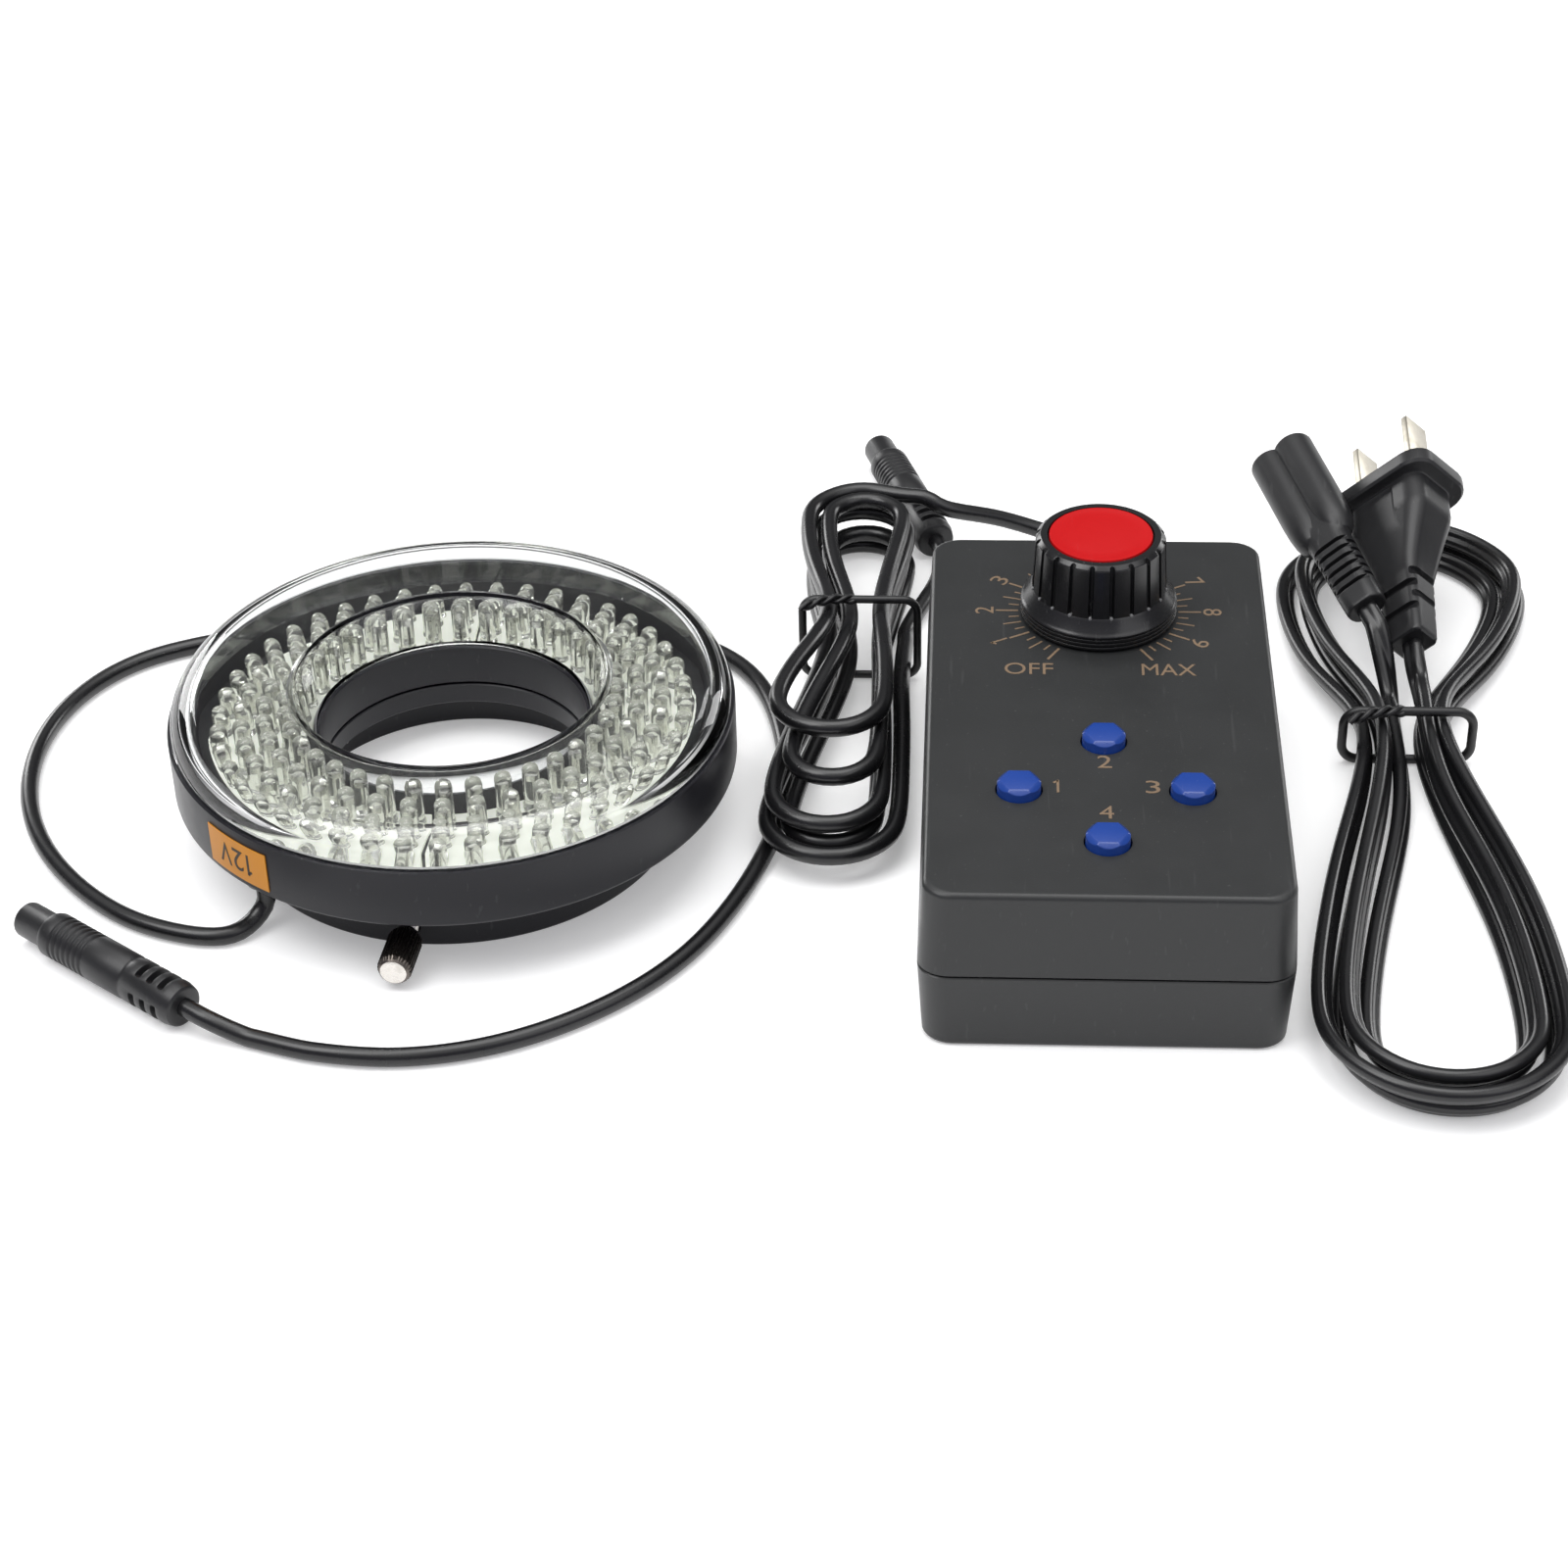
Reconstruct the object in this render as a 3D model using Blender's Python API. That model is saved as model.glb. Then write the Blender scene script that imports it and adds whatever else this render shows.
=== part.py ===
"""Microscope ring light with its control box and mains lead, as separate named pieces.

Metres, +Z up. The ring head and the box stand on the plane z = 0. The origin is below the
middle of the ring and the box together. Cords and what hangs on them lie round the two.
"""

import math

import bmesh
import bpy
import numpy as np
from mathutils import Matrix, Vector

# Gaps and overruns that all pieces share
SEAT_GAP = 0.0003
CUT_OVERRUN = 0.001
LABEL_GAP = 0.0001
FLOOR_GAP = 0.00004
WELD_DISTANCE = 0.000002

# Ring head: housing
RING_RADIUS = 0.052
HOUSING_HEIGHT = 0.0117
HOUSING_WALL = 0.0018
HOUSING_FLOOR = 0.0022
HOUSING_EDGE = 0.0008
BORE_RADIUS = 0.0246
BORE_TUBE_WALL = 0.0016
BORE_TUBE_RISE = 0.0082
RING_SIDES = 40

# Ring head: collar and its screws
COLLAR_RADIUS = 0.041
COLLAR_HEIGHT = 0.0123
RECESS_RADIUS = 0.0305
RECESS_DEPTH = 0.0081
COLLAR_SCREW_SHANK = 0.00125
COLLAR_SCREW_HEAD = 0.0023
COLLAR_SCREW_HEAD_HEIGHT = 0.0016
COLLAR_SCREW_GRIP = 0.0034
COLLAR_SCREW_BITE = 0.0014
COLLAR_SCREW_PLACE_SHARE = 0.45
SCREW_SIDES = 8

# Ring head: thumbscrews
THUMBSCREW_FIRST_ANGLE = math.radians(-95)
THUMBSCREW_COUNT = 3
THUMBSCREW_HEIGHT = 0.0043
THUMBSCREW_STEM_RADIUS = 0.0015
THUMBSCREW_TIP_REACH = 0.001
THUMBSCREW_TIP_SHARE = 0.6
THUMBSCREW_HEAD_RADIUS = 0.0031
THUMBSCREW_HEAD_LENGTH = 0.0107
THUMBSCREW_HEAD_GAP = 0.0026
THUMBSCREW_CHAMFER = 0.0006
THUMBSCREW_SOCKET_DEPTH = 0.004
THUMBSCREW_KNURL_DEPTH = 0.0002
THUMBSCREW_KNURLS = 10

# Ring head: clear cover
COVER_OVERHANG = 0.00065
COVER_HEIGHT = 0.0061
COVER_ROUND = 0.0057
COVER_ROUND_STEPS = 3
COVER_WALL = 0.0014
COVER_TOP_WALL = 0.0016
COVER_SPIGOT_DEPTH = 0.0026
COVER_INNER_ROUND = 0.003
COVER_INNER_STEPS = 2
COVER_HOLE_MARGIN = 0.0039
COVER_FOOT_MARGIN = 0.0005
COVER_HOLE_EDGE = 0.0005

# Ring head: board and lamps
LAMP_BOARD_WALL = 0.0016
LAMP_BOARD_MARGIN = 0.0008
HOLDER_WALL = 0.0012
HOLDER_MARGIN = 0.0024
LAMP_RADIUS_SHARE = 0.3871
LAMP_INNER_ROW_MARGIN = 0.006
LAMP_OUTER_ROW_SHARE = 0.6327
LAMP_INNER_TIP = 0.0033
LAMP_OUTER_TIP = 0.0001
LAMP_COUNTS = (36, 36, 40, 44)
LAMP_SIDES = 6
LAMP_DOME_SHARE = 0.85
LAMP_ROOT_SHARE = 0.5
ZONES = 4
ZONE_SPLIT = 0.0004

# Ring head: label
LABEL_FROM_ANGLE = math.radians(-138.3)
LABEL_TO_ANGLE = math.radians(-121.3)
LABEL_RISE = 0.0016
LABEL_HEIGHT = 0.0079
LABEL_WALL = 0.0002
LABEL_STEPS = 6

# Ring head: cord outlet
RING_OUTLET_ANGLE = math.radians(-131)
RING_OUTLET_MARGIN = 0.0018
RING_OUTLET_RADIUS = 0.0034
RING_OUTLET_HEIGHT = 0.003

# Control box: shells
CASE_LENGTH = 0.1154
CASE_WIDTH = 0.0637
CASE_HEIGHT = 0.0321
CASE_SEAM = 0.0154
CASE_DRAFT = 0.00078
CASE_WALL = 0.0022
CASE_CORNER = 0.0045
CASE_CORNER_STEPS = 4
CASE_EDGE = 0.0012
CASE_EDGE_SHARE = 0.3
POST_RADIUS = 0.0034
POST_INSET = 0.0051
CASE_SCREW_SHANK = 0.0013
CASE_SCREW_HEAD = 0.0025
CASE_SCREW_HEAD_HEIGHT = 0.0018
CASE_SCREW_SINK = 0.006
CASE_SCREW_BITE = 0.0065
RING_TO_CASE_GAP = 0.0346
RING_TO_CASE_Y = 0.0093

# Control box: board and its posts
MAIN_BOARD_MARGIN_X = 0.0036
MAIN_BOARD_MARGIN_Y = 0.0085
MAIN_BOARD_WALL = 0.0016
MAIN_BOARD_DROP = 0.0083
BOARD_POST_RADIUS = 0.0025
BOARD_POST_INSET = 0.0032
BOARD_POST_SIDES = 8

# Control box: dimmer and knob
KNOB_END_MARGIN = 0.0267
KNOB_RADIUS = 0.0119
KNOB_FOOT_RADIUS = 0.0124
KNOB_SKIRT_RADIUS = 0.0144
KNOB_SKIRT_HEIGHT = 0.0032
KNOB_SKIRT_SLOPE = 0.0023
KNOB_HEIGHT = 0.0162
KNOB_LIFT = 0.0004
KNOB_EDGE = 0.0007
KNOB_GROOVES = 20
KNOB_GROOVE_SHARE = 0.24
KNOB_GROOVE_DEPTH = 0.0006
KNOB_HOLLOW_RADIUS = 0.0085
KNOB_HOLLOW_DEPTH = 0.0048
CAP_RADIUS = 0.0095
CAP_THICKNESS = 0.0012
CAP_CROWN = 0.0004
CAP_CROWN_SHARES = (0.6, 0.7)
CAP_SIDES = 24
POT_RADIUS = 0.0083
POT_BUSHING_RADIUS = 0.0034
POT_BUSHING_RISE = 0.0046
POT_SHAFT_RADIUS = 0.0028
POT_SHAFT_RISE = 0.0132
POT_BASE_WALL = 0.0012
NUT_CORNER_RADIUS = 0.0056
NUT_HEIGHT = 0.002
DIMMER_SIDES = 18

# Control box: zone buttons and switches
BUTTON_END_MARGIN = 0.0313
BUTTON_PITCH = 0.0149
BUTTON_RADIUS = 0.0038
BUTTON_RISE = 0.0013
BUTTON_TOP_RISE = 0.0007
BUTTON_TOP_RADIUS = 0.0033
BUTTON_FLANGE = 0.0048
BUTTON_FLANGE_HEIGHT = 0.0014
BUTTON_STEM_RADIUS = 0.0017
BUTTON_TRAVEL = 0.0012
BUTTON_STOP_GAP = 0.0001
BUTTON_SIDES = 12
SWITCH_SIDE = 0.006
SWITCH_BODY = 0.0034
SWITCH_PLUNGER_RADIUS = 0.0017
SWITCH_PLUNGER_RISE = 0.0007
SWITCH_PLUNGER_SIDES = 10

# Control box: power parts
TRANSFORMER_SIZE_X = 0.03
TRANSFORMER_SIZE_Y = 0.034
TRANSFORMER_SIZE_Z = 0.0136
TRANSFORMER_CORE_SHARE = 0.5
TRANSFORMER_CORE_STEP = 0.003
TRANSFORMER_Y = 0.006
CAPACITOR_RADIUS = 0.005
CAPACITOR_LENGTH = 0.02
CAPACITOR_Y = -0.026
CAPACITOR_SIDES = 16

# Control box: mains inlet
INLET_POST_MARGIN = 0.00045
INLET_Z = 0.0083
INLET_WIDTH = 0.0178
INLET_TALL = 0.0114
INLET_FLANGE = 0.0012
INLET_FLANGE_WALL = 0.0014
INLET_BACK_WALL = 0.0036
INLET_SOCKET_WIDTH = 0.0147
INLET_SOCKET_TALL = 0.0089
INLET_SOCKET_DEPTH = 0.0125
INLET_PIN_RADIUS = 0.0012
INLET_PIN_PITCH = 0.0086
INLET_PIN_LENGTH = 0.009
INLET_PIN_SIDES = 10
INLET_LOBE_SIDES = 16

# Control box: outlet gland
GLAND_PLACE_SHARE = 0.3768
GLAND_Z = 0.0083
GLAND_NECK_RADIUS = 0.0037
GLAND_FLANGE_RADIUS = 0.0048
GLAND_FLANGE_WALL = 0.0016
GLAND_TAIL_RADIUS = 0.0026
GLAND_TAIL_ROOT_RADIUS = 0.0032
GLAND_TAIL_LENGTH = 0.007
GLAND_SIDES = 16

# Round low-voltage cords
CORD_RADIUS = 0.0017
CORD_STEP_SHARE = 5.4

# Round plugs on the low-voltage cords
ROUND_PLUG_RADIUS = 0.00415
ROUND_PLUG_LENGTH = 0.0345
ROUND_PLUG_TAIL_SHARES = (0.86, 0.14)
ROUND_PLUG_TIP_RADIUS = 0.0033
ROUND_PLUG_TIP_LENGTH = 0.0065
ROUND_PLUG_TIP_BORE = 0.0025
ROUND_PLUG_TIP_DEPTH = 0.007
ROUND_PLUG_SHOULDER = 0.0011
ROUND_PLUG_RIDGES = 4
ROUND_PLUG_RIDGE_PITCH = 0.0021
ROUND_PLUG_RIDGE_DEPTH = 0.0003
ROUND_PLUG_RIDGE_SHARE = 0.7
ROUND_PLUG_RIDGE_MARGIN = 0.0025
ROUND_PLUG_SLOTS = 3
ROUND_PLUG_SLOT_PITCH = 0.0028
ROUND_PLUG_SLOT_WIDTH = 0.0012
ROUND_PLUG_SLOT_MARGIN = 0.0038
ROUND_PLUG_SLOT_DEPTH = 0.0014
ROUND_PLUG_SIDES = 14
ROUND_INSERT_LENGTH = 0.0062
ROUND_INSERT_STEP = 0.0012
ROUND_PINS = 4
ROUND_PIN_RADIUS = 0.0004
ROUND_PIN_CIRCLE = 0.0012
ROUND_PIN_SIDES = 6

# Ring cord in the ring's own frame: first away from the outlet and off the floor, then x and y
RING_CORD_DROP_POINTS = ((0.0014, 0.0018), (0.0046, 0.0003))
RING_CORD_POINTS = (
    (-0.0372, -0.0412),
    (-0.0480, -0.0398),
    (-0.0600, -0.0333),
    (-0.0745, -0.0173),
    (-0.0832, 0.0044),
    (-0.0828, 0.0277),
    (-0.0732, 0.0453),
    (-0.0578, 0.0545),
    (-0.0300, 0.0630),
    (0.0000, 0.0665),
    (0.0270, 0.0620),
    (0.0473, 0.0505),
    (0.0565, 0.0340),
    (0.0605, 0.0077),
    (0.0570, -0.0171),
    (0.0459, -0.0440),
    (0.0303, -0.0610),
    (0.0143, -0.0702),
    (-0.0021, -0.0738),
    (-0.0170, -0.0725),
    (-0.0275, -0.0693),
)
RING_PLUG_TAIL = (-0.0395, -0.0643)
RING_PLUG_TIP = (-0.0744, -0.0389)

# Output cord from the gland to its hank: x and y from the gland's end, z from the floor
OUTPUT_LEAD_POINTS = (
    (0.0008, 0.0090, 0.0058),
    (0.0000, 0.0195, 0.0028),
    (-0.0040, 0.0300, 0.0018),
    (-0.0120, 0.0380, 0.0018),
    (-0.0220, 0.0405, 0.0040),
    (-0.0320, 0.0385, 0.0082),
    (-0.0420, 0.0355, 0.0122),
)

# Output hank in a frame beside the box
OUTPUT_HANK_SIDE_GAP = 0.0134
OUTPUT_HANK_TOP = 0.101
OUTPUT_HANK_BOTTOM = -0.006
OUTPUT_HANK_LEAN_TOP = -0.0006
OUTPUT_HANK_LEAN_BOTTOM = -0.0038
OUTPUT_HANK_LAYER_REACH = 0.0024
OUTPUT_HANK_TOP_LOBE = 0.0064
OUTPUT_HANK_BOTTOM_LOBE = 0.0068
OUTPUT_HANK_WAIST = 0.002
OUTPUT_HANK_STEP = 0.0041
OUTPUT_HANK_LAYER_RISE = 0.00395
OUTPUT_HANK_FIRST_POINT = -1
OUTPUT_HANK_LAST_POINT = 115
OUTPUT_HANK_CLIMBS = (30, 54, 78)
OUTPUT_TIE_Y = 0.056
OUTPUT_TIE_RADIUS = 0.0008
OUTPUT_HANK_LIFT = 0.0041
OUTPUT_HANK_LIFT_REACH = 0.014

# Output socket and the cord to it, in the same frame
OUTPUT_END_POINTS = ((0.0124, 0.0815), (0.0150, 0.0910))
OUTPUT_SOCKET_TAIL = (0.0142, 0.1015)
OUTPUT_SOCKET_TIP = (0.0007, 0.1416)

# Mains cord: a flat twin cord, drawn as a round one
MAINS_CORD_RADIUS = 0.002
MAINS_HANK_SIDE_GAP = 0.027
MAINS_HANK_TOP = 0.098
MAINS_HANK_BOTTOM = -0.067
MAINS_HANK_LEAN_TOP = 0.0047
MAINS_HANK_LEAN_BOTTOM = -0.0013
MAINS_HANK_TOP_LOBE = 0.0146
MAINS_HANK_BOTTOM_LOBE = 0.0118
MAINS_HANK_WAIST = 0.0024
MAINS_HANK_STEP = 0.0047
MAINS_HANK_LAYER_RISE = 0.0045
MAINS_HANK_FIRST_POINT = 5
MAINS_HANK_LAST_POINT = 91
MAINS_HANK_CLIMBS = (54,)
MAINS_TIE_Y = 0.029
MAINS_TIE_RADIUS = 0.0009
MAINS_HANK_LIFT_REACH = 0.02
HANK_POINTS_PER_TURN = 24
HANK_CLIMB_POINTS = 7
TIE_CORNER_STEPS = 3

# Appliance plug in the mains lead's frame beside the box
APPLIANCE_TAIL = (-0.0055, 0.0592, 0.0154)
APPLIANCE_TIP = (-0.0199, 0.1026, 0.0246)
APPLIANCE_LENGTH = 0.0272
APPLIANCE_ROLL = math.radians(-39)
APPLIANCE_WIDTH = 0.0138
APPLIANCE_TALL = 0.0082
APPLIANCE_ROUND_SHARE = 0.97
APPLIANCE_RELIEF_LENGTH = 0.0195
APPLIANCE_RELIEF_WIDTH = 0.0088
APPLIANCE_RELIEF_TALL = 0.0062
APPLIANCE_NECK_SHARES = (0.95, 0.16)
APPLIANCE_HOLE_RADIUS = 0.0013
APPLIANCE_HOLE_PITCH = 0.0086
APPLIANCE_HOLE_DEPTH = 0.011
APPLIANCE_ROUND_STEPS = 4
RELIEF_TAIL_SHARE = 0.8
RELIEF_SLOTS = 4
RELIEF_SLOT_PITCH_SHARE = 0.19
RELIEF_SLOT_WIDTH_SHARE = 0.075
RELIEF_FIRST_SLOT_SHARE = 0.2
RELIEF_SLOT_DEPTH = 0.0012

# Wall plug in the same frame
WALL_TAIL = (0.0029, 0.0525, 0.0116)
WALL_TIP = (0.0026, 0.0941, 0.0210)
WALL_LENGTH = 0.0265
WALL_WIDTH = 0.0198
WALL_TALL = 0.0125
WALL_ROUND_SHARE = 0.5
WALL_ROUND_STEPS = 3
WALL_NOSE_SHARES = (0.56, 0.8)
WALL_SHOULDER_SHARES = (0.12, 0.55)
WALL_FLANGE_WIDTH = 0.0258
WALL_FLANGE_TALL = 0.0165
WALL_FLANGE_WALL = 0.0042
WALL_FLANGE_EDGE = 0.0012
WALL_RELIEF_LENGTH = 0.0161
WALL_RELIEF_WIDTH = 0.0096
WALL_RELIEF_TALL = 0.0078
WALL_RELIEF_END_SHARE = 0.9
WALL_ROLL = math.radians(-45.5)
BLADE_PITCH = 0.0127
BLADE_LENGTH = 0.0155
BLADE_WIDTH = 0.0062
BLADE_WALL = 0.0015
BLADE_TIP_SHARE = 0.6
BLADE_ROOT = 0.005

# Places worked out from the sizes above
HOUSING_BASE = COLLAR_HEIGHT + SEAT_GAP
HOUSING_TOP = HOUSING_BASE + HOUSING_HEIGHT
HOUSING_INNER = RING_RADIUS - HOUSING_WALL
BORE_TUBE_TOP = HOUSING_BASE + BORE_TUBE_RISE
COVER_BASE = HOUSING_TOP + SEAT_GAP
COVER_TOP = COVER_BASE + COVER_HEIGHT
COVER_FOOT_RADIUS = BORE_RADIUS + COVER_FOOT_MARGIN
COVER_HOLE_RADIUS = BORE_RADIUS + COVER_HOLE_MARGIN
COLLAR_SCREW_CIRCLE = RECESS_RADIUS + (COLLAR_RADIUS - RECESS_RADIUS) * COLLAR_SCREW_PLACE_SHARE
LAMP_INNER_ROW = BORE_RADIUS + LAMP_INNER_ROW_MARGIN
LAMP_OUTER_ROW = LAMP_INNER_ROW + (HOUSING_INNER - LAMP_INNER_ROW) * LAMP_OUTER_ROW_SHARE
LAMP_ROW_STEP = (LAMP_OUTER_ROW - LAMP_INNER_ROW) / (len(LAMP_COUNTS) - 1)
LAMP_RADIUS = LAMP_ROW_STEP * LAMP_RADIUS_SHARE
RING_OUTLET_CIRCLE = COLLAR_RADIUS + RING_OUTLET_MARGIN + RING_OUTLET_RADIUS
CASE_CEILING = CASE_HEIGHT - CASE_WALL
MAIN_BOARD_TOP = CASE_CEILING - MAIN_BOARD_DROP
MAIN_BOARD_WIDTH = CASE_WIDTH - 2 * (CASE_WALL + MAIN_BOARD_MARGIN_X)
MAIN_BOARD_LENGTH = CASE_LENGTH - 2 * (CASE_WALL + MAIN_BOARD_MARGIN_Y)
KNOB_Y = CASE_LENGTH / 2 - KNOB_END_MARGIN
BUTTON_CENTRE_Y = BUTTON_END_MARGIN - CASE_LENGTH / 2
POST_X = CASE_WIDTH / 2 - POST_INSET
INLET_X = -(POST_X - POST_RADIUS - INLET_POST_MARGIN - INLET_WIDTH / 2)
GLAND_X = CASE_WIDTH / 2 * GLAND_PLACE_SHARE
GLAND_END = CASE_LENGTH / 2 + SEAT_GAP + GLAND_FLANGE_WALL + GLAND_TAIL_LENGTH
RING_TO_CASE_X = CASE_WIDTH / 2 + RING_TO_CASE_GAP + RING_RADIUS
CASE_X = (RING_TO_CASE_X + RING_RADIUS - CASE_WIDTH / 2) / 2
CASE_Y = (CASE_LENGTH / 2 - GLAND_END) / 2
RING_X = CASE_X - RING_TO_CASE_X
RING_Y = CASE_Y + RING_TO_CASE_Y
OUTPUT_HANK_X = -CASE_WIDTH / 2 - OUTPUT_HANK_SIDE_GAP
MAINS_HANK_X = CASE_WIDTH / 2 + MAINS_HANK_SIDE_GAP
BUTTON_PLACES = (
    (-BUTTON_PITCH, BUTTON_CENTRE_Y),
    (0, BUTTON_CENTRE_Y + BUTTON_PITCH),
    (BUTTON_PITCH, BUTTON_CENTRE_Y),
    (0, BUTTON_CENTRE_Y - BUTTON_PITCH),
)


def material(name, color, roughness, metallic=0.0, alpha=1.0):
    """A Principled material with one plain colour."""
    made = bpy.data.materials.new(name)
    made.use_nodes = True
    shader = made.node_tree.nodes["Principled BSDF"]
    shader.inputs["Base Color"].default_value = (*color, 1.0)
    shader.inputs["Roughness"].default_value = roughness
    shader.inputs["Metallic"].default_value = metallic
    shader.inputs["Alpha"].default_value = alpha
    made.diffuse_color = (*color, alpha)
    return made


def place_object(name, data, made_of, parent=None, at=(0, 0, 0)):
    """One named object in the scene, with its material and its place under a parent."""
    obj = bpy.data.objects.new(name, data)
    bpy.context.scene.collection.objects.link(obj)
    obj.location = at
    obj.parent = parent
    if made_of is not None:
        data.materials.append(made_of)
    return obj


def empty(name, at, parent=None, turn=0.0):
    """A frame that carries a group of pieces."""
    frame = bpy.data.objects.new(name, None)
    bpy.context.scene.collection.objects.link(frame)
    frame.location = at
    frame.rotation_euler = (0, 0, turn)
    frame.parent = parent
    return frame


def finished_mesh(bm, name):
    """Turns a bmesh into a mesh whose faces look outwards."""
    bmesh.ops.recalc_face_normals(bm, faces=bm.faces)
    mesh = bpy.data.meshes.new(name)
    bm.to_mesh(mesh)
    bm.free()
    return mesh


def smoothed(obj, angle=math.radians(40)):
    """Smooth shading with sharp edges past an angle."""
    for face in obj.data.polygons:
        face.use_smooth = True
    obj.data.set_sharp_from_angle(angle=angle)
    return obj


def turned_mesh(name, profile, sides):
    """A profile of (radius, height) points spun round Z. It closes on the axis or on itself."""
    bm = bmesh.new()
    points = [bm.verts.new((radius, 0, height)) for radius, height in profile]
    edges = [bm.edges.new(pair) for pair in zip(points, points[1:])]
    if all(radius > 0 for radius, _ in profile):
        edges.append(bm.edges.new((points[-1], points[0])))
    bmesh.ops.spin(
        bm,
        geom=points + edges,
        cent=(0, 0, 0),
        axis=(0, 0, 1),
        angle=2 * math.pi,
        steps=sides,
        use_merge=True,
    )
    bmesh.ops.remove_doubles(bm, verts=bm.verts, dist=WELD_DISTANCE)
    return finished_mesh(bm, name)


def turned(name, profile, sides, made_of, parent=None, at=(0, 0, 0)):
    """A turned piece standing on its parent's Z axis."""
    return smoothed(place_object(name, turned_mesh(name, profile, sides), made_of, parent, at))


def stacked_mesh(name, rings):
    """A skin through rings of as many points each, capped at both ends."""
    bm = bmesh.new()
    rows = [[bm.verts.new(point) for point in ring] for ring in rings]
    for low, high in zip(rows, rows[1:]):
        for i in range(len(low)):
            j = (i + 1) % len(low)
            bm.faces.new((low[i], low[j], high[j], high[i]))
    bm.faces.new(rows[0])
    bm.faces.new(rows[-1])
    return finished_mesh(bm, name)


def rounded_outline(width, depth, corner, steps):
    """A rectangle about the origin with round corners, as (x, y) points."""
    points = []
    for quarter, (sx, sy) in enumerate(((1, 1), (-1, 1), (-1, -1), (1, -1))):
        for step in range(steps + 1):
            angle = math.pi / 2 * (quarter + step / steps)
            x = sx * (width / 2 - corner) + corner * math.cos(angle)
            y = sy * (depth / 2 - corner) + corner * math.sin(angle)
            points.append((x, y))
    return points


def block_mesh(size, at=(0, 0, 0)):
    """A plain block about a point."""
    bm = bmesh.new()
    bmesh.ops.create_cube(bm, size=1)
    bmesh.ops.scale(bm, vec=Vector(size), verts=bm.verts)
    bmesh.ops.translate(bm, vec=Vector(at), verts=bm.verts)
    return finished_mesh(bm, "block")


def bar_mesh(radius, start, end, sides):
    """A round bar from one point to another."""
    bm = bmesh.new()
    low, high = Vector(start), Vector(end)
    along = high - low
    turn = along.to_track_quat("Z", "Y").to_matrix().to_4x4()
    bmesh.ops.create_cone(
        bm,
        cap_ends=True,
        segments=sides,
        radius1=radius,
        radius2=radius,
        depth=along.length,
        matrix=Matrix.Translation((low + high) / 2) @ turn,
    )
    return finished_mesh(bm, "bar")


def upright_bar(radius, place, low, high, sides):
    """A round bar along Z over a place."""
    return bar_mesh(radius, (*place, low), (*place, high), sides)


def combine(piece, name, meshes, operation):
    """Cuts closed shapes from a piece or fuses them to it. They lie in the piece's own frame."""
    bm = bmesh.new()
    for mesh in meshes:
        bm.from_mesh(mesh)
    joined = bpy.data.meshes.new(name)
    bm.to_mesh(joined)
    bm.free()
    shape = place_object(name, joined, None, piece.parent, piece.location)
    shape.rotation_euler = piece.rotation_euler
    shape.hide_render = True
    shape.display_type = "WIRE"
    modifier = piece.modifiers.new(name, "BOOLEAN")
    modifier.object = shape
    modifier.operation = operation
    modifier.solver = "EXACT"
    return piece


def cut(piece, name, meshes):
    return combine(piece, name, meshes, "DIFFERENCE")


def add(piece, name, meshes):
    return combine(piece, name, meshes, "UNION")


def arc(centre, radius, start, end, steps):
    """Points on an arc of a profile, ends included."""
    points = []
    for step in range(steps + 1):
        angle = start + (end - start) * step / steps
        points.append((centre[0] + radius * math.cos(angle), centre[1] + radius * math.sin(angle)))
    return points


def polar(radius, angle, height=0.0):
    """A point round the Z axis."""
    return (radius * math.cos(angle), radius * math.sin(angle), height)


def spread_angles(first, count):
    """Angles at equal steps round a circle."""
    return [first + 2 * math.pi * i / count for i in range(count)]


def hexagon_share(angle):
    """How far a hexagon reaches at an angle, as a share of its corner radius."""
    off = (angle + math.pi / 6) % (math.pi / 3) - math.pi / 6
    return math.cos(math.pi / 6) / math.cos(off)


def smooth_path(points, step, floor):
    """Even points on a smooth curve through hand-chosen ones. Its two end stretches stay straight."""
    knots = np.array(points, float)
    gaps = np.sqrt(np.linalg.norm(np.diff(knots, axis=0), axis=1))
    count = len(knots)
    system = np.zeros((count, count))
    right = np.zeros((count, 3))
    slopes = np.diff(knots, axis=0) / gaps[:, None]
    system[0, 0] = 1
    system[-1, -1] = 1
    for i in range(1, count - 1):
        system[i, i - 1] = gaps[i - 1]
        system[i, i] = 2 * (gaps[i - 1] + gaps[i])
        system[i, i + 1] = gaps[i]
        right[i] = 6 * (slopes[i] - slopes[i - 1])
    bends = np.linalg.solve(system, right)
    fine = [knots[1]]
    for i in range(1, count - 2):
        h = gaps[i]
        for share in np.linspace(0, 1, 25)[1:]:
            a = (1 - share) * h
            b = share * h
            curved = (bends[i] * a**3 + bends[i + 1] * b**3) / (6 * h)
            first = (knots[i] / h - bends[i] * h / 6) * a
            second = (knots[i + 1] / h - bends[i + 1] * h / 6) * b
            fine.append(curved + first + second)
    fine = np.array(fine)
    fine[:, 2] = np.maximum(fine[:, 2], floor)
    lengths = np.concatenate([[0], np.cumsum(np.linalg.norm(np.diff(fine, axis=0), axis=1))])
    wanted = np.linspace(0, lengths[-1], max(2, round(lengths[-1] / step)) + 1)
    middle = np.stack([np.interp(wanted, lengths, fine[:, axis]) for axis in range(3)], axis=1)
    return np.concatenate([knots[:1], middle, knots[-1:]])


def path_length(points):
    """Length of a run of points."""
    return float(np.linalg.norm(np.diff(np.array(points), axis=0), axis=1).sum())


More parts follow.
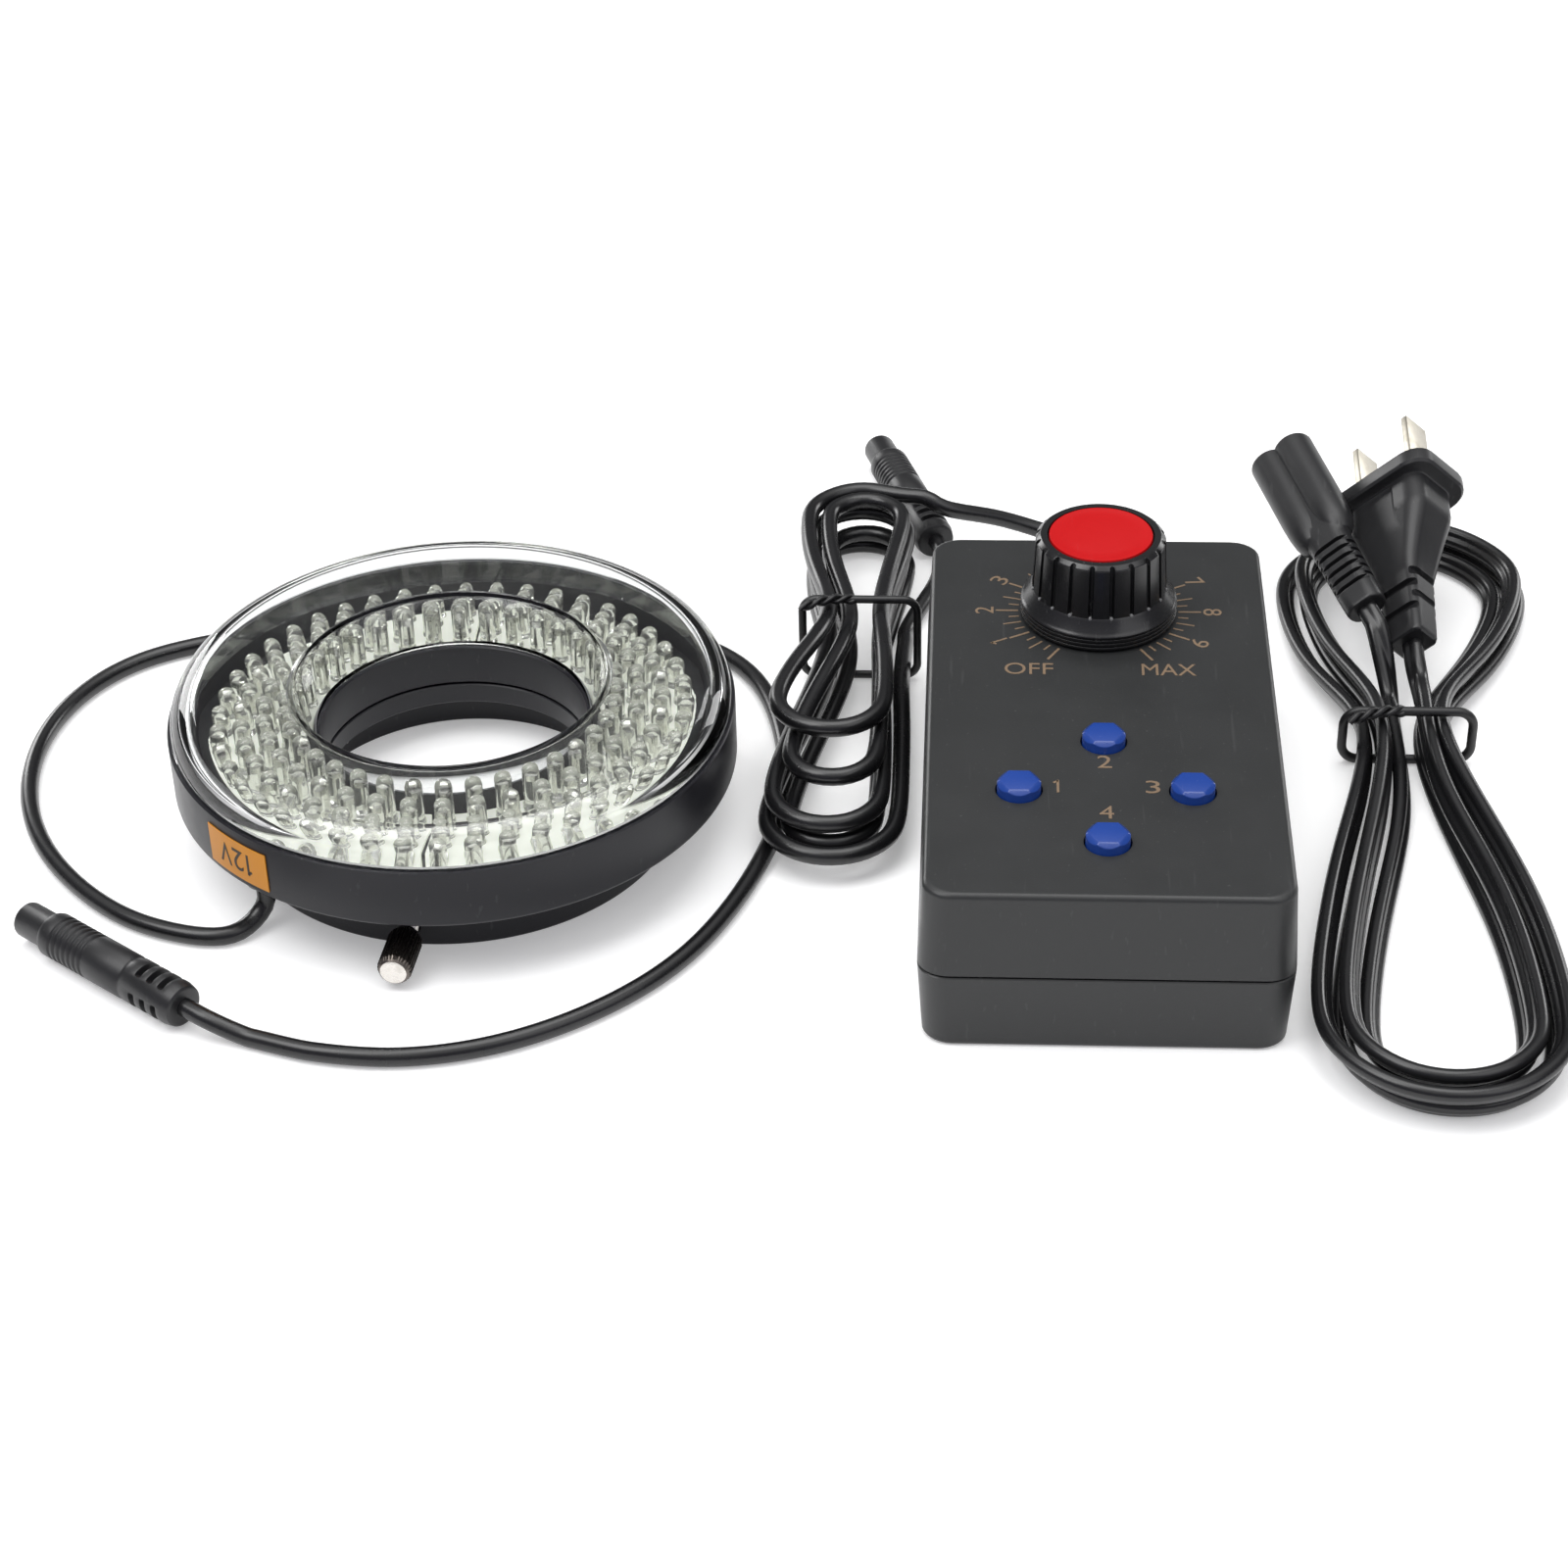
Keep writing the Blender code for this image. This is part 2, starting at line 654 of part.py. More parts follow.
def tube(name, points, radius, made_of, parent, resolution=2, closed=False):
    """A curve object with a round bevel and filled caps."""
    data = bpy.data.curves.new(name, "CURVE")
    data.dimensions = "3D"
    data.bevel_depth = radius
    data.bevel_resolution = resolution
    data.use_fill_caps = True
    spline = data.splines.new("POLY")
    spline.points.add(len(points) - 1)
    for target, point in zip(spline.points, points):
        target.co = (*point, 1)
    spline.use_cyclic_u = closed
    return place_object(name, data, made_of, parent)


def own_gap(points, radius):
    """Least gap between a winding and its other turns, on its points and between them."""
    line = np.array(points)
    shares = (0, 0.25, 0.5, 0.75)
    fine = np.concatenate([line[:-1] + (line[1:] - line[:-1]) * share for share in shares])
    order = np.concatenate([np.arange(len(line) - 1) + share for share in shares])
    best = math.inf
    for i in range(len(fine)):
        far = np.abs(order - order[i]) > HANK_POINTS_PER_TURN / 4
        best = min(best, float(np.linalg.norm(fine[far] - fine[i], axis=1).min()))
    return best - 2 * radius


def eased(share):
    """A share from 0 to 1 that starts and ends gently."""
    share = min(max(share, 0.0), 1.0)
    return share * share * (3 - 2 * share)


def loop_middle(at, loop):
    """A point of a loop of two round ends and two runs drawn in at the waist, from its top."""
    eighth = HANK_POINTS_PER_TURN / 8
    at = (at + eighth) % HANK_POINTS_PER_TURN - eighth
    top_lobe, bottom_lobe = loop["top_lobe"], loop["bottom_lobe"]
    top = np.array([loop["lean_top"], loop["top"] - top_lobe])
    bottom = np.array([loop["lean_bottom"], loop["bottom"] + bottom_lobe])
    if at < eighth:
        angle = math.pi / 2 * at / eighth
        return top + top_lobe * np.array([-math.sin(angle), math.cos(angle)])
    if 3 * eighth < at < 5 * eighth:
        angle = math.pi / 2 * (at / eighth - 4)
        return bottom + bottom_lobe * np.array([math.sin(angle), -math.cos(angle)])
    side = -1 if at < 4 * eighth else 1
    share = (at / eighth - 1) / 2 if side < 0 else (7 - at / eighth) / 2
    middle = top + (bottom - top) * share
    waist = (top[1] - loop["waist_y"]) / (top[1] - bottom[1])
    draw = eased(share / waist if share < waist else (1 - share) / (1 - waist))
    lobe = top_lobe + (bottom_lobe - top_lobe) * share
    reach = lobe + (loop["waist"] - lobe) * draw
    return np.array([middle[0] * (1 - draw) + side * reach, middle[1]])


def loop_point(at, loop, outward):
    """A point of a loop, moved outwards. Points count from the top of the loop."""
    tiny = 1 / HANK_POINTS_PER_TURN
    along = loop_middle(at + tiny, loop) - loop_middle(at - tiny, loop)
    along /= np.linalg.norm(along)
    return loop_middle(at, loop) + np.array([along[1], -along[0]]) * outward


def climbed(point, climbs):
    """How many layers a winding has changed by one of its points, each change over half a turn."""
    return sum(eased((point - climb) / HANK_CLIMB_POINTS + 0.5) for climb in climbs)


def steps_out(point, first, climbs, direction):
    """How many steps out a point lies, on a winding that turns round at every climb."""
    turns = [first] + [climb for climb in climbs if climb < point] + [point]
    out = 0 if direction > 0 else (climbs[0] - first) / HANK_POINTS_PER_TURN
    for low, high in zip(turns, turns[1:]):
        out += direction * (high - low) / HANK_POINTS_PER_TURN
        direction = -direction
    return out


def straight_ends(points, length):
    """Adds a straight run before the first point and after the last."""
    first = (points[0] - points[1]).normalized() * length
    last = (points[-1] - points[-2]).normalized() * length
    return [points[0] + first] + points + [points[-1] + last]


# Ring head


def make_housing(parent, made_of):
    floor = HOUSING_BASE + HOUSING_FLOOR
    tube_outer = BORE_RADIUS + BORE_TUBE_WALL
    profile = [
        (BORE_RADIUS, HOUSING_BASE),
        (RING_RADIUS - HOUSING_EDGE, HOUSING_BASE),
        (RING_RADIUS, HOUSING_BASE + HOUSING_EDGE),
        (RING_RADIUS, HOUSING_TOP),
        (HOUSING_INNER, HOUSING_TOP),
        (HOUSING_INNER, floor),
        (tube_outer, floor),
        (tube_outer, BORE_TUBE_TOP),
        (BORE_RADIUS, BORE_TUBE_TOP),
    ]
    housing = turned("ring_housing", profile, RING_SIDES, made_of, parent)
    low = HOUSING_BASE - CUT_OVERRUN
    high = HOUSING_BASE + COLLAR_SCREW_BITE + SEAT_GAP
    holes = []
    for angle in collar_screw_angles():
        place = polar(COLLAR_SCREW_CIRCLE, angle)[:2]
        holes.append(upright_bar(COLLAR_SCREW_SHANK + SEAT_GAP, place, low, high, SCREW_SIDES))
    cut(housing, "cut_housing", holes)


def collar_screw_angles():
    """The collar's screws stand midway between its thumbscrews."""
    first = THUMBSCREW_FIRST_ANGLE + math.pi / THUMBSCREW_COUNT
    return spread_angles(first, THUMBSCREW_COUNT)


def make_collar(parent, made_of):
    profile = [
        (RECESS_RADIUS, 0),
        (COLLAR_RADIUS - HOUSING_EDGE, 0),
        (COLLAR_RADIUS, HOUSING_EDGE),
        (COLLAR_RADIUS, COLLAR_HEIGHT),
        (BORE_RADIUS, COLLAR_HEIGHT),
        (BORE_RADIUS, RECESS_DEPTH),
        (RECESS_RADIUS, RECESS_DEPTH),
    ]
    collar = turned("mount_collar", profile, RING_SIDES, made_of, parent)
    screw_holes = []
    for angle in spread_angles(THUMBSCREW_FIRST_ANGLE, THUMBSCREW_COUNT):
        inside = polar(RECESS_RADIUS - 2 * CUT_OVERRUN, angle, THUMBSCREW_HEIGHT)
        outside = polar(COLLAR_RADIUS + CUT_OVERRUN, angle, THUMBSCREW_HEIGHT)
        radius = THUMBSCREW_STEM_RADIUS + SEAT_GAP
        screw_holes.append(bar_mesh(radius, inside, outside, SCREW_SIDES))
    sinks = []
    bolts = []
    seat = COLLAR_HEIGHT - COLLAR_SCREW_GRIP
    for angle in collar_screw_angles():
        place = polar(COLLAR_SCREW_CIRCLE, angle)[:2]
        sinks.append(upright_bar(COLLAR_SCREW_HEAD + SEAT_GAP, place, -CUT_OVERRUN, seat, SCREW_SIDES))
        high = COLLAR_HEIGHT + CUT_OVERRUN
        low = seat - CUT_OVERRUN
        bolts.append(upright_bar(COLLAR_SCREW_SHANK + SEAT_GAP, place, low, high, SCREW_SIDES))
    cut(collar, "cut_thumbscrews", screw_holes)
    cut(collar, "cut_sinks", sinks)
    cut(collar, "cut_bolts", bolts)


def screw_profile(head_radius, head_height, shank_radius, shank_length):
    """A screw standing on its head, from z = 0 up."""
    end = head_height + shank_length
    profile = [(0, 0), (head_radius, 0), (head_radius, head_height), (shank_radius, head_height)]
    return profile + [(shank_radius, end), (0, end)]


def make_collar_screws(parent, made_of):
    shank = COLLAR_SCREW_GRIP + 2 * SEAT_GAP + COLLAR_SCREW_BITE
    profile = screw_profile(COLLAR_SCREW_HEAD, COLLAR_SCREW_HEAD_HEIGHT, COLLAR_SCREW_SHANK, shank)
    base = COLLAR_HEIGHT - COLLAR_SCREW_GRIP - SEAT_GAP - COLLAR_SCREW_HEAD_HEIGHT
    for i, angle in enumerate(collar_screw_angles()):
        at = polar(COLLAR_SCREW_CIRCLE, angle, base)
        turned(f"collar_screw_{i + 1}", profile, SCREW_SIDES, made_of, parent, at)


def make_thumbscrews(parent, made_of):
    start = COLLAR_RADIUS + THUMBSCREW_HEAD_GAP
    end = start + THUMBSCREW_HEAD_LENGTH
    tip = RECESS_RADIUS - THUMBSCREW_TIP_REACH
    socket = start + THUMBSCREW_SOCKET_DEPTH
    flat = THUMBSCREW_STEM_RADIUS * THUMBSCREW_TIP_SHARE
    stem = [(0, tip), (flat, tip), (THUMBSCREW_STEM_RADIUS, tip + flat)]
    stem += [(THUMBSCREW_STEM_RADIUS, socket), (0, socket)]
    for i, angle in enumerate(spread_angles(THUMBSCREW_FIRST_ANGLE, THUMBSCREW_COUNT)):
        axis = empty(f"thumbscrew_axis_{i + 1}", (0, 0, THUMBSCREW_HEIGHT), parent, angle)
        piece = turned(f"thumbscrew_stem_{i + 1}", stem, SCREW_SIDES, made_of, axis)
        piece.rotation_euler = (0, math.pi / 2, 0)
        make_thumbscrew_head(f"thumbscrew_head_{i + 1}", axis, start, end, socket, made_of)


def make_thumbscrew_head(name, axis, start, end, socket, made_of):
    """A knurled grip: every second point of its outline lies a little deeper."""

    def ring(radius, height, knurled=False):
        points = []
        for i, angle in enumerate(spread_angles(0, 2 * THUMBSCREW_KNURLS)):
            depth = THUMBSCREW_KNURL_DEPTH if knurled and i % 2 else 0
            points.append(polar(radius - depth, angle, height))
        return points

    outer = THUMBSCREW_HEAD_RADIUS
    bore = THUMBSCREW_STEM_RADIUS + SEAT_GAP
    chamfer = THUMBSCREW_CHAMFER
    rings = [
        ring(outer - chamfer, end),
        ring(outer, end - chamfer, True),
        ring(outer, start + chamfer, True),
        ring(outer - chamfer, start),
        ring(bore, start),
        ring(bore, socket + SEAT_GAP),
    ]
    head = place_object(name, stacked_mesh(name, rings), made_of, axis)
    head.rotation_euler = (0, math.pi / 2, 0)


def make_cover(parent, made_of):
    low = BORE_TUBE_TOP + SEAT_GAP
    under = COVER_TOP - COVER_TOP_WALL
    share = (under - low) / (COVER_TOP - low)
    under_radius = COVER_FOOT_RADIUS + (COVER_HOLE_RADIUS - COVER_FOOT_RADIUS) * share
    outer = RING_RADIUS - COVER_OVERHANG
    spigot_outer = HOUSING_INNER - SEAT_GAP
    spigot_inner = spigot_outer - COVER_WALL
    spigot_low = HOUSING_TOP - COVER_SPIGOT_DEPTH
    centre = (outer - COVER_ROUND, COVER_TOP - COVER_ROUND)
    inside = (spigot_inner - COVER_INNER_ROUND, under - COVER_INNER_ROUND)
    profile = [(COVER_FOOT_RADIUS, low), (COVER_FOOT_RADIUS + COVER_WALL, low)]
    profile += [(under_radius + COVER_WALL, under)]
    profile += arc(inside, COVER_INNER_ROUND, math.pi / 2, 0, COVER_INNER_STEPS)
    profile += [(spigot_inner, spigot_low), (spigot_outer, spigot_low)]
    profile += [(spigot_outer, COVER_BASE), (outer, COVER_BASE)]
    profile += arc(centre, COVER_ROUND, 0, math.pi / 2, COVER_ROUND_STEPS)
    profile += [(COVER_HOLE_RADIUS + COVER_HOLE_EDGE, COVER_TOP)]
    profile += [(COVER_HOLE_RADIUS, COVER_TOP - COVER_HOLE_EDGE)]
    turned("clear_cover", profile, RING_SIDES, made_of, parent)


def make_lamp_board(parent, made_of):
    inner = BORE_RADIUS + BORE_TUBE_WALL + SEAT_GAP
    outer = HOUSING_INNER - LAMP_BOARD_MARGIN
    low = HOUSING_BASE + HOUSING_FLOOR + SEAT_GAP
    high = low + LAMP_BOARD_WALL
    profile = [(inner, low), (outer, low), (outer, high), (inner, high)]
    turned("lamp_board", profile, RING_SIDES, made_of, parent)
    return high


def lamp_mesh(radius, angle, low, tip):
    """A lamp as a closed shape with a pointed dome."""
    centre = Vector(polar(radius, angle))
    shoulder = tip - LAMP_RADIUS * LAMP_DOME_SHARE
    bm = bmesh.new()
    rows = []
    for height in (low, shoulder):
        row = []
        for around in spread_angles(angle, LAMP_SIDES):
            row.append(bm.verts.new(centre + Vector(polar(LAMP_RADIUS, around, height))))
        rows.append(row)
    top = bm.verts.new(centre + Vector((0, 0, tip)))
    for i in range(LAMP_SIDES):
        j = (i + 1) % LAMP_SIDES
        bm.faces.new((rows[0][i], rows[0][j], rows[1][j], rows[1][i]))
        bm.faces.new((rows[1][i], rows[1][j], top))
    bm.faces.new(rows[0])
    return finished_mesh(bm, "lamp")


def make_lamp_zones(parent, board_top, made_of):
    low = board_top + SEAT_GAP
    high = low + HOLDER_WALL
    inner = LAMP_INNER_ROW - HOLDER_MARGIN
    outer = LAMP_OUTER_ROW + HOLDER_MARGIN
    quarter = 2 * math.pi / ZONES
    steps = RING_SIDES // ZONES
    for zone in range(ZONES):
        outline = []
        for radius, order in ((inner, range(steps + 1)), (outer, range(steps, -1, -1))):
            margin = ZONE_SPLIT / radius
            for step in order:
                angle = quarter * zone + margin + (quarter - 2 * margin) * step / steps
                outline.append(polar(radius, angle)[:2])
        rings = [[(x, y, height) for x, y in outline] for height in (low, high)]
        name = f"lamp_zone_{zone + 1}"
        holder = place_object(name, stacked_mesh(name, rings), made_of, parent)
        lamps = []
        for row, count in enumerate(LAMP_COUNTS):
            share = row / (len(LAMP_COUNTS) - 1)
            radius = LAMP_INNER_ROW + (LAMP_OUTER_ROW - LAMP_INNER_ROW) * share
            tip = HOUSING_TOP + LAMP_INNER_TIP * (1 - share) - LAMP_OUTER_TIP * share
            root = high - HOLDER_WALL * LAMP_ROOT_SHARE
            for i in range(count // ZONES):
                angle = quarter * (zone + (i + 0.5) * ZONES / count)
                lamps.append(lamp_mesh(radius, angle, root, tip))
        add(holder, f"lamps_{zone + 1}", lamps)


def make_label(parent, made_of):
    inner = RING_RADIUS + LABEL_GAP
    low = HOUSING_BASE + LABEL_RISE
    outline = []
    for radius, order in (
        (inner, range(LABEL_STEPS + 1)),
        (inner + LABEL_WALL, range(LABEL_STEPS, -1, -1)),
    ):
        for step in order:
            angle = LABEL_FROM_ANGLE + (LABEL_TO_ANGLE - LABEL_FROM_ANGLE) * step / LABEL_STEPS
            outline.append(polar(radius, angle)[:2])
    rings = [[(x, y, height) for x, y in outline] for height in (low, low + LABEL_HEIGHT)]
    place_object("voltage_label", stacked_mesh("voltage_label", rings), made_of, parent)


def make_ring_outlet(parent, made_of):
    at = polar(RING_OUTLET_CIRCLE, RING_OUTLET_ANGLE, HOUSING_BASE - SEAT_GAP)
    profile = [
        (0, -RING_OUTLET_HEIGHT),
        (RING_OUTLET_RADIUS - HOUSING_EDGE, -RING_OUTLET_HEIGHT),
        (RING_OUTLET_RADIUS, -RING_OUTLET_HEIGHT + HOUSING_EDGE),
        (RING_OUTLET_RADIUS, 0),
        (0, 0),
    ]
    turned("ring_cord_outlet", profile, GLAND_SIDES, made_of, parent, at)
    return Vector(at) - Vector((0, 0, RING_OUTLET_HEIGHT + SEAT_GAP))


# Round plugs of the low-voltage cords


def round_plug(prefix, tail, tip, parent, plastic, contact):
    """A round plug on the floor, its cord end at one place and pointing to another."""
    lift = ROUND_PLUG_RADIUS + FLOOR_GAP
    along = Vector((*tip, 0)) - Vector((*tail, 0))
    along.normalize()
    frame = empty(f"{prefix}_frame", (*tail, lift), parent)
    frame.rotation_euler = along.to_track_quat("Z", "Y").to_euler()
    body = ROUND_PLUG_RADIUS
    end = ROUND_PLUG_LENGTH
    tip_end = end + ROUND_PLUG_TIP_LENGTH
    bore_floor = tip_end - ROUND_PLUG_TIP_DEPTH
    narrow, chamfer = ROUND_PLUG_TAIL_SHARES
    profile = [(0, 0), (body * narrow, 0), (body, body * chamfer)]
    first = end - ROUND_PLUG_RIDGE_MARGIN - ROUND_PLUG_RIDGES * ROUND_PLUG_RIDGE_PITCH
    for i in range(ROUND_PLUG_RIDGES):
        low = first + i * ROUND_PLUG_RIDGE_PITCH
        deep = low + ROUND_PLUG_RIDGE_PITCH * ROUND_PLUG_RIDGE_SHARE
        profile += [(body, low), (body - ROUND_PLUG_RIDGE_DEPTH, deep)]
    profile += [(body, end - ROUND_PLUG_SHOULDER)]
    profile += [(ROUND_PLUG_TIP_RADIUS, end), (ROUND_PLUG_TIP_RADIUS, tip_end)]
    profile += [(ROUND_PLUG_TIP_BORE, tip_end), (ROUND_PLUG_TIP_BORE, bore_floor), (0, bore_floor)]
    shell = turned(f"{prefix}_body", profile, ROUND_PLUG_SIDES, plastic, frame)
    slots = []
    for i in range(ROUND_PLUG_SLOTS):
        height = ROUND_PLUG_SLOT_MARGIN + i * ROUND_PLUG_SLOT_PITCH
        for side in (-1, 1):
            size = (3 * body, 2 * ROUND_PLUG_SLOT_DEPTH, ROUND_PLUG_SLOT_WIDTH)
            slots.append(block_mesh(size, (0, side * body, height)))
    cut(shell, f"cut_{prefix}", slots)
    start = bore_floor + SEAT_GAP
    face = start + ROUND_INSERT_LENGTH - ROUND_INSERT_STEP
    insert = ROUND_PLUG_TIP_BORE - SEAT_GAP
    profile = [(0, start), (insert, start), (insert, face), (0, face)]
    core = turned(f"{prefix}_contacts", profile, ROUND_PLUG_SIDES, contact, frame)
    pins = []
    for angle in spread_angles(math.pi / ROUND_PINS, ROUND_PINS):
        place = polar(ROUND_PIN_CIRCLE, angle)[:2]
        low = face - ROUND_INSERT_STEP
        pins.append(upright_bar(ROUND_PIN_RADIUS, place, low, face + ROUND_INSERT_STEP, ROUND_PIN_SIDES))
    add(core, f"pins_{prefix}", pins)
    return Vector((*tail, lift)) - along * SEAT_GAP, along


def make_ring_cord(parent, outlet, rubber, plastic, contact):
    tail, along = round_plug("ring_plug", RING_PLUG_TAIL, RING_PLUG_TIP, parent, plastic, contact)
    floor = CORD_RADIUS + FLOOR_GAP
    outward = Vector(polar(1, RING_OUTLET_ANGLE))
    points = [tuple(outlet), tuple(outlet - Vector((0, 0, 2 * CORD_RADIUS)))]
    for away, height in RING_CORD_DROP_POINTS:
        x, y, _ = outlet + outward * away
        points.append((x, y, floor + height))
    points += [(x, y, floor) for x, y in RING_CORD_POINTS]
    points += [tuple(tail - along * CORD_RADIUS * 2), tuple(tail)]
    path = smooth_path(points, CORD_RADIUS * CORD_STEP_SHARE, floor)
    print(f"ring cord {path_length(path):.3f} m")
    tube("ring_cord", path, CORD_RADIUS, rubber, parent)


# Control box


def shell_rings(seam, outside, inside):
    """Rings of a shell from its closed outer face, round the seam, to its inner face."""
    up = 1 if outside > seam else -1
    levels = [
        (CASE_DRAFT + CASE_EDGE, outside),
        (CASE_DRAFT + CASE_EDGE * CASE_EDGE_SHARE, outside - up * CASE_EDGE * CASE_EDGE_SHARE),
        (CASE_DRAFT, outside - up * CASE_EDGE),
        (0, seam),
        (CASE_WALL, seam),
        (CASE_DRAFT + CASE_WALL, inside),
    ]
    rings = []
    for inset, height in levels:
        width = CASE_WIDTH - 2 * inset
        length = CASE_LENGTH - 2 * inset
        corner = max(CASE_CORNER - inset, CASE_CORNER / 4)
        outline = rounded_outline(width, length, corner, CASE_CORNER_STEPS)
        rings.append([(x, y, height) for x, y in outline])
    return rings


def post_places():
    """Places of the screw posts, in the box's own frame."""
    y = CASE_LENGTH / 2 - POST_INSET
    return [(-POST_X, -y), (POST_X, -y), (POST_X, y), (-POST_X, y)]


def board_post_places():
    """Places of the posts that hold the main board."""
    x = MAIN_BOARD_WIDTH / 2 - BOARD_POST_INSET
    y = MAIN_BOARD_LENGTH / 2 - BOARD_POST_INSET
    return [(-x, -y), (x, -y), (x, y), (-x, y)]


def make_case_top(parent, made_of):
    seam = CASE_SEAM + SEAT_GAP / 2
    mesh = stacked_mesh("case_top", shell_rings(seam, CASE_HEIGHT, CASE_CEILING))
    top = place_object("case_top", mesh, made_of, parent)
    root = CASE_CEILING + CASE_WALL / 2
    posts = [upright_bar(POST_RADIUS, place, seam, root, SCREW_SIDES) for place in post_places()]
    low = MAIN_BOARD_TOP + SEAT_GAP
    for place in board_post_places():
        posts.append(upright_bar(BOARD_POST_RADIUS, place, low, root, BOARD_POST_SIDES))
    add(top, "posts_top", posts)
    holes = []
    low, high = seam - CUT_OVERRUN, seam + CASE_SCREW_BITE + SEAT_GAP
    for place in post_places():
        holes.append(upright_bar(CASE_SCREW_SHANK + SEAT_GAP, place, low, high, SCREW_SIDES))
    low, high = CASE_CEILING - CUT_OVERRUN, CASE_HEIGHT + CUT_OVERRUN
    bushing = POT_BUSHING_RADIUS + SEAT_GAP
    holes.append(upright_bar(bushing, (0, KNOB_Y), low, high, DIMMER_SIDES))
    for place in BUTTON_PLACES:
        holes.append(upright_bar(BUTTON_RADIUS + SEAT_GAP, place, low, high, BUTTON_SIDES))
    cut(top, "cut_top", holes)
    smoothed(top)


def make_case_bottom(parent, made_of):
    seam = CASE_SEAM - SEAT_GAP / 2
    mesh = stacked_mesh("case_bottom", shell_rings(seam, 0, CASE_WALL))
    bottom = place_object("case_bottom", mesh, made_of, parent)
    posts = []
    sinks = []
    bolts = []
    for place in post_places():
        posts.append(upright_bar(POST_RADIUS, place, CASE_WALL / 2, seam, SCREW_SIDES))
        sink = CASE_SCREW_HEAD + SEAT_GAP
        sinks.append(upright_bar(sink, place, -CUT_OVERRUN, CASE_SCREW_SINK, SCREW_SIDES))
        low, high = CASE_SCREW_SINK - CUT_OVERRUN, seam + CUT_OVERRUN
        bolts.append(upright_bar(CASE_SCREW_SHANK + SEAT_GAP, place, low, high, SCREW_SIDES))
    add(bottom, "posts_bottom", posts)
    cut(bottom, "cut_case_sinks", sinks)
    cut(bottom, "cut_case_bolts", bolts)
    back = CASE_LENGTH / 2
    depth = 2 * CASE_WALL
    size = (INLET_WIDTH + 2 * SEAT_GAP, 2 * depth, INLET_TALL + 2 * SEAT_GAP)
    inside, outside = (GLAND_X, back - depth, GLAND_Z), (GLAND_X, back + depth, GLAND_Z)
    openings = [
        block_mesh(size, (INLET_X, back, INLET_Z)),
        bar_mesh(GLAND_NECK_RADIUS + SEAT_GAP, inside, outside, GLAND_SIDES),
    ]
    cut(bottom, "cut_openings", openings)
    smoothed(bottom)


def make_case_screws(parent, made_of):
    shank = CASE_SEAM + SEAT_GAP / 2 - CASE_SCREW_SINK + SEAT_GAP + CASE_SCREW_BITE
    profile = screw_profile(CASE_SCREW_HEAD, CASE_SCREW_HEAD_HEIGHT, CASE_SCREW_SHANK, shank)
    base = CASE_SCREW_SINK - SEAT_GAP - CASE_SCREW_HEAD_HEIGHT
    for i, (x, y) in enumerate(post_places()):
        turned(f"case_screw_{i + 1}", profile, SCREW_SIDES, made_of, parent, (x, y, base))


def make_main_board(parent, made_of):
    size = (MAIN_BOARD_WIDTH, MAIN_BOARD_LENGTH, MAIN_BOARD_WALL)
    mesh = block_mesh(size, (0, 0, MAIN_BOARD_TOP - MAIN_BOARD_WALL / 2))
    place_object("main_board", mesh, made_of, parent)


def make_dimmer(parent, metal, knob_plastic, red):
    at = (0, KNOB_Y, 0)
    low = MAIN_BOARD_TOP + SEAT_GAP
    body_top = CASE_CEILING - SEAT_GAP
    bushing_top = CASE_HEIGHT + POT_BUSHING_RISE
    bore = POT_SHAFT_RADIUS + SEAT_GAP
    floor = low + POT_BASE_WALL
    profile = [
        (0, low),
        (POT_RADIUS, low),
        (POT_RADIUS, body_top),
        (POT_BUSHING_RADIUS, body_top),
        (POT_BUSHING_RADIUS, bushing_top),
        (bore, bushing_top),
        (bore, floor),
        (0, floor),
    ]
    turned("dimmer_body", profile, DIMMER_SIDES, metal, parent, at)
    make_nut(metal, parent, at)
    axis = empty("dimmer_axis", at, parent)
    knob_base = CASE_HEIGHT + KNOB_LIFT
    shaft_low = floor + SEAT_GAP
    shaft_top = CASE_HEIGHT + POT_SHAFT_RISE
    radius = POT_SHAFT_RADIUS
    shaft = [(0, shaft_low), (radius, shaft_low), (radius, shaft_top), (0, shaft_top)]
    turned("dimmer_shaft", shaft, DIMMER_SIDES, metal, axis)
    make_knob(axis, knob_base, shaft_top, knob_plastic)
    top = knob_base + KNOB_HEIGHT
    low = top - CAP_THICKNESS
    radius_share, rise_share = CAP_CROWN_SHARES
    crown = [(CAP_RADIUS * radius_share, top + CAP_CROWN * rise_share), (0, top + CAP_CROWN)]
    turned("knob_cap", [(0, low), (CAP_RADIUS, low), (CAP_RADIUS, top)] + crown, CAP_SIDES, red, axis)


def make_nut(made_of, parent, at):
    """A six-sided nut with a round bore."""
    bore = POT_BUSHING_RADIUS + SEAT_GAP
    low = CASE_HEIGHT + SEAT_GAP
    high = low + NUT_HEIGHT
    bm = bmesh.new()
    rows = []
    for radius, height in ((bore, low), (NUT_CORNER_RADIUS, low), (NUT_CORNER_RADIUS, high), (bore, high)):
        row = []
        for angle in spread_angles(0, DIMMER_SIDES):
            reach = radius if radius == bore else radius * hexagon_share(angle)
            row.append(bm.verts.new(polar(reach, angle, height)))
        rows.append(row)
    for a, b in zip(rows, rows[1:] + rows[:1]):
        for i in range(DIMMER_SIDES):
            j = (i + 1) % DIMMER_SIDES
            bm.faces.new((a[i], a[j], b[j], b[i]))
    place_object("dimmer_nut", finished_mesh(bm, "dimmer_nut"), made_of, parent, at)


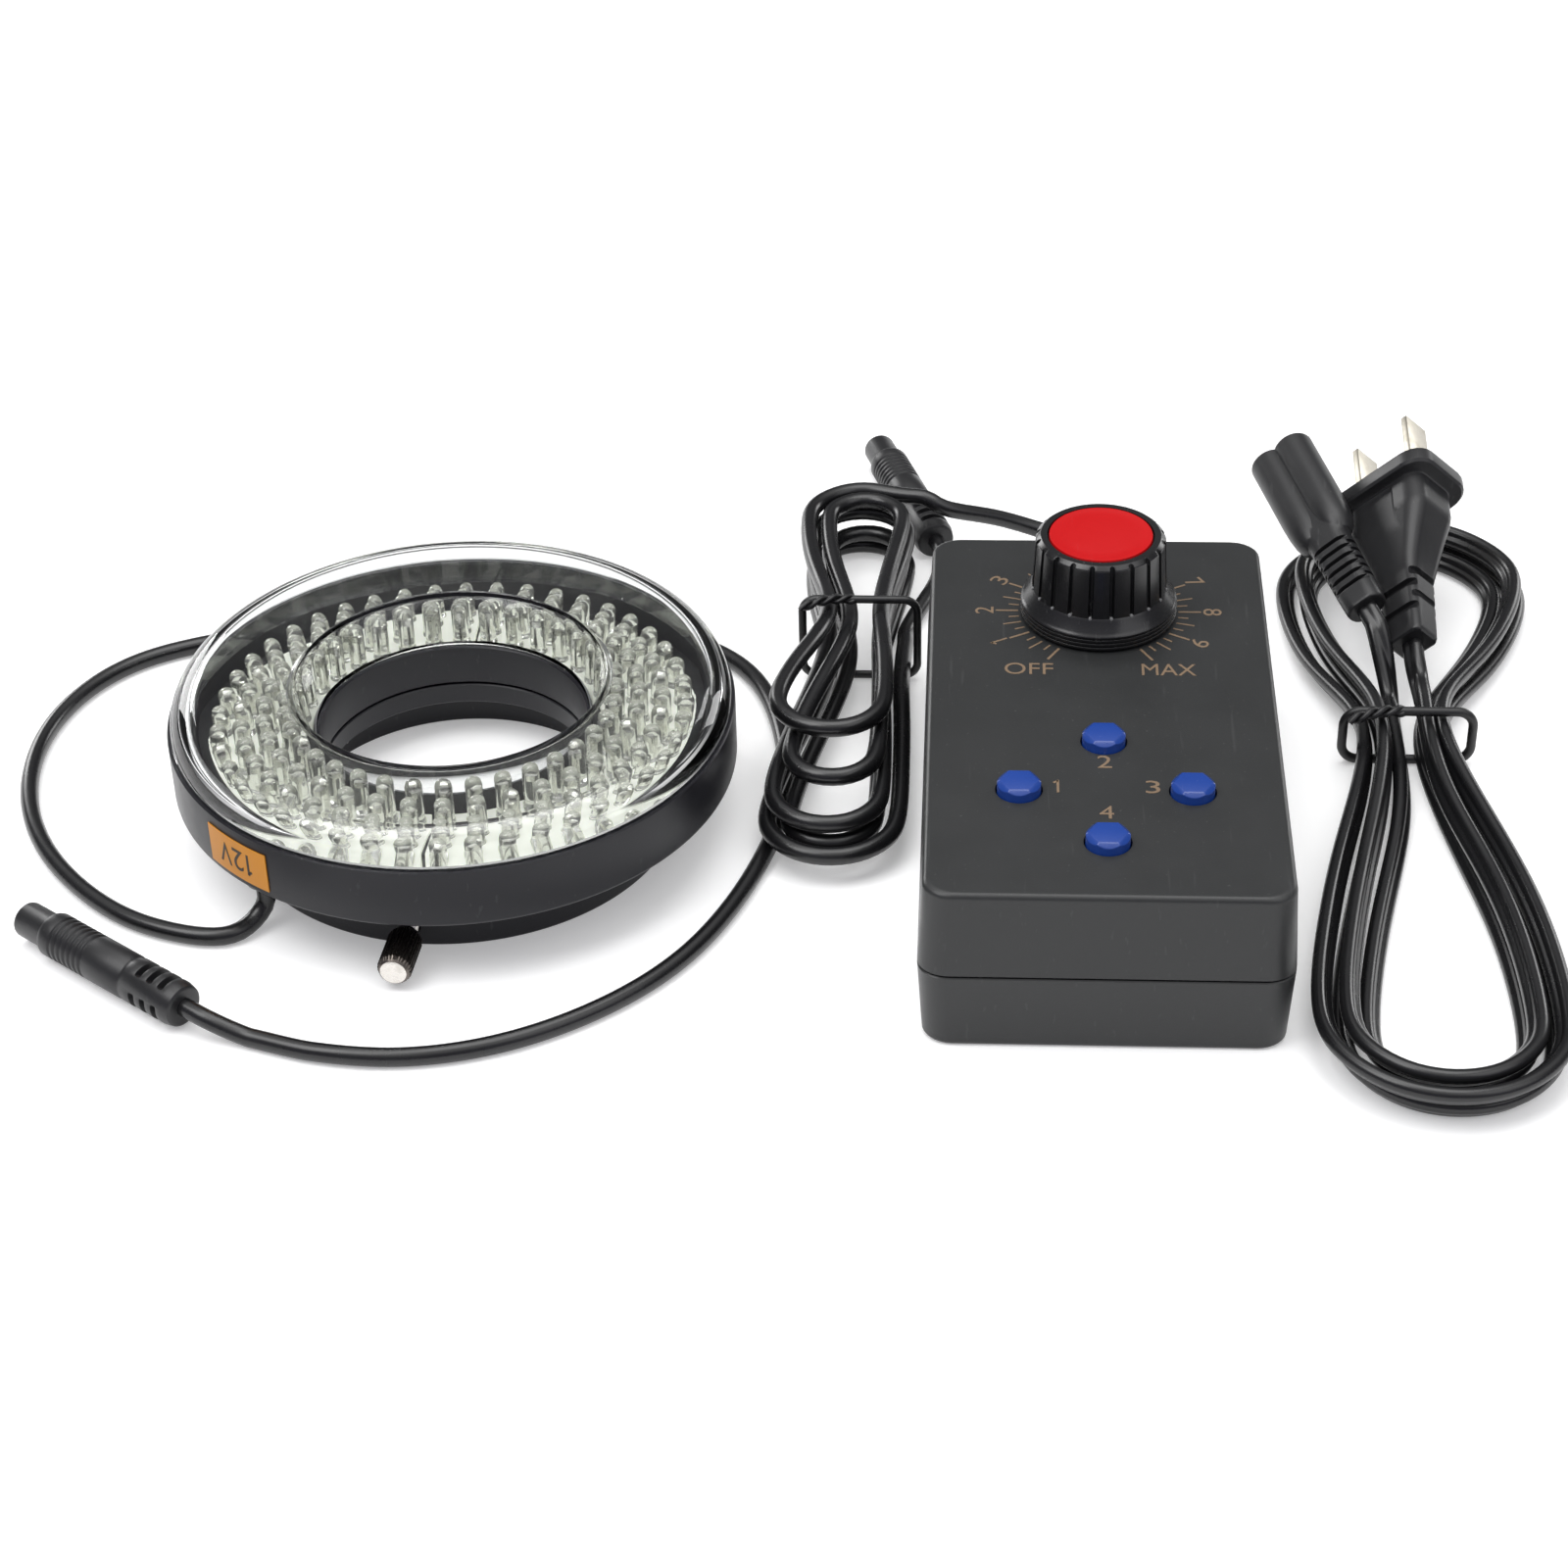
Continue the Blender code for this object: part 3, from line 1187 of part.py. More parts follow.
def make_knob(axis, base, shaft_top, made_of):
    """A fluted knob with a skirt, a hollow for the nut, a shaft bore and a recess for the cap."""
    half = KNOB_GROOVE_SHARE / 2
    places = []
    for angle in spread_angles(0, KNOB_GROOVES):
        for share, deep in ((-half, False), (0, True), (half, False)):
            places.append((angle + 2 * math.pi * share / KNOB_GROOVES, deep))

    def ring(radius, height, grooved=False):
        depth = KNOB_GROOVE_DEPTH if grooved else 0
        return [polar(radius - (depth if deep else 0), angle, height) for angle, deep in places]

    top = base + KNOB_HEIGHT
    skirt = base + KNOB_SKIRT_HEIGHT
    rings = [
        ring(KNOB_RADIUS - KNOB_EDGE, top),
        ring(KNOB_RADIUS, top - KNOB_EDGE, True),
        ring(KNOB_FOOT_RADIUS, skirt + KNOB_SKIRT_SLOPE, True),
        ring(KNOB_SKIRT_RADIUS - KNOB_EDGE / 2, skirt),
        ring(KNOB_SKIRT_RADIUS, skirt - KNOB_EDGE),
        ring(KNOB_SKIRT_RADIUS, base),
    ]
    knob = place_object("dimmer_knob", stacked_mesh("dimmer_knob", rings), made_of, axis)
    below = base - CUT_OVERRUN
    hollow = base + KNOB_HOLLOW_DEPTH
    bore = POT_SHAFT_RADIUS + SEAT_GAP
    bore_end = shaft_top + SEAT_GAP
    hollow_profile = [(0, below), (KNOB_HOLLOW_RADIUS, below), (KNOB_HOLLOW_RADIUS, hollow)]
    hollow_profile += [(bore, hollow), (bore, bore_end), (0, bore_end)]
    cut(knob, "cut_knob_hollow", [turned_mesh("hollow", hollow_profile, DIMMER_SIDES)])
    recess = CAP_RADIUS + SEAT_GAP
    low, high = top - CAP_THICKNESS - SEAT_GAP, top + CUT_OVERRUN
    recess_profile = [(0, low), (recess, low), (recess, high), (0, high)]
    cut(knob, "cut_knob_recess", [turned_mesh("recess", recess_profile, CAP_SIDES)])


def make_buttons(parent, blue, metal):
    flange_top = CASE_CEILING - SEAT_GAP
    flange_low = flange_top - BUTTON_FLANGE_HEIGHT
    switch_low = MAIN_BOARD_TOP + SEAT_GAP
    plunger_top = switch_low + SWITCH_BODY + SWITCH_PLUNGER_RISE
    stem_low = plunger_top + BUTTON_TRAVEL + BUTTON_STOP_GAP
    edge = CASE_HEIGHT + BUTTON_RISE
    profile = [
        (BUTTON_STEM_RADIUS, stem_low),
        (BUTTON_STEM_RADIUS, flange_low),
        (BUTTON_FLANGE, flange_low),
        (BUTTON_FLANGE, flange_top),
        (BUTTON_RADIUS, flange_top),
        (BUTTON_RADIUS, edge),
    ]
    angles = spread_angles(0, BUTTON_SIDES)
    rings = [[polar(radius, angle, height) for angle in angles] for radius, height in profile]
    top = edge + BUTTON_TOP_RISE
    rings.append([polar(BUTTON_TOP_RADIUS * hexagon_share(angle), angle, top) for angle in angles])
    middle = switch_low + SWITCH_BODY / 2
    for i, (x, y) in enumerate(BUTTON_PLACES):
        name = f"zone_button_{i + 1}"
        place_object(name, stacked_mesh(name, rings), blue, parent, (x, y, 0))
        body = block_mesh((SWITCH_SIDE, SWITCH_SIDE, SWITCH_BODY), (0, 0, middle))
        switch = place_object(f"zone_switch_{i + 1}", body, metal, parent, (x, y, 0))
        sides = SWITCH_PLUNGER_SIDES
        plunger = upright_bar(SWITCH_PLUNGER_RADIUS, (0, 0), middle, plunger_top, sides)
        add(switch, f"plunger_{i + 1}", [plunger])


def make_power_parts(parent, core_metal, sleeve):
    low = CASE_WALL + SEAT_GAP
    size = (TRANSFORMER_SIZE_X, TRANSFORMER_SIZE_Y * TRANSFORMER_CORE_SHARE, TRANSFORMER_SIZE_Z)
    core = block_mesh(size, (0, TRANSFORMER_Y, low + TRANSFORMER_SIZE_Z / 2))
    transformer = place_object("power_transformer", core, core_metal, parent)
    width = TRANSFORMER_SIZE_X - 2 * TRANSFORMER_CORE_STEP
    tall = TRANSFORMER_SIZE_Z - 2 * TRANSFORMER_CORE_STEP
    middle = low + TRANSFORMER_SIZE_Z / 2
    winding = block_mesh((width, TRANSFORMER_SIZE_Y, tall), (0, TRANSFORMER_Y, middle))
    add(transformer, "winding", [winding])
    height = low + CAPACITOR_RADIUS
    start = (-CAPACITOR_LENGTH / 2, CAPACITOR_Y, height)
    end = (CAPACITOR_LENGTH / 2, CAPACITOR_Y, height)
    mesh = bar_mesh(CAPACITOR_RADIUS, start, end, CAPACITOR_SIDES)
    smoothed(place_object("filter_capacitor", mesh, sleeve, parent))


def make_inlet(parent, made_of):
    """A two-pin inlet set into the back wall, with its flange outside."""
    face = CASE_LENGTH / 2 + SEAT_GAP + INLET_FLANGE_WALL
    length = INLET_SOCKET_DEPTH + INLET_BACK_WALL
    mesh = block_mesh((INLET_WIDTH, length, INLET_TALL), (INLET_X, face - length / 2, INLET_Z))
    inlet = place_object("mains_inlet", mesh, made_of, parent)
    size = (INLET_WIDTH + 2 * INLET_FLANGE, INLET_FLANGE_WALL, INLET_TALL + 2 * INLET_FLANGE)
    flange = block_mesh(size, (INLET_X, face - INLET_FLANGE_WALL / 2, INLET_Z))
    add(inlet, "inlet_flange", [flange])
    depth = INLET_SOCKET_DEPTH + CUT_OVERRUN
    straight = INLET_SOCKET_WIDTH - INLET_SOCKET_TALL
    middle = face + CUT_OVERRUN - depth / 2
    size = (straight, depth, INLET_SOCKET_TALL)
    cut(inlet, "cut_inlet_middle", [block_mesh(size, (INLET_X, middle, INLET_Z))])
    floor = face - INLET_SOCKET_DEPTH
    for i, side in enumerate((-1, 1)):
        x = INLET_X + side * straight / 2
        start, end = (x, floor, INLET_Z), (x, face + CUT_OVERRUN, INLET_Z)
        lobe = bar_mesh(INLET_SOCKET_TALL / 2, start, end, INLET_LOBE_SIDES)
        cut(inlet, f"cut_inlet_lobe_{i + 1}", [lobe])
    pins = []
    for side in (-1, 1):
        x = INLET_X + side * INLET_PIN_PITCH / 2
        start, end = (x, floor - CUT_OVERRUN, INLET_Z), (x, floor + INLET_PIN_LENGTH, INLET_Z)
        pins.append(bar_mesh(INLET_PIN_RADIUS, start, end, INLET_PIN_SIDES))
    add(inlet, "inlet_pins", pins)


def make_gland(parent, made_of):
    """A turned gland through the back wall, with a tail that the cord comes out of."""
    outer = CASE_LENGTH / 2 + SEAT_GAP
    inner = CASE_LENGTH / 2 - CASE_WALL - CASE_DRAFT - SEAT_GAP
    profile = [
        (0, inner - GLAND_FLANGE_WALL),
        (GLAND_FLANGE_RADIUS, inner - GLAND_FLANGE_WALL),
        (GLAND_FLANGE_RADIUS, inner),
        (GLAND_NECK_RADIUS, inner),
        (GLAND_NECK_RADIUS, outer),
        (GLAND_FLANGE_RADIUS, outer),
        (GLAND_FLANGE_RADIUS, outer + GLAND_FLANGE_WALL),
        (GLAND_TAIL_ROOT_RADIUS, outer + GLAND_FLANGE_WALL),
        (GLAND_TAIL_RADIUS, GLAND_END),
        (0, GLAND_END),
    ]
    gland = turned("output_gland", profile, GLAND_SIDES, made_of, parent, (GLAND_X, 0, GLAND_Z))
    gland.rotation_euler = (-math.pi / 2, 0, 0)


# Hanks and what ties them


def make_tie(name, out, y, low, rise, strand, radius, parent, made_of):
    """A closed wire loop round a hank's waist, one gap away from its outer strands."""
    margin = strand + SEAT_GAP + radius
    width = 2 * (out + margin)
    height = rise + 2 * margin
    middle = low + rise / 2
    outline = rounded_outline(width, height, margin, TIE_CORNER_STEPS)
    points = [(x, y, middle + z) for x, z in outline]
    tube(name, points, radius, made_of, parent, 1, True)


def output_hank_points():
    """The output cord's hank, wound from the top layer down, drawn in at its tie."""
    first = OUTPUT_HANK_FIRST_POINT
    layers = len(OUTPUT_HANK_CLIMBS)
    points = []
    for i in range(first, OUTPUT_HANK_LAST_POINT + 1):
        layer = layers - climbed(i, OUTPUT_HANK_CLIMBS)
        out = steps_out(i, first, OUTPUT_HANK_CLIMBS, -1)
        loop = {
            "top": OUTPUT_HANK_TOP,
            "bottom": OUTPUT_HANK_BOTTOM + OUTPUT_HANK_LAYER_REACH * layer**2,
            "top_lobe": OUTPUT_HANK_TOP_LOBE,
            "bottom_lobe": OUTPUT_HANK_BOTTOM_LOBE,
            "lean_top": OUTPUT_HANK_LEAN_TOP,
            "lean_bottom": OUTPUT_HANK_LEAN_BOTTOM,
            "waist": OUTPUT_HANK_WAIST,
            "waist_y": OUTPUT_TIE_Y,
        }
        x, y = loop_point(i, loop, OUTPUT_HANK_STEP * out)
        lift = OUTPUT_HANK_LIFT * (1 - math.tanh((y - OUTPUT_TIE_Y) / OUTPUT_HANK_LIFT_REACH)) / 2
        height = CORD_RADIUS + FLOOR_GAP + lift + OUTPUT_HANK_LAYER_RISE * layer
        points.append(Vector((x, y, height)))
    return points


def mains_hank_points():
    """The mains cord's hank: two layers, both ends at the waist."""
    first = MAINS_HANK_FIRST_POINT
    loop = {
        "top": MAINS_HANK_TOP,
        "bottom": MAINS_HANK_BOTTOM,
        "top_lobe": MAINS_HANK_TOP_LOBE,
        "bottom_lobe": MAINS_HANK_BOTTOM_LOBE,
        "lean_top": MAINS_HANK_LEAN_TOP,
        "lean_bottom": MAINS_HANK_LEAN_BOTTOM,
        "waist": MAINS_HANK_WAIST,
        "waist_y": MAINS_TIE_Y,
    }
    room = 2 * MAINS_TIE_RADIUS + SEAT_GAP
    points = []
    for i in range(first, MAINS_HANK_LAST_POINT + 1):
        out = steps_out(i, first, MAINS_HANK_CLIMBS, 1)
        x, y = loop_point(i, loop, MAINS_HANK_STEP * out)
        lift = room * math.exp(-(((y - MAINS_TIE_Y) / MAINS_HANK_LIFT_REACH) ** 2))
        layer = climbed(i, MAINS_HANK_CLIMBS)
        height = MAINS_CORD_RADIUS + FLOOR_GAP + lift + MAINS_HANK_LAYER_RISE * layer
        points.append(Vector((x, y, height)))
    return points


def waist_reach(points, y):
    """How far out the strands of a hank lie where they cross its tie."""
    reach = 0
    for a, b in zip(points, points[1:]):
        if (a.y - y) * (b.y - y) <= 0 and a.y != b.y:
            reach = max(reach, abs(a.x + (b.x - a.x) * (y - a.y) / (b.y - a.y)))
    return reach


# Output cord


def make_output_cord(parent, rubber, plastic, contact, wire):
    hank_frame = empty("output_frame", (OUTPUT_HANK_X, 0, 0), parent)
    floor = CORD_RADIUS + FLOOR_GAP
    step = CORD_RADIUS * CORD_STEP_SHARE
    wound = output_hank_points()
    out = waist_reach(wound, OUTPUT_TIE_Y)
    wound = straight_ends(wound, 2 * CORD_RADIUS)
    print(f"output hank gap {own_gap(wound, CORD_RADIUS) * 1000:.2f} mm")
    tube("output_hank", wound, CORD_RADIUS, rubber, hank_frame, 1)

    into = (wound[0] - wound[1]).normalized()
    end = wound[0] + into * SEAT_GAP + Vector((OUTPUT_HANK_X, 0, 0))
    start = Vector((GLAND_X, GLAND_END + SEAT_GAP, GLAND_Z))
    route = [tuple(start), tuple(start + Vector((0, 2 * CORD_RADIUS, 0)))]
    route += [(GLAND_X + x, GLAND_END + y, z) for x, y, z in OUTPUT_LEAD_POINTS]
    route += [tuple(end + into * 2 * CORD_RADIUS), tuple(end)]
    lead = smooth_path(route, step, floor)
    tube("output_lead", lead, CORD_RADIUS, rubber, parent)

    tail, along = round_plug(
        "output_socket", OUTPUT_SOCKET_TAIL, OUTPUT_SOCKET_TIP, hank_frame, plastic, contact
    )
    away = (wound[-1] - wound[-2]).normalized()
    start = wound[-1] + away * SEAT_GAP
    route = [tuple(start), tuple(start + away * 2 * CORD_RADIUS)]
    route += [(x, y, start.z) for x, y in OUTPUT_END_POINTS]
    route += [tuple(tail - along * 2 * CORD_RADIUS), tuple(tail)]
    last = smooth_path(route, step, floor)
    tube("output_end", last, CORD_RADIUS, rubber, hank_frame)
    total = path_length(lead) + path_length(wound) + path_length(last)
    print(f"output cord {total:.3f} m")

    low = floor + OUTPUT_HANK_LIFT / 2
    rise = OUTPUT_HANK_LAYER_RISE * len(OUTPUT_HANK_CLIMBS)
    make_tie(
        "output_tie", out, OUTPUT_TIE_Y, low, rise, CORD_RADIUS, OUTPUT_TIE_RADIUS, hank_frame, wire
    )


# Mains lead


def plug_frame(name, tail, tip, roll, parent):
    """A frame at a plug's cord end, with +Y along the plug and +Z up."""
    frame = empty(name, tail, parent)
    along = (Vector(tip) - Vector(tail)).normalized()
    turn = along.to_track_quat("Y", "Z").to_matrix() @ Matrix.Rotation(roll, 3, "Y")
    frame.rotation_euler = turn.to_euler()
    return frame, Vector(tail) - along * SEAT_GAP, along


def plug_skin(name, sections, corner_share, steps, frame, made_of):
    """A body through rounded rectangles, each a width, a height and a place along +Y."""
    rings = []
    for width, tall, place in sections:
        corner = min(width, tall) / 2 * corner_share
        rings.append([(x, place, z) for x, z in rounded_outline(width, tall, corner, steps)])
    return place_object(name, stacked_mesh(name, rings), made_of, frame)


def relief_slots(body, name, length, width, tall):
    """Slots across the top and the bottom of a flat strain relief."""
    slots = []
    for i in range(RELIEF_SLOTS):
        place = length * (RELIEF_FIRST_SLOT_SHARE + i * RELIEF_SLOT_PITCH_SHARE)
        for side in (-1, 1):
            size = (2 * width, length * RELIEF_SLOT_WIDTH_SHARE, 2 * RELIEF_SLOT_DEPTH)
            slots.append(block_mesh(size, (0, place, side * tall / 2)))
    cut(body, name, slots)


def make_appliance_plug(parent, plastic):
    frame, end, along = plug_frame(
        "appliance_frame", APPLIANCE_TAIL, APPLIANCE_TIP, APPLIANCE_ROLL, parent
    )
    relief = APPLIANCE_RELIEF_LENGTH
    face = relief + APPLIANCE_LENGTH
    width, tall = APPLIANCE_RELIEF_WIDTH, APPLIANCE_RELIEF_TALL
    relief_share, neck_share = APPLIANCE_NECK_SHARES
    sections = [
        (width * RELIEF_TAIL_SHARE, tall * RELIEF_TAIL_SHARE, 0),
        (width, tall, relief * relief_share),
        (APPLIANCE_WIDTH, APPLIANCE_TALL, relief + APPLIANCE_LENGTH * neck_share),
        (APPLIANCE_WIDTH, APPLIANCE_TALL, face),
    ]
    steps = APPLIANCE_ROUND_STEPS
    body = plug_skin("appliance_plug", sections, APPLIANCE_ROUND_SHARE, steps, frame, plastic)
    holes = []
    for side in (-1, 1):
        x = side * APPLIANCE_HOLE_PITCH / 2
        low, high = (x, face - APPLIANCE_HOLE_DEPTH, 0), (x, face + CUT_OVERRUN, 0)
        holes.append(bar_mesh(APPLIANCE_HOLE_RADIUS, low, high, INLET_PIN_SIDES))
    cut(body, "cut_appliance_holes", holes)
    relief_slots(body, "cut_appliance_relief", relief, width, tall)
    return end, along


def make_wall_plug(parent, plastic, brass):
    frame, end, along = plug_frame("wall_frame", WALL_TAIL, WALL_TIP, WALL_ROLL, parent)
    relief = WALL_RELIEF_LENGTH
    face = relief + WALL_LENGTH
    neck = face - WALL_FLANGE_WALL
    edge = WALL_FLANGE_EDGE
    width, tall = WALL_RELIEF_WIDTH, WALL_RELIEF_TALL
    nose_width, nose_tall = WALL_NOSE_SHARES
    nose, shoulder = WALL_SHOULDER_SHARES
    sections = [
        (width * RELIEF_TAIL_SHARE, tall * RELIEF_TAIL_SHARE, 0),
        (width, tall, relief * WALL_RELIEF_END_SHARE),
        (WALL_WIDTH * nose_width, WALL_TALL * nose_tall, relief + WALL_LENGTH * nose),
        (WALL_WIDTH, WALL_TALL, relief + WALL_LENGTH * shoulder),
        (WALL_WIDTH, WALL_TALL, neck - edge / 2),
        (WALL_FLANGE_WIDTH, WALL_FLANGE_TALL, neck),
        (WALL_FLANGE_WIDTH, WALL_FLANGE_TALL, face - edge),
        (WALL_FLANGE_WIDTH - 2 * edge, WALL_FLANGE_TALL - 2 * edge, face),
    ]
    body = plug_skin("wall_plug", sections, WALL_ROUND_SHARE, WALL_ROUND_STEPS, frame, plastic)
    size = (BLADE_WALL + 2 * SEAT_GAP, 2 * (BLADE_ROOT + SEAT_GAP), BLADE_WIDTH + 2 * SEAT_GAP)
    slots = [block_mesh(size, (side * BLADE_PITCH / 2, face, 0)) for side in (-1, 1)]
    cut(body, "cut_wall_blades", slots)
    relief_slots(body, "cut_wall_relief", relief, width, tall)
    for i, side in enumerate((-1, 1)):
        make_blade(f"wall_blade_{i + 1}", side * BLADE_PITCH / 2, face, frame, brass)
    return end, along


def make_blade(name, x, face, frame, made_of):
    """A flat blade whose corners are cut at its tip."""
    low, high = face - BLADE_ROOT, face + BLADE_LENGTH
    half = BLADE_WIDTH / 2
    tip = half * BLADE_TIP_SHARE
    outline = [(-half, low), (half, low), (half, high - tip), (tip, high), (-tip, high)]
    outline += [(-half, high - tip)]
    rings = []
    for side in (-1, 1):
        rings.append([(x + side * BLADE_WALL / 2, y, z) for z, y in outline])
    place_object(name, stacked_mesh(name, rings), made_of, frame)


def make_mains_lead(parent, rubber, plastic, brass, wire):
    hank_frame = empty("mains_frame", (MAINS_HANK_X, 0, 0), parent)
    radius = MAINS_CORD_RADIUS
    floor = radius + FLOOR_GAP
    wound = mains_hank_points()
    out = waist_reach(wound, MAINS_TIE_Y)
    wound = straight_ends(wound, 2 * radius)
    print(f"mains hank gap {own_gap(wound, radius) * 1000:.2f} mm")
    tube("mains_hank", wound, radius, rubber, hank_frame, 1)
    total = path_length(wound)
    plugs = (make_appliance_plug(hank_frame, plastic), make_wall_plug(hank_frame, plastic, brass))
    ends = ((wound[0], wound[1]), (wound[-1], wound[-2]))
    for name, (plug_end, along), (tip, inner) in zip(("mains_lead_a", "mains_lead_b"), plugs, ends):
        away = (tip - inner).normalized()
        start = tip + away * SEAT_GAP
        route = [tuple(plug_end), tuple(plug_end - along * 2 * radius)]
        route += [tuple(start + away * 2 * radius), tuple(start)]
        path = smooth_path(route, radius * CORD_STEP_SHARE, floor)
        tube(name, path, radius, rubber, hank_frame)
        total += path_length(path)
    print(f"mains cord {total:.3f} m")
    low = floor + 2 * MAINS_TIE_RADIUS + SEAT_GAP
    rise = MAINS_HANK_LAYER_RISE * len(MAINS_HANK_CLIMBS)
    make_tie("mains_tie", out, MAINS_TIE_Y, low, rise, radius, MAINS_TIE_RADIUS, hank_frame, wire)


def main():
    for obj in list(bpy.data.objects):
        bpy.data.objects.remove(obj, do_unlink=True)
    black = material("housing_black", (0.012, 0.012, 0.014), 0.42)
    clear = material("clear_plastic", (0.9, 0.92, 0.93), 0.05, alpha=0.3)
    lamp = material("lamp_clear", (0.86, 0.88, 0.8), 0.12)
    board = material("board_green", (0.02, 0.09, 0.04), 0.5)
    steel = material("screw_steel", (0.5, 0.5, 0.5), 0.35, 1.0)
    nickel = material("nickel", (0.6, 0.57, 0.54), 0.3, 1.0)
    orange = material("label_orange", (0.85, 0.36, 0.02), 0.5)
    case = material("case_charcoal", (0.04, 0.042, 0.04), 0.5)
    knob = material("knob_black", (0.015, 0.015, 0.016), 0.38)
    red = material("cap_red", (0.72, 0.01, 0.02), 0.32)
    blue = material("button_blue", (0.03, 0.08, 0.4), 0.35)
    switch = material("switch_body", (0.03, 0.03, 0.035), 0.5)
    winding = material("transformer_core", (0.18, 0.18, 0.19), 0.55, 0.4)
    sleeve = material("capacitor_sleeve", (0.02, 0.03, 0.12), 0.4)
    rubber = material("cord_black", (0.012, 0.012, 0.013), 0.4)
    plastic = material("plug_black", (0.016, 0.016, 0.017), 0.5)
    contact = material("contact_insert", (0.2, 0.2, 0.2), 0.4)
    brass = material("blade_metal", (0.72, 0.69, 0.6), 0.25, 1.0)
    wire = material("tie_black", (0.01, 0.01, 0.01), 0.45)

    ring = empty("ring_frame", (RING_X, RING_Y, 0))
    make_housing(ring, black)
    make_collar(ring, black)
    make_collar_screws(ring, steel)
    make_thumbscrews(ring, nickel)
    make_cover(ring, clear)
    board_top = make_lamp_board(ring, board)
    make_lamp_zones(ring, board_top, lamp)
    make_label(ring, orange)
    outlet = make_ring_outlet(ring, plastic)
    make_ring_cord(ring, outlet, rubber, plastic, contact)

    box = empty("case_frame", (CASE_X, CASE_Y, 0))
    make_case_top(box, case)
    make_case_bottom(box, case)
    make_case_screws(box, steel)
    make_main_board(box, board)
    make_dimmer(box, nickel, knob, red)
    make_buttons(box, blue, switch)
    make_power_parts(box, winding, sleeve)
    make_inlet(box, switch)
    make_gland(box, plastic)
    make_output_cord(box, rubber, plastic, contact, wire)
    make_mains_lead(box, rubber, plastic, brass, wire)


main()
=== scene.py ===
from math import atan2, cos, exp, hypot, pi, radians, sin, tanh

import bmesh
import bpy
import numpy as np
from bpy.props import FloatProperty, FloatVectorProperty, IntProperty, PointerProperty
from mathutils import Matrix, Vector


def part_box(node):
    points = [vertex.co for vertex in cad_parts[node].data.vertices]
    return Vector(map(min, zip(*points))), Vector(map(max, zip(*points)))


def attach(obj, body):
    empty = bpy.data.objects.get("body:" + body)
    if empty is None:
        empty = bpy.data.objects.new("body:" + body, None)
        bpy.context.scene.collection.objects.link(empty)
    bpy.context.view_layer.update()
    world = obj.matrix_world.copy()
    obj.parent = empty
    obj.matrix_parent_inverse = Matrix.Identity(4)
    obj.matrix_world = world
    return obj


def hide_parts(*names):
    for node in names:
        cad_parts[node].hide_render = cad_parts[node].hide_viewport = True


bl_info = {
    "name": "Microscope ring light",
    "version": (1, 0, 0),
    "blender": (4, 5, 0),
    "location": "View3D > Sidebar > Ring light",
    "description": "Dresses the packed ring light, its control box and its cords",
    "category": "Object",
}

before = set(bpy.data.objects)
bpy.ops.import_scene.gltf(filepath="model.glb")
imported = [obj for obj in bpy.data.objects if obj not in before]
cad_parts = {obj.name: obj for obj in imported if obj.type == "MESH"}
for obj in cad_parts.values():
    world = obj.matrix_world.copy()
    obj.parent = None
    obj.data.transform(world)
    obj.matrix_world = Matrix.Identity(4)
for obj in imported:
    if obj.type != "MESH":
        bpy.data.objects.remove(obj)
MERGE = 0.000001
LAMPS_IN_ROW = (36, 36, 40, 44)


def middle_of(node):
    low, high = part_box(node)
    return (low + high) / 2


HOUSING_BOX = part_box("ring_housing")
RING_AT = Vector((*middle_of("ring_housing")[:2], 0))
BOX_AT = Vector((*middle_of("case_top")[:2], 0))


def length(name, description, default):
    return FloatProperty(
        name=name, description=description, default=default,
        unit="LENGTH", subtype="DISTANCE", precision=5,
    )


def colour(name, description, default):
    return FloatVectorProperty(
        name=name, description=description, default=default, subtype="COLOR", size=3, min=0, max=1
    )


def rotation(name, description, degrees):
    return FloatProperty(
        name=name, description=description, default=radians(degrees), subtype="ANGLE"
    )


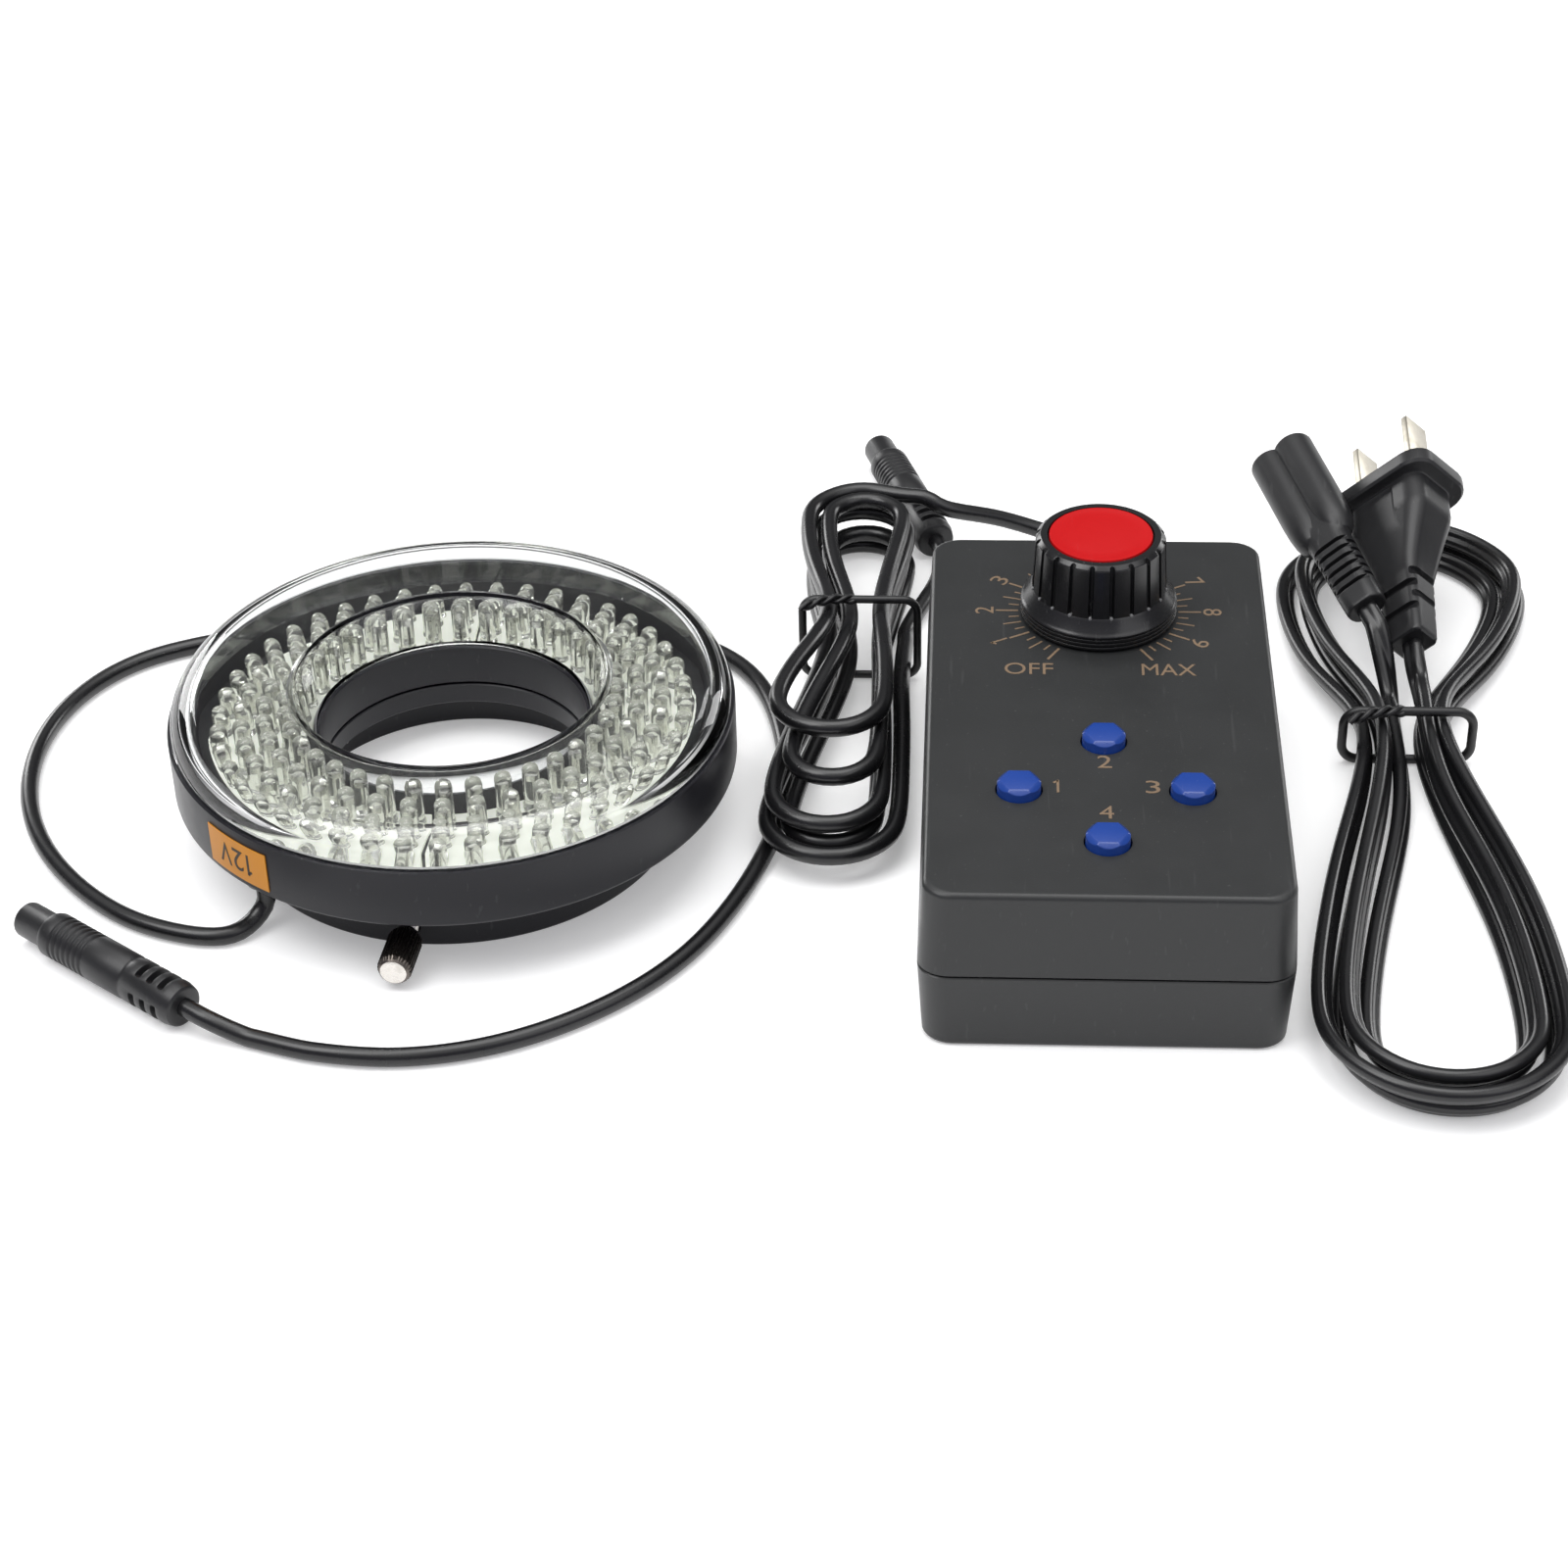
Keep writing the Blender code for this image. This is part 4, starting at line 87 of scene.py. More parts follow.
class RingSizes(bpy.types.PropertyGroup):
    housing_radius: length("Housing radius", "Outside of the housing", 0.052)
    housing_base: length("Housing base", "Height of the housing's underside", HOUSING_BOX[0].z)
    housing_top: length("Housing top", "Height of the housing's rim", HOUSING_BOX[1].z)
    housing_wall: length("Housing wall", "Thickness of the outer wall", 0.0018)
    housing_floor: length("Housing floor", "Thickness of the floor", 0.0022)
    bore_radius: length("Bore radius", "Inside of the bore tube", 0.0246)
    tube_wall: length("Bore tube wall", "Thickness of the bore tube", 0.0016)
    tube_rise: length("Bore tube rise", "Height of the bore tube over the underside", 0.0082)
    collar_radius: length("Collar radius", "Outside of the mount collar", 0.041)
    collar_height: length("Collar height", "Height of the mount collar", 0.0123)
    recess_radius: length("Recess radius", "Recess that slips over the microscope", 0.0305)
    recess_depth: length("Recess depth", "Depth of that recess", 0.0081)
    edge: length("Edge", "Radius of the turned edges", 0.0008)
    cover_radius: length("Cover radius", "Outside of the clear cover", 0.05135)
    cover_top: length("Cover top", "Height of the clear cover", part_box("clear_cover")[1].z)
    cover_round: length("Cover round", "Radius of the cover's shoulder", 0.0057)
    cover_wall: length("Cover wall", "Thickness of the clear cover", 0.0014)
    cover_hole: length("Cover hole", "Radius of the hole at its top", 0.0285)
    lamp_radius: length("Lamp radius", "Radius of one lamp", 0.0016)
    inner_row: length("Inner row", "Radius of the inner row of lamps", 0.0306)
    outer_row: length("Outer row", "Radius of the outer row of lamps", 0.043)
    holder_top: length("Holder top", "Height of the lamp holders", 0.0182)
    inner_tip: length("Inner tips", "Height of the inner row's tips", 0.0276)
    outer_tip: length("Outer tips", "Height of the outer row's tips", 0.0242)
    screw_height: length("Thumbscrew height", "Height of the thumbscrew axes", 0.0043)
    screw_head: length("Thumbscrew head", "Radius of the knurled heads", 0.0031)
    knurls: IntProperty(name="Knurls", description="Ridges round a thumbscrew head", default=30)


class BoxSizes(bpy.types.PropertyGroup):
    width: length("Width", "Width at the seam", 0.0637)
    depth: length("Length", "Length at the seam", 0.1154)
    height: length("Height", "Height of the box", 0.0321)
    seam: length("Seam height", "Height of the seam between the shells", 0.0154)
    draft: length("Draft", "How far each shell narrows away from the seam", 0.00078)
    wall: length("Wall", "Thickness of the shells", 0.0022)
    corner: length("Corner radius", "Radius of the upright corners", 0.0045)
    edge: length("Edge radius", "Radius of the top and bottom edges", 0.0011)
    post_inset: length("Post inset", "Screw posts from the outside", 0.0051)
    knob_y: length("Knob place", "Knob axis from the middle of the box", 0.031)
    knob_radius: length("Knob radius", "Radius of the fluted grip at its top", 0.0119)
    knob_foot: length("Knob foot", "Radius of the fluted grip at its foot", 0.0124)
    knob_skirt: length("Knob skirt", "Radius of the skirt", 0.0144)
    knob_flutes: IntProperty(name="Knob flutes", description="Grooves round the grip", default=20)
    cap_radius: length("Cap radius", "Radius of the red cap", 0.0095)
    button_radius: length("Button radius", "Radius of a zone button", 0.0038)
    button_pitch: length("Button pitch", "Buttons from their common middle", 0.0149)
    button_y: length("Button middle", "Common middle of the buttons", -0.0264)
    dial_radius: length("Dial radius", "Ends of the long ticks", 0.019)
    numeral_radius: length("Numeral radius", "Middle of the dial's numerals", 0.0211)
    print_height: length("Print thickness", "Thickness of the printed ink", 0.00004)


class CordSizes(bpy.types.PropertyGroup):
    round_radius: length("Round cord radius", "Radius of the low-voltage cords", 0.0017)
    twin_width: length("Twin cord width", "Width of the flat mains cord", 0.0044)
    twin_height: length("Twin cord height", "Thickness of the flat mains cord", 0.0027)
    twin_lean: rotation("Twin cord lean", "How far the flat cord leans on edge in its hank", 50)
    floor_gap: length("Floor gap", "Air between a cord and the floor", 0.00004)
    step: length("Cord step", "Spacing of the points of a cord", 0.0016)


class Finishes(bpy.types.PropertyGroup):
    housing: colour("Housing", "Satin black of the ring head", (0.008, 0.008, 0.011))
    case: colour("Control box", "Charcoal of the control box", (0.02, 0.0208, 0.0212))
    knob: colour("Knob", "Black of the knob", (0.008, 0.008, 0.0088))
    cap: colour("Knob cap", "Red of the knob's cap", (0.43, 0.0028, 0.0042))
    button: colour("Buttons", "Blue of the zone buttons", (0.01, 0.042, 0.23))
    ink: colour("Print", "Copper ink of the dial", (0.15, 0.1, 0.06))
    label: colour("Label", "Orange of the voltage label", (0.54, 0.21, 0.008))
    cord: colour("Cords", "Black of the cords", (0.0065, 0.0065, 0.0072))
    plug: colour("Plugs", "Black of the plugs", (0.012, 0.012, 0.013))
    floor: colour("Floor", "Pale floor", (0.8, 0.8, 0.8))


class StageSettings(bpy.types.PropertyGroup):
    lens: FloatProperty(
        name="Lens", description="Focal length on a 36 mm sensor, in millimetres", default=77.48
    )
    camera_at: FloatVectorProperty(
        name="Camera place", description="Where the camera stands", subtype="XYZ", size=3,
        default=(0.0463, -0.5051, 0.3693),
    )
    pitch: rotation("Pitch", "Camera below the horizon", 35.31)
    heading: rotation("Heading", "Camera turned from +Y to -X", 3.904)
    roll: rotation("Roll", "Camera rolled clockwise", 1.52)


# Modelling


def select_only(*objects):
    bpy.ops.object.select_all(action="DESELECT")
    for obj in objects:
        obj.select_set(True)
    bpy.context.view_layer.objects.active = objects[0]


def new_piece(name):
    """Names the primitive that was just added, and opens it in edit mode."""
    obj = bpy.context.object
    obj.name = name
    obj.data.name = name
    bpy.ops.object.mode_set(mode="EDIT")
    bpy.ops.mesh.select_mode(type="VERT")
    return obj


def circle_start(name, radius, sides, at=(0, 0, 0)):
    bpy.ops.object.select_all(action="DESELECT")
    bpy.ops.mesh.primitive_circle_add(
        vertices=sides, radius=radius, fill_type="NOTHING", location=at
    )
    return new_piece(name)


def plate_start(name, width, depth, corner, steps, at=(0, 0, 0)):
    """The outline of a rectangle with round corners."""
    bpy.ops.object.select_all(action="DESELECT")
    bpy.ops.mesh.primitive_plane_add(size=1, location=at)
    obj = new_piece(name)
    bpy.ops.transform.resize(value=(width, depth, 1), center_override=at)
    bpy.ops.mesh.bevel(offset=corner, segments=steps, affect="VERTICES")
    bpy.ops.mesh.delete(type="ONLY_FACE")
    bpy.ops.mesh.select_all(action="SELECT")
    return obj


def grow(sections, at=(0, 0, 0)):
    """Extrudes the selected ring through sections, each a width, a depth and a height."""
    width, depth, height = sections[0]
    for new_width, new_depth, new_height in sections[1:]:
        rise = (0, 0, new_height - height)
        bpy.ops.mesh.extrude_region_move(TRANSFORM_OT_translate={"value": rise})
        if new_width == 0:
            bpy.ops.mesh.merge(type="CENTER")
            return
        ratio = (new_width / width, new_depth / depth, 1)
        bpy.ops.transform.resize(value=ratio, center_override=(at[0], at[1], new_height))
        width, depth, height = new_width, new_depth, new_height


def finish_edit(obj, caps=True):
    """Welds, closes and turns the faces outwards, and leaves edit mode."""
    bpy.ops.mesh.select_all(action="SELECT")
    bpy.ops.mesh.remove_doubles(threshold=MERGE)
    if caps:
        bpy.ops.mesh.fill_holes(sides=0)
    bpy.ops.mesh.select_all(action="SELECT")
    bpy.ops.mesh.normals_make_consistent(inside=False)
    bpy.ops.object.mode_set(mode="OBJECT")
    return settled(obj)


def moved(place):
    return Matrix.Translation(place)


def turned(angle, axis="Z"):
    return Matrix.Rotation(angle, 4, axis)


def settled(obj, matrix=None):
    """Puts a piece's place into its mesh."""
    if matrix is not None:
        obj.matrix_world = matrix @ obj.matrix_world
    select_only(obj)
    bpy.ops.object.transform_apply(location=True, rotation=True, scale=True)
    return obj


def lathe(name, profile, sides, at=(0, 0, 0), closed=False):
    """A circle drawn up through rings, each a radius and a height. Closed, it ends on the first."""
    rings = list(profile) + ([profile[0]] if closed else [])
    obj = circle_start(name, rings[0][0], sides, (at[0], at[1], rings[0][1]))
    grow([(radius, radius, height) for radius, height in rings], at)
    return finish_edit(obj, caps=not closed)


def modified(obj, kind, **settings):
    select_only(obj)
    bpy.ops.object.modifier_add(type=kind)
    modifier = obj.modifiers[-1]
    for key, value in settings.items():
        setattr(modifier, key, value)
    bpy.ops.object.modifier_apply(modifier=modifier.name)
    return obj


def softened(obj, width, segments=2, angle=radians(40)):
    limits = {"limit_method": "ANGLE", "angle_limit": angle}
    return modified(obj, "BEVEL", width=width, segments=segments, **limits)


def combined(obj, others, operation="DIFFERENCE"):
    """Cuts closed shapes from a piece, or fuses them to it, and takes them away."""
    for other in others:
        modified(obj, "BOOLEAN", object=other, operation=operation, solver="EXACT")
        bpy.data.objects.remove(other)
    return obj


def shaded(obj, angle=radians(35), flats=False):
    """Smooth shading up to an angle. With flats, the large flat faces stay flat to their edges."""
    select_only(obj)
    bpy.ops.object.shade_smooth_by_angle(angle=angle)
    if flats:
        modified(obj, "WEIGHTED_NORMAL", keep_sharp=True, weight=80)
    return obj


def copied(obj, matrix):
    twin = obj.copy()
    twin.data = obj.data.copy()
    twin.data.transform(matrix)
    bpy.context.scene.collection.objects.link(twin)
    return twin


def joined(name, objects):
    select_only(*objects)
    bpy.ops.object.join()
    objects[0].name = name
    return objects[0]


def block(name, size, at=(0, 0, 0), edge=0.0, segments=2):
    """A block shaped from a cube, with its edges rounded."""
    bpy.ops.object.select_all(action="DESELECT")
    bpy.ops.mesh.primitive_cube_add(size=1, location=at)
    obj = new_piece(name)
    bpy.ops.transform.resize(value=size, center_override=at)
    if edge:
        bpy.ops.mesh.bevel(offset=edge, segments=segments, affect="EDGES")
    return finish_edit(obj, caps=False)


def bar(name, radius, low, high, sides=24, at=(0, 0)):
    return lathe(name, [(radius, low), (radius, high)], sides, (*at, 0))


def written(name, text, width, height, thickness, at, turn=0.0):
    """Printed words as thin solids, this wide and this tall about a place."""
    if text == "1":
        stroke = height * 0.12
        stem = block(name, (stroke, height, thickness), (width * 0.15, 0, 0))
        flag = block(name, (width * 0.75, stroke, thickness))
        lean = moved((-width * 0.1, height * 0.36, 0)) @ turned(radians(38))
        settled(flag, lean)
        return settled(joined(name, [stem, flag]), moved(at) @ turned(turn))
    bpy.ops.object.select_all(action="DESELECT")
    bpy.ops.object.text_add(location=(0, 0, 0))
    obj = bpy.context.object
    obj.name = name
    obj.data.body = text
    obj.data.extrude = thickness / 2
    obj.data.resolution_u = 4
    bpy.ops.object.convert(target="MESH")
    low = Vector([min(v.co[i] for v in obj.data.vertices) for i in range(3)])
    high = Vector([max(v.co[i] for v in obj.data.vertices) for i in range(3)])
    centre = (low + high) / 2
    size = high - low
    shrink = Matrix.Diagonal((width / size.x, height / size.y, 1, 1))
    obj.data.transform(shrink @ moved((-centre.x, -centre.y, 0)))
    return settled(obj, moved(at) @ turned(turn))


def arc(centre, radius, start, end, steps):
    points = []
    for step in range(steps + 1):
        angle = radians(start + (end - start) * step / steps)
        points.append((centre[0] + radius * cos(angle), centre[1] + radius * sin(angle)))
    return points


def polar(radius, angle, height=0.0):
    return Vector((radius * cos(angle), radius * sin(angle), height))


def fitted(obj, body, slot, made_of, *nodes):
    """Gives a piece its finish by name and its body, and lets it stand for its CAD nodes."""
    obj.data.materials.clear()
    obj.data.materials.append(finish(made_of))
    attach(obj, body)
    if nodes:
        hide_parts(*nodes)
    return obj


def placed(model, matrix, name, *fit):
    """A named copy of a model at its place, fitted there."""
    twin = copied(model, matrix)
    twin.name = name
    return fitted(twin, *fit)


def discard(*objects):
    for obj in objects:
        bpy.data.objects.remove(obj)


def made_mesh(curve):
    select_only(curve)
    bpy.ops.object.convert(target="MESH")
    return curve


# Finishes

COLOUR_SOCKET = "NodeSocketColor"
NUMBER_SOCKET = "NodeSocketFloat"


def node_group(name, inputs):
    """A new group, its input values by name and its place on the object."""
    tree = bpy.data.node_groups.new(name, "ShaderNodeTree")
    for label, value in inputs.items():
        kind = COLOUR_SOCKET if isinstance(value, tuple) else NUMBER_SOCKET
        made = tree.interface.new_socket(name=label, in_out="INPUT", socket_type=kind)
        made.default_value = value
    results = {"Color": COLOUR_SOCKET, "Roughness": NUMBER_SOCKET, "Height": NUMBER_SOCKET}
    for label, kind in results.items():
        tree.interface.new_socket(name=label, in_out="OUTPUT", socket_type=kind)
    given = tree.nodes.new("NodeGroupInput").outputs
    return tree, given, node(tree, "ShaderNodeTexCoord").outputs["Object"]


def put_out(tree, **results):
    """Links a group's results to its outputs."""
    out = tree.nodes.new("NodeGroupOutput")
    for label, socket in results.items():
        tree.links.new(socket, out.inputs[label])


def node(tree, kind, **settings):
    made = tree.nodes.new(kind)
    for key, value in settings.items():
        setattr(made, key, value)
    return made


def mix_colour(tree, factor, first, second, blend="MIX"):
    mix = node(tree, "ShaderNodeMix", data_type="RGBA", blend_type=blend)
    for index, source in ((0, factor), (6, first), (7, second)):
        socket = mix.inputs[index]
        if isinstance(source, bpy.types.NodeSocket):
            tree.links.new(source, socket)
        else:
            socket.default_value = source
    return mix.outputs[2]


def maths(tree, operation, first, second, third=None, clamp=False):
    made = node(tree, "ShaderNodeMath", operation=operation, use_clamp=clamp)
    for socket, source in zip(made.inputs, (first, second, third)):
        if isinstance(source, bpy.types.NodeSocket):
            tree.links.new(source, socket)
        elif source is not None:
            socket.default_value = source
    return made.outputs[0]


def noise(tree, coordinates, scale, detail=3.0, roughness=0.55):
    made = node(tree, "ShaderNodeTexNoise")
    tree.links.new(coordinates, made.inputs["Vector"])
    made.inputs["Detail"].default_value = detail
    made.inputs["Roughness"].default_value = roughness
    if isinstance(scale, bpy.types.NodeSocket):
        tree.links.new(scale, made.inputs["Scale"])
    else:
        made.inputs["Scale"].default_value = scale
    return made.outputs["Fac"]


def window(tree, value, low, high):
    """A smooth step from 0 at low to 1 at high."""
    made = node(tree, "ShaderNodeMapRange", interpolation_type="SMOOTHSTEP")
    tree.links.new(value, made.inputs["Value"])
    made.inputs["From Min"].default_value = low
    made.inputs["From Max"].default_value = high
    return made.outputs["Result"]


def moulded_group():
    """Moulded plastic: grain, mottling, fine scuffs and dust on what faces up."""
    inputs = {"Color": (0.02, 0.02, 0.02, 1), "Roughness": 0.4, "Grain Scale": 2500.0, "Grain": 1.0}
    inputs |= {"Mottle": 0.3, "Scuffs": 0.2, "Dust": 0.2}
    tree, value, place = node_group("Moulded plastic", inputs)
    grain = noise(tree, place, value["Grain Scale"], 5, 0.62)
    cloud = noise(tree, place, 70, 4)
    stretched = node(tree, "ShaderNodeMapping")
    stretched.inputs["Scale"].default_value = (900, 60, 300)
    stretched.inputs["Rotation"].default_value = (0.3, 0.2, 0.7)
    tree.links.new(place, stretched.inputs["Vector"])
    scratch = window(tree, noise(tree, stretched.outputs[0], 1, 2), 0.66, 0.74)
    scuff = maths(tree, "MULTIPLY", scratch, value["Scuffs"])
    up = node(tree, "ShaderNodeSeparateXYZ")
    tree.links.new(node(tree, "ShaderNodeNewGeometry").outputs["Normal"], up.inputs[0])
    facing = window(tree, up.outputs["Z"], 0.2, 0.9)
    specks = window(tree, noise(tree, place, 1400, 2), 0.68, 0.76)
    dust = maths(tree, "MULTIPLY", maths(tree, "MULTIPLY", specks, facing), value["Dust"])
    mottled = maths(tree, "MULTIPLY", cloud, value["Mottle"])
    shade = mix_colour(tree, mottled, value["Color"], (1.6, 1.6, 1.6, 1), "MULTIPLY")
    shade = mix_colour(tree, maths(tree, "MULTIPLY", scuff, 0.08), shade, (0.5, 0.5, 0.5, 1))
    shade = mix_colour(tree, maths(tree, "MULTIPLY", dust, 0.3), shade, (0.55, 0.54, 0.52, 1))
    uneven = maths(tree, "SUBTRACT", cloud, 0.5)
    rough = maths(tree, "MULTIPLY_ADD", uneven, 0.22, value["Roughness"])
    worn = maths(tree, "MULTIPLY", maths(tree, "ADD", scuff, dust), 0.25)
    rough = maths(tree, "ADD", rough, worn, clamp=True)
    raised = maths(tree, "MULTIPLY", grain, value["Grain"])
    height = maths(tree, "SUBTRACT", raised, maths(tree, "MULTIPLY", scuff, 0.3))
    put_out(tree, Color=shade, Roughness=rough, Height=height)


def metal_group():
    """Worked metal: fine tool lines and tarnish."""
    inputs = {"Color": (0.6, 0.6, 0.6, 1), "Tarnish Color": (0.3, 0.27, 0.22, 1), "Roughness": 0.3}
    tree, value, place = node_group("Worked metal", inputs | {"Lines": 0.5, "Tarnish": 0.3})
    stretched = node(tree, "ShaderNodeMapping")
    stretched.inputs["Scale"].default_value = (600, 4000, 4000)
    tree.links.new(place, stretched.inputs["Vector"])
    lines = noise(tree, stretched.outputs[0], 1, 4)
    stain = window(tree, noise(tree, place, 420, 5), 0.45, 0.75)
    tarnish = maths(tree, "MULTIPLY", stain, value["Tarnish"])
    shade = mix_colour(tree, tarnish, value["Color"], value["Tarnish Color"])
    uneven = maths(tree, "SUBTRACT", lines, 0.5)
    rough = maths(tree, "MULTIPLY_ADD", uneven, 0.3, value["Roughness"])
    rough = maths(tree, "ADD", rough, maths(tree, "MULTIPLY", tarnish, 0.3), clamp=True)
    height = maths(tree, "MULTIPLY", lines, value["Lines"])
    put_out(tree, Color=shade, Roughness=rough, Height=height)


def clear_group():
    """Clear plastic: faint haze as colour and roughness, and a ripple as height."""
    inputs = {"Color": (1, 1, 1, 1), "Roughness": 0.03, "Haze": 0.3, "Ripple": 0.3}
    tree, value, place = node_group("Clear plastic", inputs)
    cloud = noise(tree, place, 120, 3)
    haze = maths(tree, "MULTIPLY", window(tree, cloud, 0.5, 0.8), value["Haze"])
    faint = maths(tree, "MULTIPLY", haze, 0.3)
    put_out(
        tree,
        Color=mix_colour(tree, faint, value["Color"], (0.9, 0.9, 0.88, 1)),
        Roughness=maths(tree, "MULTIPLY_ADD", haze, 0.12, value["Roughness"]),
        Height=maths(tree, "MULTIPLY", cloud, value["Ripple"]),
    )


def make_material(name, group, bump, inputs, **shader_values):
    """A material from a shared group, with its own values, and constants set on the shader."""
    made = bpy.data.materials.new(name)
    made.use_nodes = True
    tree = made.node_tree
    shader = tree.nodes["Principled BSDF"]
    source = node(tree, "ShaderNodeGroup", node_tree=bpy.data.node_groups[group])
    for label, value in inputs.items():
        source.inputs[label].default_value = (*value, 1) if hasattr(value, "__len__") else value
    tree.links.new(source.outputs["Color"], shader.inputs["Base Color"])
    tree.links.new(source.outputs["Roughness"], shader.inputs["Roughness"])
    relief = node(tree, "ShaderNodeBump")
    relief.inputs["Distance"].default_value = bump
    tree.links.new(source.outputs["Height"], relief.inputs["Height"])
    tree.links.new(relief.outputs["Normal"], shader.inputs["Normal"])
    for label, value in shader_values.items():
        shader.inputs[label.replace("_", " ")].default_value = value
    return made


def plastic(
    name, shade, roughness, grain=2600.0, depth=0.00002, mottle=0.25, scuffs=0.3, dust=0.3, **more
):
    values = {"Color": shade, "Roughness": roughness, "Grain Scale": grain, "Grain": 1.0}
    values |= {"Mottle": mottle, "Scuffs": scuffs, "Dust": dust}
    return make_material(name, "Moulded plastic", depth, values, **more)


def metal(name, shade, tarnish, roughness, lines=0.5, amount=0.3, depth=0.00001, **more):
    values = {"Color": shade, "Tarnish Color": tarnish, "Roughness": roughness}
    values |= {"Lines": lines, "Tarnish": amount}
    return make_material(name, "Worked metal", depth, values, Metallic=1.0, **more)


def clear(name, shade, roughness, haze, ripple, depth=0.00002, **more):
    values = {"Color": shade, "Roughness": roughness, "Haze": haze, "Ripple": ripple}
    return make_material(name, "Clear plastic", depth, values, **more)


def finish(name):
    return bpy.data.materials[name]


class RINGLIGHT_OT_finishes(bpy.types.Operator):
    """Makes every material of the ring light"""

    bl_idname = "ringlight.finishes"
    bl_label = "Finishes"

    def execute(self, context):
        shades = context.scene.ringlight_finishes
        moulded_group()
        metal_group()
        clear_group()
        for name, *look, shine in (
            ("Housing satin black", shades.housing, 0.36, 1900, 0.000012, 0.32),
            ("Charcoal grain", shades.case, 0.36, 3300, 0.000022, 0.3, 0.2, 0.2, 0.38),
            ("Knob black", shades.knob, 0.24, 2200, 0.00001, 0.2, 0.25, 0.2, 0.55),
            ("Cap red", shades.cap, 0.36, 2400, 0.000006, 0.12, 0.15, 0.05, 0.25),
            ("Button blue", shades.button, 0.22, 2400, 0.000008, 0.25, 0.3, 0.1, 0.5),
            ("Cord black", shades.cord, 0.27, 900, 0.000002, 0.2, 0.0, 0.02, 0.5),
            ("Plug black", shades.plug, 0.38, 2600, 0.000014, 0.25, 0.3, 0.12, 0.42),
        ):
            plastic(name, *look, Specular_IOR_Level=shine)
        # A pale grey for painted highlights: the glints at the feet of the knob's grooves.
        plastic("Painted glint grey", (0.2, 0.2, 0.205), 0.3, 2200, 0.00001)
        plastic("Copper print", shades.ink, 0.55, 6000, 0.00001, 0.5, 0.6, 0.0)
        plastic("Label orange", shades.label, 0.42, 1500, 0.00001, 0.15, 0.3, 0.1)
        plastic("Label ink", (0.03, 0.02, 0.012), 0.5, 3000, 0.00001)
        plastic("Tie black", shades.cord, 0.4, 2600, 0.00003)
        plastic("Inlet black", (0.02, 0.02, 0.021), 0.4, 2400, 0.00002)
        plastic("Switch black", (0.03, 0.03, 0.034), 0.45, 2400, 0.00002)
        # The holders' white glows by emission: painted light that stands in for the light the clear
        # cover keeps from them.
        plastic(
            "Holder white", (0.88, 0.9, 0.83), 0.35, 1500, 0.00002, 0.3, 0.1, 0.0,
            Emission_Color=(0.9, 0.93, 0.8, 1), Emission_Strength=0.3,
        )
        plastic("Lamp board black", (0.012, 0.012, 0.013), 0.4, 1200, 0.00002, 0.4, 0.3, 0.1)
        plastic(
            "Board green", (0.012, 0.1, 0.035), 0.35, 1200, 0.00003, 0.5, 0.4, 0.1, Coat_Weight=0.3
        )
        plastic("Capacitor sleeve", (0.016, 0.025, 0.14), 0.3, 2000, 0.00001)
        plastic("Contact insert", (0.05, 0.05, 0.052), 0.42, 2200, 0.00002)
        metal("Nickel", (0.72, 0.69, 0.65), (0.4, 0.36, 0.3), 0.26)
        metal("Black nickel", (0.16, 0.14, 0.125), (0.06, 0.05, 0.045), 0.3, 0.6, 0.5)
        metal("Screw steel", (0.58, 0.58, 0.57), (0.3, 0.28, 0.25), 0.32)
        metal("Blade metal", (0.5, 0.47, 0.4), (0.34, 0.3, 0.22), 0.36, 0.5, 0.3, 0.000002)
        metal("Transformer core", (0.3, 0.29, 0.28), (0.16, 0.12, 0.09), 0.5, 1.0, 0.6)
        metal("Lead frame", (0.86, 0.86, 0.82), (0.5, 0.48, 0.4), 0.22)
        clear(
            "Clear cover", (0.975, 0.985, 0.98), 0.015, 0.25, 0.15,
            IOR=1.49, Transmission_Weight=1.0,
        )
        clear("Lamp clear", (0.985, 0.99, 0.955), 0.03, 0.3, 0.4, IOR=1.5, Transmission_Weight=0.9)
        return {"FINISHED"}


# Stage

LIGHTS_AIM = Vector((0.02, 0, 0.02))


